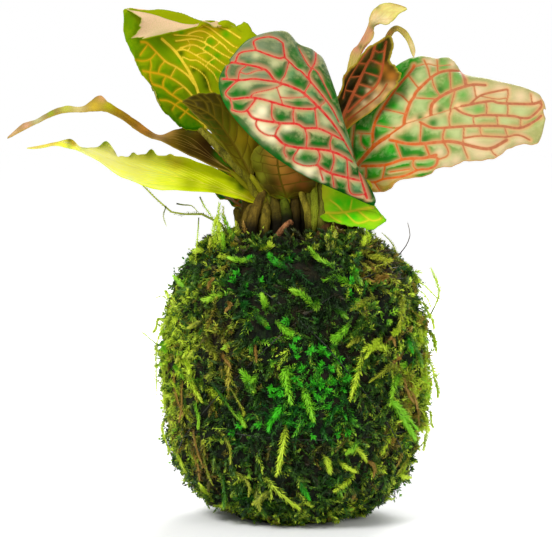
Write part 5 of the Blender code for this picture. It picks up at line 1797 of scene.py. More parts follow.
                  (-76.6, -24, 159.7), (-81.6, -23.5, 159.5), (-87.8, -22.5, 159.1), (-94.1, -21, 157.4),
                  (-100, -19, 154.7), (-105.3, -16.5, 151.9)],
            right=[(-31.8, 2, 144.2), (-39, 6, 152.8), (-46.2, 8, 152.1), (-53.3, 9, 149.6), (-58.5, 9.5, 152.1),
                   (-63.6, 9, 155.9), (-68.7, 8.5, 159.8), (-73.8, 8, 162.6), (-77.6, 7.5, 165.3),
                   (-83.9, 7, 160.8), (-90.1, 5, 161), (-96.2, 3, 159.1), (-101.6, -2, 155.8),
                   (-106.2, -7, 154.3)],
            puff=0.3, wave=0.25, waves=5.5, relief=0.3, scallops=14.0, scallop=0.02, girth=1.5,
            pattern=VeinPattern(ribs=12, ties=1, lean=0.4, rib_half=0.2, tie_half=0.12, middle_half=0.3),
            stains=(
                # Painted shade: dark brown near the blade's base, which lies in shade
                Stain((203, 145), 11, (0.045, 0.02, 0.004), 0.95), Stain((190, 150), 9, (0.06, 0.035, 0.004), 0.9),
                Stain((210, 155), 9, (0.04, 0.018, 0.004), 0.95), Stain((185, 138), 9, (0.06, 0.045, 0.003), 0.9),
                Stain((168, 132), 7, (0.42, 0.24, 0.06), 0.8), Stain((172, 143), 7, (0.2, 0.12, 0.008), 0.8),
                Stain((190, 131), 4, (0.03, 0.05, 0.01), 0.6), Stain((158, 137), 7, (0.44, 0.26, 0.1), 0.8),
                Stain((143, 129), 9, (0.46, 0.2, 0.03), 0.85), Stain((130, 120), 8, (0.32, 0.16, 0.005), 0.85),
                Stain((118, 111), 8, (0.34, 0.2, 0.004), 0.85), Stain((108, 106), 7, (0.4, 0.38, 0.004), 0.85),
                Stain((102, 98), 5, (0.62, 0.32, 0.14), 0.85), Stain((94, 107), 8, (0.62, 0.44, 0.03), 0.85),
                Stain((78, 109), 8, (0.66, 0.56, 0.22), 0.8), Stain((66, 109), 7, (0.52, 0.54, 0.08), 0.85),
                Stain((51, 114), 4, (0.3, 0.4, 0.02), 0.9), Stain((38, 122), 8, (0.56, 0.56, 0.28), 0.8),
                Stain((27, 127), 5, (0.7, 0.38, 0.22), 0.9), Stain((14, 134), 8, (0.64, 0.42, 0.2), 0.9),
                *daubs((0.02, 0.24, 0.006), 0.95, (218, 154, 4), (223, 159, 4), (227, 163, 3)),
                *daubs((0.66, 0.2, 0.03), 0.95, (231, 160, 3), (234, 166, 3)),
            ),
        ),
        Leaf(
            "leaf_left_lower", "stem_left", 0.7, LIME, grade=Leafing.LARGE,
            stalk=[(-10.4, -7, 119)],
            rib=[(-12.9, -9, 123), (-19.5, -10, 126.2), (-26.1, -11, 128.6), (-32.7, -11.5, 130.6),
                 (-39.3, -12, 132.5), (-45.8, -12.5, 134.1), (-52.4, -13, 135.6), (-58.9, -13.5, 137),
                 (-65.5, -14, 138.8), (-72, -14, 141.1), (-77.8, -14, 143.4), (-83.2, -14, 144.9),
                 (-87, -14, 146.9), (-92.8, -14, 147.1), (-98.6, -14, 145.9), (-105.2, -14, 145.3)],
            left=[(-19.5, -12, 125), (-25.6, -17, 126.9), (-31.7, -21, 128.3), (-38.1, -24.5, 129.3),
                  (-45.3, -27, 129.4), (-51.7, -28, 130), (-58.2, -28, 131.4), (-64.7, -27, 134),
                  (-71.2, -26, 137.8), (-77.1, -24, 141.5), (-82.6, -22, 144.6), (-86.7, -19, 145.1),
                  (-92.6, -17, 146.6), (-98.5, -16, 145.4)],
            right=[(-19.7, 1, 130.5), (-26.4, 2, 134.4), (-33.1, 4, 137.7), (-39.8, 5, 140.2), (-46.5, 5, 141.6),
                   (-53.2, 5, 142.1), (-59.9, 5, 142), (-66.5, 4, 141.4), (-73, 2, 144.2), (-78.8, 0, 145.2),
                   (-84, -4, 145.5), (-87.5, -8, 148.7), (-93.1, -11, 147.4), (-98.7, -13, 146.3)],
            puff=0.4, wave=0.3, waves=6.5, relief=0.35, scallops=11.0, scallop=0.01, girth=1.7,
            bumps=((0.44, 2.4, 0.014), (0.513, 1.7, 0.011), (0.365, 0.8, 0.012), (0.575, -1.3, 0.01),
                   (0.62, 3.0, 0.024)),
            pattern=VeinPattern(ribs=16, ties=2, lean=0.5, rib_half=0.2, tie_half=0.12, middle_half=0.35),
            stains=(
                Stain((150, 152), 6, (0.42, 0.56, 0.02), 0.8), Stain((131, 153), 5, (0.36, 0.5, 0.03), 0.9),
                Stain((104, 142), 7, (0.38, 0.6, 0.02), 0.95), Stain((116, 152), 3, (0.12, 0.12, 0.02), 0.95),
                Stain((108, 160), 14, (0.84, 0.8, 0.36), 0.6), Stain((135, 170), 14, (0.78, 0.76, 0.18), 0.6),
                Stain((86, 154), 8, (0.78, 0.78, 0.46), 0.6), Stain((130, 182), 5, (0.66, 0.7, 0.36), 0.7),
                Stain((190, 184), 10, (0.3, 0.38, 0.002), 0.7), Stain((215, 190), 10, (0.28, 0.36, 0.002), 0.7),
                Stain((242, 187), 7, (0.02, 0.1, 0.004), 0.95), Stain((232, 180), 6, (0.12, 0.2, 0.004), 0.6),
                Stain((250, 197), 8, (0.2, 0.15, 0.003), 0.8), Stain((176, 163), 8, (0.62, 0.5, 0.02), 0.6),
                Stain((70, 141), 4, (0.16, 0.14, 0.002), 0.95), Stain((73, 144), 3, (0.5, 0.26, 0.01), 0.8),
                Stain((69, 147), 3, (0.3, 0.44, 0.06), 0.8), Stain((52, 145), 6, (0.66, 0.46, 0.12), 0.9),
                Stain((35, 147), 12, (0.62, 0.45, 0.22), 0.9), Stain((84, 147), 4, (0.4, 0.52, 0.1), 0.7),
            ),
        ),
        Leaf(
            "leaf_lower_right", "stem_right", 0.62, EMERALD, grade=Leafing.SMALL,
            stalk=[(9.5, -7, 117.5)],
            rib=[(9, -10, 119.5), (15.7, -12, 121), (23.6, -14, 121.5), (30.3, -15, 120.5),
                 (35.4, -16, 117.3)],
            left=[(9.5, -9, 130.5), (16, -10, 131), (24.5, -13, 127), (31, -15.5, 122)],
            right=[(13, -17, 117), (22.4, -20, 115.5), (29.5, -20, 114.2)],
            puff=0.8, wave=0.4, relief=0.4, seen=FRESH_VEINS, pattern=None, girth=1.8,
            stains=(
                # Painted light: these tones are brightened to make up for the front leaf's shadow
                Stain((322, 192), 11, (0.66, 0.64, 0.02), 0.85), Stain((318, 206), 8, (0.46, 0.48, 0.01), 0.8),
                *daubs((0.04, 0.62, 0.003), 0.85, (338, 203, 6), (350, 203, 6), (354, 217, 5), (346, 218, 4)),
                Stain((375, 226), 8, (0.34, 0.62, 0.01), 0.7), Stain((372, 213), 6, (0.3, 0.6, 0.008), 0.7),
            ),
        ),
        Leaf(
            "leaf_low_left", "stem_left", 0.6, DARK_GREEN, grade=Leafing.SMALL,
            stalk=[(-12, 1, 117)],
            rib=[(-19, 7, 120), (-24.5, 12, 124), (-30.5, 17, 127.5), (-37, 22, 130)],
            left=[(-26.5, 8, 123.5), (-33, 13, 127.5)],
            right=[(-20, 16, 124), (-27, 22, 128.5)],
            puff=0.8, relief=0.4, pattern=VeinPattern(ribs=5, ties=1, rib_half=0.3),
        ),
        Leaf(
            "small_inner_leaf", "stem_left", 0.9, DARK_GREEN, grade=Leafing.SMALL,
            stalk=[(-14, 4, 123)],
            rib=[(-17.5, 9, 126), (-22, 12, 133), (-27, 14, 141), (-31, 15, 147)],
            left=[(-23, 10, 128), (-29, 12, 134), (-32.5, 14, 142)],
            right=[(-16, 13, 134), (-21, 15, 141), (-27, 16, 146)],
            puff=0.6, relief=0.4, pattern=VeinPattern(ribs=5, ties=1, rib_half=0.35), replaces=False,
        ),
        Leaf(
            "leaf_inner", "stem_centre", 0.76, OLIVE_BROWN, grade=Leafing.SMALL,
            stalk=[(-1.5, -1, 122)],
            rib=[(-3, -6, 125), (-6, -12, 134), (-7, -17, 143), (-6, -21, 151)],
            left=[(-10, -10, 127), (-15.5, -12, 135), (-16.5, -17, 144)],
            right=[(6.5, -10, 128), (8.5, -14, 136), (4, -19, 146)],
            puff=0.5, wave=0.3, relief=0.25, girth=2.0,
            pattern=VeinPattern(ribs=6, ties=1, rib_half=0.16, tie_half=0.1, middle_half=0.35),
            stains=(
                *daubs((0.42, 0.2, 0.025), 0.9, (273, 158, 9), (282, 170, 9), (272, 148, 6)),
                *daubs((0.34, 0.13, 0.02), 0.9, (293, 178, 9), (284, 186, 7)),
                Stain((302, 184), 6, (0.2, 0.06, 0.01)),
                *daubs((0.17, 0.18, 0.008), 0.9, (258, 160, 8), (262, 176, 7), (256, 146, 7)),
                # Painted shade: near black where the leaf goes down into the dark hollow among the stalks
                *daubs((0.05, 0.035, 0.003), 0.85, (270, 184, 6), (276, 192, 6), (297, 193, 7)),
                Stain((283, 198), 6, (0.14, 0.22, 0.004), 0.9),
            ),
        ),
        Leaf(
            "leaf_rear_low", "stem_back", 0.62, CRIMSON,
            stalk=[(7, 17, 119)],
            rib=[(6.5, 23, 122), (5, 34, 130), (4, 46, 132), (3, 62, 127)],
            left=[(-7, 30, 130), (-11, 44, 133), (-5, 56, 130)],
            right=[(17, 32, 130), (19, 45, 132), (11, 57, 129)],
            puff=1.0, relief=0.6, pattern=VeinPattern(ribs=7, ties=3),
        ),
        Leaf(
            "leaf_rear_high", "stem_centre", 0.97, GLOSSY,
            stalk=[(-4, 12, 131)],
            rib=[(-6, 17, 134), (-11, 28, 142), (-15, 42, 146), (-18, 58, 142)],
            left=[(-22, 24, 142), (-29, 38, 146), (-27, 52, 145)],
            right=[(0, 30, 143), (-1, 45, 147), (-9, 55, 145)],
            puff=1.0, relief=0.6, pattern=VeinPattern(ribs=7, ties=3),
        ),
    ]


# The ball

OUTLINE_MARKS = 600


@dataclass(frozen=True)
class BallForm:
    """The outline that the moss, the soil and the line share."""

    radius: float = 50.5
    middle: float = 58.0
    rise: float = 56.0
    drop: float = 62.0
    fullness: float = 3.0
    top_rounding: float = 5 / 12
    foot_rounding: float = 1 / 2
    thickness: float = 5.0
    crest: float = 111.0
    opening: float = 17.5
    lip_height: float = 112.0
    lip_rounding: float = 3.0
    cushion_size: float = 11.0
    cushion_height: float = 5.5

    def radius_at(self, heights: np.ndarray, shrink: float = 0.0) -> np.ndarray:
        """Radii of the smooth outline at these heights, this much smaller all round."""
        above = np.asarray(heights, dtype=float) - self.middle
        reach = np.where(above > 0, self.rise, self.drop) - shrink
        rounding = np.where(above > 0, self.top_rounding, self.foot_rounding)
        inside = np.maximum(0.0, 1 - np.abs(above / reach) ** self.fullness)
        return (self.radius - shrink) * inside**rounding

    def outline(self, low: float, high: float, count: int, shrink: float = 0.0) -> np.ndarray:
        """Walks the outline in even steps.

        Args:
            low: Height to start at.
            high: Height to end at.
            count: How many steps.
            shrink: How far inside the outline.

        Returns:
            Rows of (radius, height).
        """
        heights = np.linspace(low, high, OUTLINE_MARKS)
        line = np.stack([self.radius_at(heights, shrink), heights], axis=1)
        walked = np.concatenate([[0.0], np.cumsum(np.linalg.norm(np.diff(line, axis=0), axis=1))])
        marks = np.linspace(0.0, walked[-1], count)
        return np.stack([np.interp(marks, walked, line[:, k]) for k in range(2)], axis=1)

    def cushions(self, spots: np.ndarray) -> np.ndarray:
        """How far the moss swells out at spots of the outline."""
        places = [Vector(spot) / self.cushion_size for spot in spots]
        swell = [noise.noise(place) * 0.55 + noise.noise(place * 2.7) * 0.4 for place in places]
        return self.cushion_height * np.array(swell)


def turned_skin(profile: np.ndarray, sides: int) -> tuple[np.ndarray, list[np.ndarray]]:
    """Turns a profile round the upright axis.

    Args:
        profile: Rows of (radius, height), the first and the last of them on the axis.
        sides: Points round it.

    Returns:
        The closed body's points and faces.
    """
    turns = np.linspace(0, 2 * math.pi, sides, endpoint=False)
    ring = np.stack([np.cos(turns), np.sin(turns)], axis=1)
    body = profile[1:-1]
    walls = np.concatenate([body[:, None, :1] * ring[None], np.repeat(body[:, None, 1:], sides, axis=1)], axis=2)
    ends = np.array([[0.0, 0.0, profile[0][1]], [0.0, 0.0, profile[-1][1]]])
    points = np.concatenate([walls.reshape(-1, 3), ends])
    last = (len(body) - 1) * sides
    return points, [ring_walls(len(body), sides), *closed_ends(np.arange(sides), last, last + sides)]


@dataclass(frozen=True)
class Habit:
    """How sprigs of one kind grow. A pair is the least and the most."""

    length: tuple[float, float]
    leaflet: tuple[float, float]  # length of a leaflet
    stations: int  # places along a sprig where leaflets stand
    around: int  # leaflets at each of them
    spread: float  # how far leaflets stand off the shoot, in degrees
    broad: float  # half a leaflet's width beside its length
    lift: tuple[float, float]  # how steeply a sprig leaves the mat
    curl: tuple[float, float]  # how much of that it loses again
    bend: float  # how far it may bend to a side
    shoot: float = 0.22  # radius of its bare shoot


class SprigKind(Enum):
    """The kinds of moss sprigs."""

    TUFT = Habit((3.0, 6.0), (1.2, 1.9), 6, 3, 56.0, 0.19, (0.35, 1.1), (0.0, 0.5), 0.35)
    FEATHER = Habit((6.0, 12.0), (1.4, 2.1), 14, 3, 54.0, 0.17, (0.16, 0.5), (0.1, 0.45), 0.5)
    CATERPILLAR = Habit((10.0, 17.0), (1.9, 2.5), 34, 4, 54.0, 0.13, (0.16, 0.34), (0.05, 0.25), 0.3, 0.4)
    STAR = Habit((1.6, 3.2), (1.3, 2.1), 4, 6, 66.0, 0.21, (1.1, 1.9), (0.0, 0.1), 0.2)


class Tone(Enum):
    """Colours of single sprigs, as luck and light, freshness and age."""

    LIME = (1.1, 0.0, 0.0)
    BRIGHT = (0.98, 0.45, 0.0)
    VIVID = (1.18, 0.6, 0.0)
    EMERALD = (0.62, 1.0, 0.0)
    GREEN = (0.62, 0.25, 0.0)
    OLIVE = (0.85, 0.0, 0.35)
    TAN = (1.0, 0.0, 1.0)
    BROWN = (0.25, 0.0, 1.0)


@dataclass(frozen=True)
class Patch:
    """A place on the ball where the moss is of another kind."""

    middle: Spot
    size: float
    strength: float = 1.0

    def at(self, spots: np.ndarray) -> np.ndarray:
        """How strong it is at each spot, from 0 to its strength."""
        far = np.linalg.norm(spots - np.array(self.middle), axis=1)
        return self.strength * smooth_step(-far, -self.size, -0.35 * self.size)


@dataclass(frozen=True)
class SeenSprig:
    """A sprig that stands out in the photograph, root first, by the pixels it runs through."""

    track: tuple[Pixel, ...]
    leaflet: float  # length of its leaflets, in millimetres
    tone: Tone


def sprig(leaflet: float, tone: Tone, *track: Pixel) -> SeenSprig:
    """A sprig with leaflets of this length and this tone through these pixels."""
    return SeenSprig(track, leaflet, tone)


SEEN_SPRIGS = (
    sprig(2.1, Tone.LIME, (362, 350), (347, 397)),
    sprig(2.3, Tone.LIME, (286, 422), (284, 440), (278, 468)),
    sprig(2.2, Tone.LIME, (260, 468), (284, 491), (298, 500)),
    sprig(2.6, Tone.VIVID, (288, 366), (285, 376), (291, 399)),
    sprig(2.4, Tone.VIVID, (302, 384), (312, 416)),
    sprig(2.4, Tone.VIVID, (350, 323), (338, 336), (331, 341)),
    sprig(2.4, Tone.LIME, (388, 357), (380, 350), (371, 347), (360, 351)),
    sprig(2.0, Tone.LIME, (378, 341), (372, 344), (362, 357)),
    sprig(2.1, Tone.BRIGHT, (396, 374), (390, 382), (384, 402)),
    sprig(2.5, Tone.VIVID, (388, 402), (401, 421), (408, 434)),
    sprig(2.3, Tone.VIVID, (381, 398), (392, 404), (409, 424)),
    sprig(2.2, Tone.OLIVE, (396, 292), (397, 304), (393, 330)),
    sprig(2.0, Tone.LIME, (404, 318), (393, 332), (388, 336)),
    sprig(1.9, Tone.LIME, (190, 374), (207, 398)),
    sprig(1.6, Tone.OLIVE, (187, 334), (186, 354), (184, 362)),
    sprig(2.0, Tone.LIME, (182, 358), (194, 365), (196, 371)),
    sprig(1.9, Tone.BRIGHT, (180, 362), (181, 367), (186, 371), (190, 376)),
    sprig(1.2, Tone.OLIVE, (220, 366), (244, 405), (247, 412)),
    sprig(1.5, Tone.GREEN, (210, 376), (241, 415)),
    sprig(1.4, Tone.OLIVE, (214, 425), (224, 430), (230, 437), (234, 447), (234, 457)),
    sprig(1.3, Tone.OLIVE, (228, 466), (239, 469), (247, 474), (252, 481), (251, 489)),
    sprig(1.8, Tone.GREEN, (224, 465), (228, 490), (227, 501)),
    sprig(1.8, Tone.BRIGHT, (258, 263), (242, 265), (232, 264)),
    sprig(1.8, Tone.BRIGHT, (336, 270), (318, 264), (309, 255)),
    sprig(2.1, Tone.EMERALD, (290, 273), (277, 267), (271, 262)),
    sprig(2.2, Tone.BRIGHT, (316, 312), (303, 299), (293, 295)),
    sprig(2.0, Tone.GREEN, (314, 300), (316, 306), (315, 312)),
    sprig(1.9, Tone.BRIGHT, (265, 312), (266, 307), (264, 299)),
    sprig(1.7, Tone.OLIVE, (329, 262), (322, 227)),
    sprig(1.7, Tone.OLIVE, (330, 260), (335, 231)),
    sprig(2.0, Tone.GREEN, (346, 265), (357, 288)),
    sprig(1.8, Tone.GREEN, (256, 316), (268, 327)),
    sprig(2.0, Tone.VIVID, (275, 320), (286, 333), (292, 336)),
    sprig(1.8, Tone.GREEN, (334, 310), (343, 320)),
    sprig(1.8, Tone.OLIVE, (378, 298), (359, 305), (348, 313)),
    sprig(1.6, Tone.OLIVE, (360, 338), (353, 341), (345, 347)),
    sprig(2.4, Tone.VIVID, (259, 373), (255, 380), (250, 378), (246, 372)),
    sprig(2.4, Tone.GREEN, (246, 376), (256, 390)),
    sprig(1.6, Tone.BRIGHT, (239, 410), (248, 422)),
    sprig(2.0, Tone.BRIGHT, (166, 342), (174, 353)),
    sprig(1.7, Tone.LIME, (344, 436), (357, 448), (362, 455)),
    sprig(1.9, Tone.BRIGHT, (356, 438), (351, 444), (344, 448)),
    sprig(1.5, Tone.LIME, (337, 458), (344, 463), (352, 466)),
    sprig(1.9, Tone.LIME, (322, 452), (326, 458), (328, 466)),
    sprig(1.9, Tone.EMERALD, (298, 476), (308, 491)),
    sprig(2.0, Tone.OLIVE, (272, 486), (256, 497)),
    sprig(1.9, Tone.OLIVE, (258, 484), (259, 493), (262, 503)),
    sprig(2.1, Tone.LIME, (422, 350), (430, 380), (430, 394)),
    sprig(2.0, Tone.LIME, (420, 405), (424, 431), (423, 444)),
    sprig(1.2, Tone.LIME, (430, 408), (435, 424)),
    sprig(1.9, Tone.LIME, (424, 330), (430, 340), (432, 352)),
    sprig(1.8, Tone.LIME, (425, 296), (430, 308), (431, 320), (428, 332)),
    sprig(1.9, Tone.GREEN, (403, 330), (412, 354), (414, 366)),
    sprig(1.8, Tone.EMERALD, (406, 336), (403, 344), (405, 353)),
    sprig(1.5, Tone.OLIVE, (412, 444), (392, 468)),
    sprig(1.7, Tone.LIME, (408, 452), (397, 470), (405, 472)),
    sprig(1.7, Tone.OLIVE, (380, 356), (389, 363), (378, 372), (366, 380)),
    sprig(1.6, Tone.TAN, (400, 352), (388, 362)),
    sprig(1.3, Tone.TAN, (399, 370), (402, 391), (406, 400)),
    sprig(1.2, Tone.TAN, (405, 388), (410, 399), (412, 421)),
    sprig(1.3, Tone.TAN, (362, 458), (368, 459), (371, 464), (369, 470)),
    sprig(1.2, Tone.TAN, (384, 344), (388, 339), (389, 346)),
    sprig(1.3, Tone.TAN, (228, 303), (233, 308), (230, 314)),
    sprig(1.3, Tone.TAN, (211, 294), (213, 288), (218, 284)),
    sprig(1.2, Tone.TAN, (223, 352), (234, 366)),
    sprig(1.0, Tone.TAN, (256, 343), (259, 362)),
    sprig(1.3, Tone.TAN, (192, 440), (202, 462), (205, 473)),
    sprig(1.1, Tone.TAN, (184, 372), (187, 404), (186, 418)),
    sprig(1.1, Tone.TAN, (178, 366), (179, 382), (183, 398), (190, 412)),
    sprig(1.0, Tone.TAN, (194, 418), (201, 446), (207, 458)),
    sprig(1.0, Tone.OLIVE, (204, 444), (211, 468), (217, 478)),
    sprig(1.4, Tone.BRIGHT, (196, 398), (203, 414), (204, 424)),
    sprig(1.5, Tone.LIME, (166, 360), (171, 392), (172, 408)),
    sprig(1.4, Tone.LIME, (162, 340), (162, 358), (165, 392)),
    sprig(1.5, Tone.OLIVE, (172, 400), (174, 414), (182, 440)),
    sprig(1.5, Tone.LIME, (164, 414), (167, 426), (177, 447)),
    sprig(1.5, Tone.LIME, (178, 446), (193, 468)),
    sprig(1.5, Tone.LIME, (186, 318), (174, 300), (166, 294)),
    sprig(1.6, Tone.BRIGHT, (190, 292), (180, 281)),
    sprig(1.5, Tone.LIME, (176, 316), (170, 326), (163, 350)),
    sprig(1.5, Tone.LIME, (160, 316), (152, 333)),
    sprig(1.6, Tone.OLIVE, (206, 322), (195, 330)),
    sprig(1.5, Tone.LIME, (214, 494), (205, 478)),
)
STARS = (
    (297, 357), (293, 349), (320, 349), (326, 354), (322, 363), (330, 368), (316, 396), (322, 391), (341, 388),
    (338, 380), (280, 386), (275, 396), (283, 394), (319, 384), (305, 371), (296, 377), (300, 383), (313, 384),
    (332, 385), (344, 378), (272, 388), (350, 285), (352, 278), (236, 284), (240, 276), (246, 290), (262, 284),
    (268, 330), (289, 322), (296, 340), (310, 352), (336, 358), (242, 424), (236, 430), (262, 424), (312, 434),
    (336, 432), (345, 428), (252, 262), (288, 262), (348, 296),
)


@dataclass(frozen=True)
class Runner:
    """A long shoot that leaves the ball, with leaflets set well apart."""

    path: tuple[Spot, ...]
    leaflet: float
    tone: Tone
    shoot: float = 0.32
    stations: int = 30

    def habit(self) -> Habit:
        """How leaflets stand on it."""
        looser = {"stations": self.stations, "shoot": self.shoot, "spread": 58.0, "broad": 0.2}
        return replace(SprigKind.FEATHER.value, **looser)


RUNNERS = (
    Runner(((-24, -13, 108), (-28, -14, 115.5), (-34.2, -14, 119.4), (-40.8, -14, 120.4), (-44.6, -14, 119.2),
            (-50.5, -14, 122.3), (-56.2, -14, 128.3), (-60.5, -14, 132.5)), 0.9, Tone.OLIVE, 0.7, 50),
    Runner(((-46, -15, 123.8), (-43.1, -15, 123.3), (-40, -15, 123), (-37.6, -14.5, 120.4)), 0.5, Tone.OLIVE, 0.4,
           12),
    Runner(((-50, -14.5, 123), (-51, -15, 119), (-50, -15, 115.5)), 0.7, Tone.OLIVE, 0.25, 10),
    Runner(((-37.3, -15, 118.5), (-37.8, -15, 111), (-38.6, -13.5, 103), (-38, -12, 97)), 1.0, Tone.LIME, 0.3, 26),
    Runner(((-31, -13, 96), (-31.5, -15, 105), (-31.5, -15, 113), (-30.5, -14.5, 118)), 2.0, Tone.LIME, 0.4, 34),
    Runner(((-29.5, -14, 97), (-29.5, -16, 105), (-29, -16, 112), (-30, -15, 117)), 2.0, Tone.LIME, 0.4, 34),
    Runner(((-27.5, -16, 98), (-27.5, -18, 105), (-28, -18, 112)), 1.9, Tone.BRIGHT, 0.4, 26),
    Runner(((-32.5, -14, 96), (-33.5, -16, 102), (-33, -16, 110)), 1.9, Tone.OLIVE, 0.4, 26),
    Runner(((-37, -14, 126.5), (-35.4, -14, 123), (-33, -14, 119.5), (-30.5, -14, 115)), 1.0, Tone.LIME, 0.35, 18),
    Runner(((17.5, -20, 100), (20, -21, 106), (21, -21, 112)), 1.7, Tone.LIME, 0.4, 22),
    Runner(((24, -19, 98), (25, -20, 105), (27, -20, 111)), 2.2, Tone.LIME, 0.4, 24),
    Runner(((-31, -15, 112), (-34, -16, 110.5), (-35.5, -16, 112)), 0.3, Tone.BROWN, 0.25, 6),
    Runner(((41, -6, 93), (40.5, -8, 98), (39.5, -9, 104), (37.5, -10, 108.5), (34, -11, 112)), 1.0, Tone.OLIVE,
           0.4, 26),
    Runner(((39.8, -9, 103), (43, -9.5, 107), (44.6, -10, 111.5), (43.6, -10, 116.5)), 0.35, Tone.BROWN, 0.3, 14),
    Runner(((44, -6, 86), (45, -7, 92.5), (48.5, -8, 93), (52, -8, 90), (55, -8, 87)), 1.2, Tone.LIME, 0.35, 26),
    Runner(((53, -6, 80), (56, -8, 87), (55.5, -8, 92), (53, -8, 98)), 1.5, Tone.LIME, 0.4, 28),
    Runner(((55, -8, 87), (57, -8, 86.2), (58, -8, 85.6)), 0.4, Tone.OLIVE, 0.25, 6),
    Runner(((46, -8, 91), (50.5, -9, 88), (53, -9, 83)), 1.1, Tone.LIME, 0.3, 16),
    Runner(((-48, -8, 84), (-51.5, -9, 87.5), (-54, -9, 87)), 0.9, Tone.LIME, 0.3, 14),
    Runner(((-48, -8, 82), (-51, -9, 84), (-53.5, -9, 86)), 0.25, Tone.BROWN, 0.2, 6),
    Runner(((-54, -4, 68), (-57.5, -5, 71), (-60, -5, 73)), 1.1, Tone.LIME, 0.3, 12),
    Runner(((22, -14, 100), (24, -15, 106), (26, -15, 111)), 1.2, Tone.LIME, 0.3, 16),
    Runner(((15, -15, 102), (15.5, -16, 109), (14.5, -16, 116)), 1.5, Tone.OLIVE, 0.35, 20),
    Runner(((26, -15, 100), (27, -16, 106), (28.5, -16, 110), (27.5, -16, 113)), 2.0, Tone.LIME, 0.3, 22),
    Runner(((18, -16, 100), (19, -17, 107), (19, -17, 113)), 1.3, Tone.OLIVE, 0.3, 20),
    Runner(((-24, -12, 100), (-25.5, -13, 108), (-27.5, -13, 116), (-28, -12, 122)), 1.4, Tone.OLIVE, 0.4, 24),
    Runner(((-26, -12, 98), (-28, -13, 106), (-30, -13, 115), (-29.5, -12, 123)), 1.9, Tone.LIME, 0.4, 30),
    Runner(((-22, -12, 99), (-24, -13, 107), (-26, -13, 114), (-28, -12, 119)), 1.9, Tone.BRIGHT, 0.4, 30),
    Runner(((-20, -13, 101), (-21.5, -14, 109), (-23, -14, 116)), 1.8, Tone.OLIVE, 0.4, 26),
    Runner(((-18, -14, 102), (-19, -15, 110), (-20, -15, 116)), 1.7, Tone.TAN, 0.4, 24),
    Runner(((-23, -15, 99), (-24, -16, 106), (-24, -16, 112)), 1.7, Tone.GREEN, 0.4, 24),
    Runner(((20, 30, 94), (22, 34, 101), (21, 35, 108)), 1.2, Tone.LIME, 0.3, 20),
    Runner(((-22, 34, 90), (-25, 38, 97), (-29, 40, 103)), 1.2, Tone.OLIVE, 0.3, 20),
)


@dataclass(frozen=True)
class Crowd:
    """Chance sprigs of one kind that make up a piece."""

    name: str
    kind: SprigKind
    count: int
    band: tuple[float, float]  # the share of the ball's surface that they root in, from its foot


CAST = 120.0  # how far from the middle rays start back to the mat
RUNNER_MARKS = 14
RUNNER_UP = (0.0, -0.35, 0.94)
LINING_MARKS = 24
SIGHT_REACH, SIGHT_MARKS = 60, 81  # where the mat nearest to a line of sight is looked for
LISTED_MARKS = 10
LISTED_DEPTH = 2.0  # how far inside a listed sprig's root lies
STAR_MARKS = 4
STAR_LEAFLETS = (1.6, 2.4)
BAND_MARKS = 400
CROWN = (99.0, 108.0)  # heights from which to which sprigs turn shorter and wilder
FOOT = (-14.0, -3.0)  # the same towards the foot, with the heights taken as negative
CHANCE_MARKS = 8


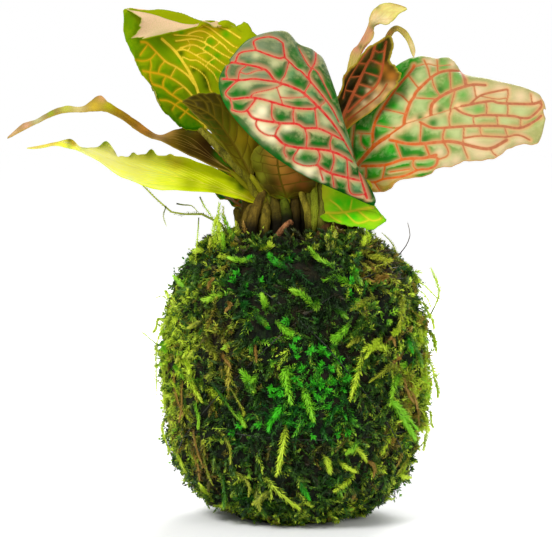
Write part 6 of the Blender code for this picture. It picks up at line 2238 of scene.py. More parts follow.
@dataclass
class MossBall:
    """The moss round the soil: a matted cup under thousands of small sprigs."""

    form: BallForm = field(default_factory=BallForm)
    finish: MossFinish = field(default_factory=MossFinish)
    mat_finish: MatFinish = field(default_factory=MatFinish)
    mat_rings: int = 150
    mat_sides: int = 240
    mat_sink: float = 0.7  # how far the mat lies inside the ball's outline
    mat_foot: float = 0.4  # the height that its swollen skin doesn't go below
    crumple_sizes: tuple[float, float] = (2.6, 1.1)
    crumple_height: float = 0.9
    swirl_size: float = 15.0
    swirl_turn: float = 2.4  # how far its swirls turn sprigs, in radians
    clump_size: float = 5.5
    root_depth: float = 0.6
    luck_range: tuple[float, float] = (0.05, 0.85)
    most_luck: float = 1.05
    fresh_range: tuple[float, float] = (0.3, 1.1)  # what a fresh patch's strength is multiplied by
    aged_range: tuple[float, float] = (0.3, 1.25)
    withered_share: float = 0.1  # how many sprigs are withered wherever they root
    crowds: tuple[Crowd, ...] = (
        Crowd("moss_tufts_low", SprigKind.TUFT, 1533, (0.0, 0.34)),
        Crowd("moss_tufts_middle", SprigKind.TUFT, 1533, (0.34, 0.67)),
        Crowd("moss_tufts_high", SprigKind.TUFT, 1533, (0.67, 1.0)),
        Crowd("moss_foot_tufts", SprigKind.TUFT, 500, (0.0, 0.09)),
        Crowd("moss_feathers_low", SprigKind.FEATHER, 1070, (0.0, 0.36)),
        Crowd("moss_feathers_middle", SprigKind.FEATHER, 1070, (0.36, 0.68)),
        Crowd("moss_feathers_high", SprigKind.FEATHER, 1070, (0.68, 1.0)),
        Crowd("moss_large_sprigs", SprigKind.CATERPILLAR, 110, (0.0, 1.0)),
        Crowd("moss_stars", SprigKind.STAR, 190, (0.05, 0.95)),
    )
    floor: float = 0.15
    seed: int = 29
    most_beside: float = 1.0  # how far off the mat a seen sprig may be rooted
    seen_clear: float = 2.2  # how far chance sprigs of the larger kind keep from the seen ones
    seen_lift: tuple[float, float] = (1.6, 3.2)  # how far these lie off the mat, at root and tip
    fresh: tuple[Patch, ...] = (
        Patch((8, -51, 52), 21, 1.0),
        Patch((1, -51, 63), 11, 1.0),
        Patch((-8, -50, 48), 10, 0.9),
        Patch((13, -50, 65), 12, 0.8),
        Patch((-20, -38, 89), 14, 0.6),
        Patch((-13, -46, 77), 9, 0.6),
        Patch((-4, -34, 98), 10, 0.7),
        Patch((22, -36, 91), 10, 0.6),
        Patch((43, -24, 68), 8, 0.7),
        Patch((-20, -46, 36), 9, 0.6),
        Patch((-18, -38, 11), 10, 0.6),
        Patch((16, -45, 18), 11, 0.5),
        Patch((-40, 30, 60), 30, 0.7),
        Patch((30, 42, 50), 26, 0.7),
    )
    aged: tuple[Patch, ...] = (
        Patch((-27, -42, 77), 15, 0.75),
        Patch((-26, -43, 82), 7, 1.0),
        Patch((-32, -35, 90), 8, 0.8),
        Patch((-27, -43, 62), 8, 0.8),
        Patch((-41, -30, 38), 18, 0.65),
        Patch((-37, -30, 22), 11, 0.9),
        Patch((31, -20, 100), 16, 0.85),
        Patch((22, -12, 108), 12, 0.6),
        Patch((41, -30, 52), 9, 0.8),
        Patch((46, -24, 42), 8, 0.8),
        Patch((37, -36, 32), 10, 0.7),
        Patch((27, -41, 22), 6, 0.9),
        Patch((10, -50, 32), 7, 0.7),
        Patch((22, -40, 14), 11, 0.6),
        Patch((2, -22, 106), 10, 0.6),
        Patch((0, 50, 80), 18, 0.7),
        Patch((50, 10, 30), 15, 0.6),
        Patch((-35, 38, 30), 14, 0.6),
    )
    bare: tuple[Patch, ...] = (Patch((-4, -17, 109), 13), Patch((-10, -12, 110), 10))
    # Painted light and shade: they raise the sprigs' brightness where the ball's sides catch the light and at its
    # foot, and lower it over the front's middle, which lies in shade
    lit: tuple[Patch, ...] = (
        Patch((-52, -6, 60), 44, 0.42),
        Patch((52, -8, 60), 44, 0.45),
        Patch((30, -28, 98), 18, 0.15),
        Patch((-4, -40, 96), 30, -0.4),
        Patch((0, -50, 30), 30, -0.22),
        Patch((-18, -48, 50), 20, -0.3),
        Patch((12, -50, 80), 18, -0.25),
        Patch((0, 30, 55), 60, 0.12),
        Patch((0, 0, -6), 46, 0.3),
    )

    def build(self, camera: PhotoCamera) -> BVHTree:
        """Makes the mat, the sprigs and the runners.

        Args:
            camera: Through which the listed sprigs were seen.

        Returns:
            The mat's surface.
        """
        mat, tree = self.make_mat()
        place_piece(mat, self.mat_finish.slot, "moss_cover")
        living = self.finish.mix()
        draw = np.random.default_rng(self.seed)
        shown = Shell()
        listed = self.seen_growth(tree, camera, draw)
        kept_clear = KDTree(sum(growth.paths[..., 0].size for growth, _ in listed))
        for growth, kind in listed:
            grow_sprigs(shown, growth, kind.value, draw, self.floor)
            for number, spot in enumerate(growth.paths.reshape(-1, 3)):
                kept_clear.insert(spot, number)
        kept_clear.balance()
        place_piece(shown.piece("moss_bright_sprigs", living, smooth=False), self.finish.slot)
        for crowd in self.crowds:
            shell = Shell()
            growth = self.chance_growth(tree, draw, crowd, kept_clear)
            grow_sprigs(shell, growth, crowd.kind.value, draw, self.floor)
            place_piece(shell.piece(crowd.name, living, smooth=False), self.finish.slot)
        runners = Shell()
        for runner in RUNNERS:
            path = read_curve(runner.path, np.linspace(0, 1, RUNNER_MARKS))[None]
            growth = Growth.of_tone(path, np.array([RUNNER_UP]), np.array([runner.leaflet]), runner.tone)
            grow_sprigs(runners, growth, runner.habit(), draw, self.floor)
        place_piece(runners.piece("moss_runners", living, smooth=False), self.finish.slot)
        return tree

    def make_mat(self) -> tuple[bpy.types.Object, BVHTree]:
        """Makes the matted cup.

        Returns:
            Its piece, and the tree that sprigs are rooted on.
        """
        form = self.form
        skin = form.outline(0.0, form.crest, self.mat_rings)
        inner_high = form.middle + form.rise - form.thickness
        lining = form.outline(form.thickness, inner_high, LINING_MARKS, form.thickness)
        lining = lining[(lining[:, 0] > form.opening - 0.5) | (lining[:, 1] < form.middle)]
        lip = [(skin[-1][0] - form.lip_rounding, form.lip_height - 1.5), (form.opening, form.lip_height - 3.0)]
        inward = [(form.opening, lining[-1][1] + 1.0), *lining[::-1]]
        profile = np.array([(0.0, 0.0), *skin, *lip, *inward, (0.0, form.thickness)])
        points, faces = turned_skin(profile, self.mat_sides)
        swollen = slice(self.mat_sides, len(skin) * self.mat_sides)
        spots = points[swollen]
        outward = unit(spots - np.array([0.0, 0.0, form.middle]))
        broad, small = self.crumple_sizes
        crumple = np.array(
            [noise.noise(Vector(spot) / broad) + 0.5 * noise.noise(Vector(spot) / small) for spot in spots]
        )
        rise = form.cushions(spots) - self.mat_sink + self.crumple_height * crumple
        moved = spots + outward * rise[:, None]
        moved[:, 2] = np.maximum(moved[:, 2], self.mat_foot)
        points[swollen] = moved
        shell = Shell()
        shell.add(points, faces)
        triangles = [tuple(face) for group in faces for face in group]
        tree = BVHTree.FromPolygons([Vector(point) for point in points], triangles)
        return shell.piece("moss_mat", self.mat_finish.mix()), tree

    def on_mat(self, tree: BVHTree, camera: PhotoCamera, pixel: Pixel) -> tuple[np.ndarray, np.ndarray]:
        """Finds the mat at a pixel.

        Args:
            tree: The mat.
            camera: The photograph's camera.
            pixel: Across and down.

        Returns:
            The spot that is seen there, or beside which it is seen, and which way is outward.
        """
        start = camera.place()
        way = camera.sight(pixel)
        hit, _, _, _ = tree.ray_cast(Vector(start), Vector(way))
        if hit is None:
            reach = np.linspace(camera.distance - SIGHT_REACH, camera.distance + SIGHT_REACH, SIGHT_MARKS)
            steps = start + way * reach[:, None]
            near = [tree.find_nearest(Vector(step)) for step in steps]
            best = int(np.argmin([found[3] for found in near]))
            on, beside = np.array(near[best][0]), steps[best]
            hit = on + (beside - on) * min(1.0, self.most_beside / max(near[best][3], TINY))
        spot = np.array(hit)
        return spot, unit(spot - np.array([0.0, 0.0, self.form.middle]))

    def seen_growth(
        self, tree: BVHTree, camera: PhotoCamera, draw: np.random.Generator
    ) -> list[tuple[Growth, SprigKind]]:
        """Places the sprigs and the stars that were listed from the photograph.

        Args:
            tree: The mat.
            camera: The photograph's camera.
            draw: The source of chance, which the stars' leans come from.

        Returns:
            Each sprig, and last all the stars, with their kinds.
        """
        made = []
        for listed in SEEN_SPRIGS:
            track = read_curve([(x, y, 0.0) for x, y in listed.track], np.linspace(0, 1, LISTED_MARKS))[:, :2]
            found = [self.on_mat(tree, camera, pixel) for pixel in track]
            outward = unit(np.mean([way for _, way in found], axis=0))
            lift = np.linspace(*self.seen_lift, len(found))
            path = np.array([spot + way * rise for (spot, way), rise in zip(found, lift)])
            path[1:-1] = (path[:-2] + path[1:-1] * 2 + path[2:]) / 4
            path[0] -= outward * LISTED_DEPTH
            leaflet = np.array([listed.leaflet])
            made.append((Growth.of_tone(path[None], outward[None], leaflet, listed.tone), SprigKind.CATERPILLAR))
        roots, ways = zip(*(self.on_mat(tree, camera, pixel) for pixel in STARS))
        roots, ways = np.array(roots), np.array(ways)
        marks = np.linspace(0.0, 1.0, STAR_MARKS)[None, :, None]
        leans = unit(ways + draw.normal(0, 0.35, (len(ways), 3)))
        paths = roots[:, None] + ways[:, None] * 0.6 + leans[:, None] * marks * 2.4
        leaflets = draw.uniform(*STAR_LEAFLETS, len(roots))
        made.append((Growth.of_tone(paths, ways, leaflets, Tone.EMERALD), SprigKind.STAR))
        return made

    def root_spots(
        self, tree: BVHTree, draw: np.random.Generator, count: int, band: tuple[float, float]
    ) -> tuple[np.ndarray, np.ndarray]:
        """Scatters roots evenly over a band of the mat.

        Args:
            tree: The mat.
            draw: The source of chance.
            count: How many roots.
            band: The share of the ball's surface that they lie in, from its foot.

        Returns:
            The roots, and which way is outward at each.
        """
        form = self.form
        line = form.outline(1.0, form.crest + 0.6, BAND_MARKS)
        area = np.concatenate([[0.0], np.cumsum(0.5 * (line[1:, 0] + line[:-1, 0]))])
        share = band[0] + (band[1] - band[0]) * (np.arange(count) + draw.uniform(0, 1, count)) / count
        heights = np.interp(share * area[-1], area, line[:, 1])
        turns = np.arange(count) * math.pi * GOLDEN + draw.uniform(-0.5, 0.5, count)
        roots, ways = [], []
        centre = np.array([0.0, 0.0, form.middle])
        for height, turn in zip(heights, turns):
            radius = float(form.radius_at(np.array(height)))
            spot = np.array([radius * math.cos(turn), radius * math.sin(turn), height])
            way = unit(spot - centre)
            hit, normal, _, _ = tree.ray_cast(Vector(centre + way * CAST), Vector(-way))
            roots.append(hit)
            ways.append(unit(np.array(normal) * 0.45 + way))
        return np.array(roots), unit(np.array(ways))

    def chance_growth(self, tree: BVHTree, draw: np.random.Generator, crowd: Crowd, kept_clear: KDTree) -> Growth:
        """Scatters sprigs by chance.

        Args:
            tree: The mat that they root on.
            draw: The source of chance.
            crowd: How many there are at most, of which kind, and where.
            kept_clear: Spots of the listed sprigs, which only tufts may cover.

        Returns:
            How they grow.
        """
        kind = crowd.kind
        roots, outward = self.root_spots(tree, draw, crowd.count, crowd.band)
        clear = sum(patch.at(roots) for patch in self.bare) < 0.5
        if kind is not SprigKind.TUFT:
            clear &= np.array([kept_clear.find(root)[2] > self.seen_clear for root in roots])
        roots, outward = roots[clear], outward[clear]
        paths = self.chance_paths(tree, draw, kind, roots, outward)
        luck, fresh, aged = self.chance_tones(draw, kind, roots)
        return Growth(paths, outward, draw.uniform(*kind.value.leaflet, len(roots)), luck, fresh, aged)

    def chance_paths(
        self, tree: BVHTree, draw: np.random.Generator, kind: SprigKind, roots: np.ndarray, outward: np.ndarray
    ) -> np.ndarray:
        """Lets sprigs creep over the mat from their roots.

        Args:
            tree: The mat.
            draw: The source of chance.
            kind: What they are like.
            roots: Where they root.
            outward: Which way is outward there.

        Returns:
            Their middles, shaped (sprigs, marks, 3).
        """
        habit, count = kind.value, len(roots)
        down = square_to(np.broadcast_to([0.0, 0.0, -1.0], roots.shape), outward)
        beside = np.cross(outward, down)
        crown = smooth_step(roots[:, 2], *CROWN)
        foot = smooth_step(-roots[:, 2], *FOOT)
        swirl = np.array([noise.noise(Vector(root) / self.swirl_size) for root in roots]) * self.swirl_turn
        angle = swirl + draw.normal(0.0, 0.75 + 0.9 * crown, count)
        if kind is SprigKind.TUFT:
            angle = draw.uniform(-math.pi, math.pi, count)
        angle = angle + foot * 0.9 * np.sign(angle)
        lean = np.cos(angle)[:, None] * down + np.sin(angle)[:, None] * beside
        aside = np.cross(outward, lean)
        length = (draw.uniform(*habit.length, count) * (1.0 - 0.3 * crown) * (1.0 - 0.45 * foot))[:, None, None]
        lift = (draw.uniform(*habit.lift, count) + 0.25 * crown)[:, None, None]
        curl = (draw.uniform(*habit.curl, count) * (1.0 - crown))[:, None, None]
        bend = draw.uniform(-habit.bend, habit.bend, count)[:, None, None]
        marks = np.linspace(0.0, 1.0, CHANCE_MARKS)[None, :, None]
        creep = lean[:, None] * marks * (1 - 0.1 * marks) + aside[:, None] * bend * marks**2
        flat = roots[:, None] + length * creep
        if kind is not SprigKind.STAR:
            on = [tree.find_nearest(Vector(spot))[0] for spot in flat.reshape(-1, 3)]
            flat = np.array(on).reshape(flat.shape)
        rise = length * (lift * marks - curl * marks**2) - self.root_depth
        paths = flat + outward[:, None] * rise
        paths[:, 1:-1] = (paths[:, :-2] + paths[:, 1:-1] * 2 + paths[:, 2:]) / 4
        return paths

    def chance_tones(
        self, draw: np.random.Generator, kind: SprigKind, roots: np.ndarray
    ) -> tuple[np.ndarray, np.ndarray, np.ndarray]:
        """Colours sprigs by the patches that they root in, painted light and shade among them, and by chance.

        Args:
            draw: The source of chance.
            kind: What they are like.
            roots: Where they root.

        Returns:
            Their luck and light, freshness and age.
        """
        count = len(roots)
        fresh = np.clip(sum(patch.at(roots) for patch in self.fresh), 0, 1)
        aged = np.clip(sum(patch.at(roots) for patch in self.aged), 0, 1)
        clumps = np.array([noise.noise(Vector(root) / self.clump_size) for root in roots])
        luck = draw.uniform(*self.luck_range, count) + 0.5 * clumps + sum(patch.at(roots) for patch in self.lit)
        luck = np.clip(luck, 0.0, self.most_luck)
        aged = aged * draw.uniform(*self.aged_range, count)
        withered = draw.uniform(0, 1, count) < self.withered_share
        aged = np.clip(aged + withered * 0.8, 0, 1) * (1 - 0.8 * fresh)
        fresh = np.clip(fresh * draw.uniform(*self.fresh_range, count), 0, 1)
        if kind is SprigKind.STAR:
            fresh, aged = np.clip(fresh + 0.35, 0, 1), aged * 0.2
        if kind is SprigKind.CATERPILLAR:
            luck = np.clip(luck + 0.45, 0.0, 1.1)
        return luck, fresh, aged


@dataclass(frozen=True)
class Growth:
    """Where sprigs of one kind grow: one row of each array for each sprig."""

    paths: np.ndarray  # shaped (sprigs, marks, 3)
    outward: np.ndarray
    leaflet: np.ndarray
    luck: np.ndarray
    fresh: np.ndarray
    aged: np.ndarray

    @classmethod
    def of_tone(cls, paths: np.ndarray, outward: np.ndarray, leaflet: np.ndarray, tone: Tone) -> Growth:
        """Sprigs that are all of one tone."""
        return cls(paths, outward, leaflet, *(np.full(len(paths), share) for share in tone.value))

    def frames(self, shares: np.ndarray) -> tuple[np.ndarray, np.ndarray, np.ndarray, np.ndarray]:
        """Finds how every sprig runs.

        Args:
            shares: The shares of its length to look at.

        Returns:
            Its middle, its way on, up from the mat and to its side, each shaped (sprigs, shares, 3).
        """
        spots = self.spots(shares)
        ahead, behind = np.minimum(shares + LOOK_AHEAD, 1.0), np.maximum(shares - LOOK_AHEAD, 0.0)
        ways = unit(self.spots(ahead) - self.spots(behind))
        up = square_to(np.broadcast_to(self.outward[:, None], ways.shape), ways)
        return spots, ways, up, np.cross(ways, up)

    def spots(self, shares: np.ndarray) -> np.ndarray:
        """Points along every sprig's middle, at these shares of its length."""
        spans = self.paths.shape[1] - 1
        first = np.minimum((shares * spans).astype(int), spans - 1)
        part = (shares * spans - first)[None, :, None]
        return self.paths[:, first] * (1 - part) + self.paths[:, first + 1] * part


LOOK_AHEAD = 0.04
FIRST_STATION = 0.06
FAN_EDGE = 0.35  # how far below the mat's own plane the outermost leaflets stand, in radians
FAN_STRAY, SPREAD_STRAY, LUCK_STRAY = 0.22, 0.16, 0.09
LEAFLET_LENGTHS = (0.7, 1.2)  # what a leaflet's length is multiplied by
LEAFLET_FACES = ((0, 3, 1), (0, 2, 3), (0, 1, 2), (1, 3, 2))
LEAFLET_WIDEST = 0.42  # as a share of its length
LEAFLET_PUSHES = (-0.12, 0.0, 0.0, 0.12)  # what its points add to the share walked
SHOOT_SIDES = 3


def grow_sprigs(shell: Shell, growth: Growth, habit: Habit, draw: np.random.Generator, floor: float) -> None:
    """Adds sprigs: bare shoots with closed pointed leaflets that stand round their upper side.

    Args:
        shell: Where they go.
        growth: Where they grow.
        habit: How leaflets stand on them.
        draw: The source of chance.
        floor: The height that nothing goes below.
    """
    size = (len(growth.paths), habit.stations)
    shares = np.linspace(FIRST_STATION, 1.0, habit.stations)
    spots, ways, up, side = growth.frames(shares)
    taper = (0.55 + 0.5 * smooth_step(shares, 0.0, 0.3)) * (1.0 - 0.28 * shares**5)
    stagger = 0.5 * (np.arange(habit.stations) % 2)
    reach = np.stack([shares + push for push in LEAFLET_PUSHES], axis=1)
    number = np.arange(size[0] * size[1])[:, None] * 4
    faces = np.concatenate([number + np.array(face) for face in LEAFLET_FACES])
    for row in range(habit.around):
        fan = (row + stagger) / (habit.around - 0.5)
        angle = -FAN_EDGE + (math.pi + 2 * FAN_EDGE) * fan + draw.normal(0.0, FAN_STRAY, size)
        spread = math.radians(habit.spread) * (1.0 - 0.6 * shares**4) + draw.normal(0.0, SPREAD_STRAY, size)
        radial = np.cos(angle)[..., None] * side + np.sin(angle)[..., None] * up
        way = unit(np.cos(spread)[..., None] * ways + np.sin(spread)[..., None] * radial)
        long = (growth.leaflet[:, None] * taper * draw.uniform(*LEAFLET_LENGTHS, size))[..., None]
        flat = square_to(ways, way)
        wide = habit.broad * long
        middle, across, sunk = spots + way * LEAFLET_WIDEST * long, np.cross(way, flat) * wide, flat * wide * 0.5
        tip = spots + way * long + ways * 0.1 * long
        body = np.stack([spots, middle + across - sunk, middle - across - sunk, tip], axis=2)
        body[..., 2] = np.maximum(body[..., 2], floor + 0.05 * np.arange(4))
        luck = growth.luck[:, None] + draw.normal(0.0, LUCK_STRAY, size)
        shell.add(
            body,
            [faces],
            reach=np.broadcast_to(reach, (*size, 4)).ravel(),
            luck=np.repeat(luck.ravel(), 4),
            fresh=np.repeat(growth.fresh, size[1] * 4),
            aged=np.repeat(growth.aged, size[1] * 4),
        )
    add_shoots(shell, growth, habit.shoot, floor)


def add_shoots(shell: Shell, growth: Growth, radius: float, floor: float, rings: int = 5) -> None:
    """Adds the sprigs' bare shoots: closed three-sided spikes.

    Args:
        shell: Where they go.
        growth: Where they grow.
        radius: Their radius at the root.
        floor: The height that nothing goes below.
        rings: How many rings of points each has at least.
    """
    count = len(growth.paths)
    rings = max(rings, growth.paths.shape[1] // 2)
    shares = np.linspace(0.0, 0.98, rings)
    spots, _, up, side = growth.frames(shares)
    radii = (radius * (1.0 - 0.55 * shares))[None, :, None]
    turns = [2 * math.pi * k / SHOOT_SIDES for k in range(SHOOT_SIDES)]
    walls = np.stack([spots + radii * (math.cos(a) * side + math.sin(a) * up) for a in turns], axis=2)
    walls[..., 2] = np.maximum(walls[..., 2], floor)
    whole = rings * SHOOT_SIDES
    ends = np.array([[2, 1, 0], [whole - 3, whole - 2, whole - 1]])
    number = np.arange(count)[:, None, None] * whole
    shell.add(
        walls,
        [(ring_walls(rings, SHOOT_SIDES) + number).reshape(-1, 4), (ends + number).reshape(-1, 3)],
        reach=np.broadcast_to(np.repeat(shares, SHOOT_SIDES), (count, whole)).ravel(),
        luck=np.repeat(growth.luck, whole),
        fresh=np.repeat(growth.fresh, whole),
        aged=np.repeat(growth.aged, whole),
    )


@dataclass
class BindingLine:
    """The thin line that is wound round the moss, each turn in a plane of its own."""

    finish: GrainFinish = GrainFinish(
        "nylon", "nylon_line", (0.006, 0.008, 0.005), (0.03, 0.036, 0.024), 900.0, (1, 1, 1), 0.4, 0.0001, 0.3
    )
    radius: float = 0.2
    lift: float = 0.1
    steps: int = 180
    sides: int = 6
    smoothing: int = 9  # steps to either side over which it is pulled straight
    turns: tuple[tuple[Spot, float], ...] = (
        ((0.05, -0.1, 1.0), 42.0), ((-0.62, 0.3, 0.72), 60.0), ((0.66, 0.34, 0.66), 57.0),
    )

    def build(self, tree: BVHTree) -> None:
        """Makes the line, pulled tight over the mat.

        Args:
            tree: The mat.
        """
        shell = Shell()
        for normal, height in self.turns:
            axis = unit(np.array(normal))
            first = square_to(np.array([1.0, 0.0, 0.0]), axis)
            second = np.cross(axis, first)
            centre = np.array([0.0, 0.0, height])
            angles = np.linspace(0, 2 * math.pi, self.steps, endpoint=False)
            ways = np.cos(angles)[:, None] * first + np.sin(angles)[:, None] * second
            hits = [tree.ray_cast(Vector(centre + way * CAST), Vector(-way))[0] for way in ways]
            reach = np.linalg.norm(np.array(hits) - centre, axis=1)
            near = np.stack([np.roll(reach, k) for k in range(-self.smoothing, self.smoothing + 1)])
            path = centre + ways * (0.5 * near.max(axis=0) + 0.5 * near.mean(axis=0) + self.lift)[:, None]
            path = np.vstack([path, path[:2]])
            shell.add(*tube(path, np.full(len(path), self.radius), self.sides))
        place_piece(shell.piece("nylon_turns", self.finish.mix()), self.finish.slot, "binding_line")


# What else the plant has


@dataclass(frozen=True)
class Sheath:
    """An old leaf's sheath or stalk by the stems, foot first."""

    path: tuple[Spot, ...]
    foot: float  # radius
    top: float
    colour: Colour
    dark_below: float = 60.0  # height under which it is painted nearly black as shade


@dataclass
class StemGroup:
    """The stems, with their joints' swellings."""

    finish: GrainFinish = GrainFinish(
        "fresh_stem", "stem", (0.035, 0.026, 0.002), (0.14, 0.15, 0.008), 500.0, (1, 1, 0.2), 0.6, 0.0003
    )
    old: GrainFinish = GrainFinish(
        "withered_sheath", "stem", (0.006, 0.004, 0.001), (0.12, 0.1, 0.008), 560.0, (1, 1, 0.2), 0.8, 0.0006,
        tinted=True,
    )
    girth: float = 1.45  # beside the solids' radius
    joints: tuple[tuple[float, float], ...] = ((0.62, 0.16), (0.9, 0.14))  # share of the stem, and swelling
    joint_width: float = 0.035
    blunt: float = 0.6  # the radius of a tube's end beside the rest
    blunt_from: float = 0.97
    wet: float = 0.06  # what is left of a sheath's colour in its painted shade
    sides: int = 20
    rings: int = 60
    sheaths: tuple[Sheath, ...] = (
        Sheath(((-13, -2, 124.7), (-21.6, 1, 135.6), (-28.7, 2, 143.4), (-34.2, 3, 148.9), (-38.2, 4, 152.8)),
               1.5, 1.2, (0.3, 0.27, 0.025)),
        Sheath(((-11, -5, 112), (-13, -6, 120.2), (-15.3, -6, 126.8), (-19.2, -5, 136.6), (-23.9, -4, 145.1),
                (-28.6, -2, 152.1)), 2.0, 1.5, (0.21, 0.19, 0.01), 117),
        Sheath(((-12, 2, 112), (-12.2, 2, 123), (-15.4, 3, 132.4), (-17.7, 3, 139.5), (-19.3, 3, 145.7)),
               2.6, 1.4, (0.02, 0.006, 0.004), 112),
        Sheath(((-8.5, -5, 112), (-9.8, -6, 119.4), (-11.4, -6, 126.8), (-13.7, -6, 135.8), (-16.1, -6, 143.6),
                (-17.6, -6, 149)), 2.2, 1.7, (0.15, 0.16, 0.01), 117),
        Sheath(((-7, -8, 106), (-7.1, -8, 116.5), (-8.5, -6, 125), (-10, -2, 134)), 3.0, 1.0,
               (0.085, 0.065, 0.006), 117),
        Sheath(((-2.5, -9, 106), (-3.2, -9, 116.6), (-4, -7, 122), (-5, -4, 128), (-6, 0, 135)), 2.5, 0.8,
               (0.085, 0.11, 0.005), 119),
        Sheath(((-1, -6, 106), (-0.5, -6, 115.6), (0, -5, 123), (0.5, -1, 132)), 3.2, 0.9, (0.06, 0.04, 0.005),
               117),
        Sheath(((6, -9, 106), (5.3, -10, 114.2), (4.5, -10, 121.2), (2.6, -9, 127), (1.1, -5, 134)), 1.5, 1.0,
               (0.26, 0.22, 0.02), 114),
        Sheath(((7.2, -8, 106), (6.9, -9, 114.9), (6.1, -9, 123.1), (4.2, -8, 132), (3, -7, 139)), 1.5, 0.9,
               (0.15, 0.15, 0.01), 112),
        Sheath(((6, -8, 104), (6.5, -9, 111.8), (7.6, -10, 120.4), (7.3, -10, 127.4), (6.9, -9, 137)), 1.8, 1.1,
               (0.24, 0.28, 0.015), 111),
        Sheath(((10, -8, 106), (10.5, -9, 114), (10.5, -9, 122), (10, -8, 129), (9, -7, 137)), 2.4, 1.1,
               (0.2, 0.2, 0.02), 113),
        Sheath(((-14, -6, 104), (-14, -6, 112), (-13, -5, 120), (-12, -4, 128)), 3.0, 1.2, (0.05, 0.035, 0.004)),
        Sheath(((-18, -14, 104), (-17.6, -14, 110.5), (-16.8, -13, 116.7), (-14.9, -11, 122.8), (-12.6, -9, 128),
                (-11, -6, 133)), 2.5, 0.9, (0.13, 0.085, 0.01), 115),
        Sheath(((-21.5, -12, 106), (-20.3, -12, 112), (-19.1, -11, 118.5), (-16.8, -10, 123.9)), 1.9, 1.0,
               (0.11, 0.075, 0.008), 113),
        Sheath(((-15, -10, 102), (-16.8, -9, 112), (-18.6, -8, 119), (-19, -7, 126)), 3.2, 1.6,
               (0.085, 0.055, 0.006), 110),
        Sheath(((-17, -9, 102), (-19.5, -9, 110), (-21.5, -8, 116), (-23, -7, 122)), 2.4, 1.4,
               (0.085, 0.06, 0.006), 106),
        Sheath(((9, -11, 102), (12, -12, 109), (15, -12, 114), (20, -12, 117)), 2.4, 1.6, (0.055, 0.026, 0.008),
               104),
        Sheath(((12, -9, 102), (16, -10, 108), (20, -10, 113), (24, -11, 116)), 2.2, 1.4, (0.04, 0.02, 0.006), 104),
        Sheath(((6, -12, 104), (9.5, -12.5, 111), (13, -13, 115), (18, -13.5, 116.2)), 2.0, 1.2,
               (0.1, 0.045, 0.012), 106),
        Sheath(((-12.3, -11, 106), (-12.2, -11, 113.5), (-11.8, -10, 119.6), (-12, -6, 126), (-11, -2, 132)), 2.4,
               1.5, (0.17, 0.13, 0.012), 112),
        Sheath(((-10, 1, 104), (-10.5, 2, 114), (-9, 2, 122), (-6, 2, 133)), 3.0, 1.5, (0.06, 0.05, 0.005), 117),
        Sheath(((1, -4, 104), (2.5, -4, 114), (3.5, -4, 123), (5, -5, 131)), 3.0, 1.5, (0.06, 0.05, 0.005), 117),
    )

    def build(self) -> None:
        """Makes the four stems, and the withered sheaths of old leaves round their feet."""
        material = self.finish.mix()
        share = np.linspace(0.0, 1.0, self.rings)
        blunt = np.where(share > self.blunt_from, self.blunt, 1.0)
        joints = sum(swell * np.exp(-(((share - place) / self.joint_width) ** 2)) for place, swell in self.joints)
        for name, path in STEM_PATHS.items():
            shell = Shell()
            shell.add(*tube(read_curve(path, share), STEM_RADIUS * (self.girth + joints) * blunt, self.sides))
            place_piece(shell.piece(name + "_dressed", material), self.finish.slot, name)
        sheaths = Shell()
        for sheath in self.sheaths:
            radii = (sheath.foot + (sheath.top - sheath.foot) * share**2) * (1.0 + 0.04 * np.sin(37 * share))
            points, faces = tube(read_curve(sheath.path, share), radii * blunt, self.sides)
            # Painted shade: below its dark_below height a sheath's colour falls to a small share of itself
            lit = smooth_step(points[:, 2], sheath.dark_below - 1.0, sheath.dark_below + 5.0)
            shown = self.wet + (1.0 - self.wet) * lit
            tint = np.append(shown[:, None] * np.array(sheath.colour), np.ones((len(points), 1)), axis=1)
            sheaths.add(points, faces, tint=tint)
        place_piece(sheaths.piece("leaf_sheaths", self.old.mix()), self.old.slot)


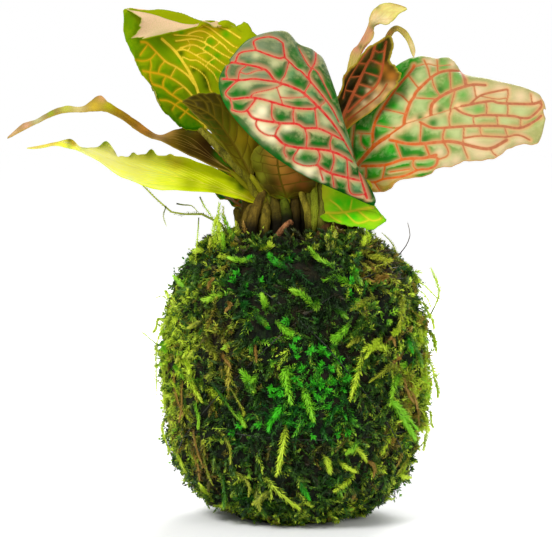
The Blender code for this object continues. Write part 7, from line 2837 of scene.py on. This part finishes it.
@dataclass
class SoilBed:
    """The soil inside the moss, crumbly where it shows between the stems."""

    form: BallForm = field(default_factory=BallForm)
    finish: GrainFinish = GrainFinish(
        "dark_soil", "soil", (0.003, 0.003, 0.001), (0.024, 0.016, 0.007), 420.0, (1, 1, 1), 0.95, 0.0012
    )
    heap_middle: tuple[float, float] = (-2.0, 5.0)
    heap_reach: tuple[float, float] = (13.0, 9.0)
    heap_height: float = 10.0
    shrink: float = 5.9
    crumbs: int = 260
    crumb_sizes: tuple[float, float] = (0.4, 1.3)
    crumb_reach: float = 16.0
    crumb_profile: tuple[tuple[float, float], ...] = ((0.0, -1.0), (0.7, -0.7), (1.0, 0.0), (0.7, 0.7), (0.0, 1.0))
    crumb_sides: int = 6
    rings: int = 70
    sides: int = 110
    crown: float = 95.0  # the height above which it is lumpy
    lump_sizes: tuple[float, float] = (3.0, 1.2)
    lump_height: float = 0.9
    seed: int = 5

    def heap(self, x: np.ndarray, y: np.ndarray) -> np.ndarray:
        """How far the soil is heaped up round the stems, behind the front ones."""
        (middle_x, middle_y), (reach_x, reach_y) = self.heap_middle, self.heap_reach
        return self.heap_height * np.exp(-(((x - middle_x) / reach_x) ** 2 + ((y - middle_y) / reach_y) ** 2))

    def build(self) -> None:
        """Makes the ball of soil and the crumbs on it."""
        high = self.form.middle + self.form.rise - self.shrink
        profile = self.form.outline(self.shrink, high, self.rings, self.shrink)
        points, faces = turned_skin(np.array([(0.0, self.shrink), *profile[:-1], (0.0, high)]), self.sides)
        broad, small = self.lump_sizes
        lumps = np.array(
            [noise.noise(Vector(point) / broad) + 0.5 * noise.noise(Vector(point) / small) for point in points]
        )
        raised = self.heap(points[:, 0], points[:, 1]) + self.lump_height * lumps
        points[:, 2] += np.where(points[:, 2] > self.crown, raised, 0.0)
        shell = Shell()
        shell.add(points, faces)
        draw = np.random.default_rng(self.seed)
        ball, ball_faces = turned_skin(np.array(self.crumb_profile), self.crumb_sides)
        for _ in range(self.crumbs):
            turn, reach = draw.uniform(0, 2 * math.pi), self.crumb_reach * math.sqrt(draw.uniform(0, 1))
            size = draw.uniform(*self.crumb_sizes)
            height = np.interp(reach, profile[::-1, 0], profile[::-1, 1])
            x, y = reach * math.cos(turn), reach * math.sin(turn)
            middle = np.array([x, y, height + self.heap(x, y) + size * 0.3])
            shell.add(ball * size * draw.uniform(0.7, 1.2, (len(ball), 1)) + middle, ball_faces)
        place_piece(shell.piece("soil_bed", self.finish.mix()), self.finish.slot, "soil_ball")


@dataclass
class DryStub:
    """The brown curled stub by the crown."""

    path: tuple[Spot, ...] = (
        (-10, -14, 103), (-9.2, -16, 107.5), (-7, -17, 111.5), (-4.5, -17, 114.8), (-2.2, -16.5, 116.8),
        (-1.4, -15.5, 116.2),
    )
    foot: float = 1.5  # radius
    tip: float = 0.75
    knots: float = 0.1  # how far it swells in and out
    knot_turns: float = 40.0
    rings: int = 50
    sides: int = 16
    finish: GrainFinish = GrainFinish(
        "dry_stalk_skin", "dry_stalk", (0.06, 0.022, 0.008), (0.3, 0.13, 0.05), 600.0, (1, 1, 0.3), 0.8, 0.0006
    )

    def build(self) -> None:
        """Makes the stub."""
        share = np.linspace(0, 1, self.rings)
        knots = 1 + self.knots * np.sin(share * self.knot_turns) * share
        radii = (self.foot - (self.foot - self.tip) * share) * knots
        shell = Shell()
        shell.add(*tube(read_curve(self.path, share), radii, self.sides))
        place_piece(shell.piece("dry_stub", self.finish.mix()), self.finish.slot, "dry_stalk")


@dataclass
class Studio:
    """The pale floor, the soft lights and the white room."""

    floor_size: float = 12.0  # metres
    room: float = 0.55
    aim: Spot = (0.0, 0.0, 0.1)  # what the lamps look at, in metres
    lamps: tuple[tuple[str, Spot, float, float], ...] = (  # name, place and size in metres, power in watts
        ("key", (-0.55, -0.75, 0.85), 0.45, 13.0),
        ("fill", (0.7, -0.8, 0.45), 0.6, 5.0),
        ("rim", (0.25, 0.85, 0.65), 0.7, 16.0),
    )

    def build(self) -> None:
        """Makes the floor, the lights and the room's light."""
        shell = Shell()
        half = self.floor_size / 2 / MM
        square = np.array([(-half, -half, 0), (half, -half, 0), (half, half, 0), (-half, half, 0)], dtype=float)
        shell.add(square, [np.array([[0, 1, 2, 3]])])
        floor = shell.piece("pale_floor", StageFinish().mix())
        for lamp in self.lamps:
            self.hang_lamp(*lamp)
        self.make_room()

    def hang_lamp(self, name: str, place: Spot, size: float, power: float) -> None:
        """Hangs a soft square lamp that looks at the plant.

        Args:
            name: Its name.
            place: Where it hangs, in metres.
            size: Its side, in metres.
            power: Its power, in watts.
        """
        data = bpy.data.lights.new(name, "AREA")
        data.size = size
        data.energy = power
        made = bpy.data.objects.new(name, data)
        made.location = place
        made.rotation_euler = (Vector(self.aim) - Vector(place)).to_track_quat("-Z", "Y").to_euler()
        bpy.context.scene.collection.objects.link(made)

    def make_room(self) -> None:
        """White all round, seen at full strength and lighting at the room's."""
        world = bpy.data.worlds.new("white_room")
        world.use_nodes = True
        nodes, links = world.node_tree.nodes, world.node_tree.links
        nodes.clear()
        path = nodes.new("ShaderNodeLightPath")
        shown, lit = nodes.new("ShaderNodeBackground"), nodes.new("ShaderNodeBackground")
        shown.inputs["Color"].default_value = (1.0, 1.0, 1.0, 1.0)
        lit.inputs["Strength"].default_value = self.room
        both, out = nodes.new("ShaderNodeMixShader"), nodes.new("ShaderNodeOutputWorld")
        links.new(path.outputs["Is Camera Ray"], both.inputs[0])
        links.new(lit.outputs[0], both.inputs[1])
        links.new(shown.outputs[0], both.inputs[2])
        links.new(both.outputs[0], out.inputs["Surface"])
        scene = bpy.context.scene
        scene.world = world
        scene.view_settings.view_transform = "Standard"


def main() -> None:
    """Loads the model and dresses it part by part."""
    logging.basicConfig(level=logging.INFO, format="%(message)s")
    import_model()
    camera = PhotoCamera()
    camera.build()
    Studio().build()
    mat = MossBall().build(camera)
    BindingLine().build(mat)
    SoilBed().build()
    DryStub().build()
    StemGroup().build()
    for leaf in plant_leaves():
        leaf.build(camera)


if __name__ == "__main__":
    main()
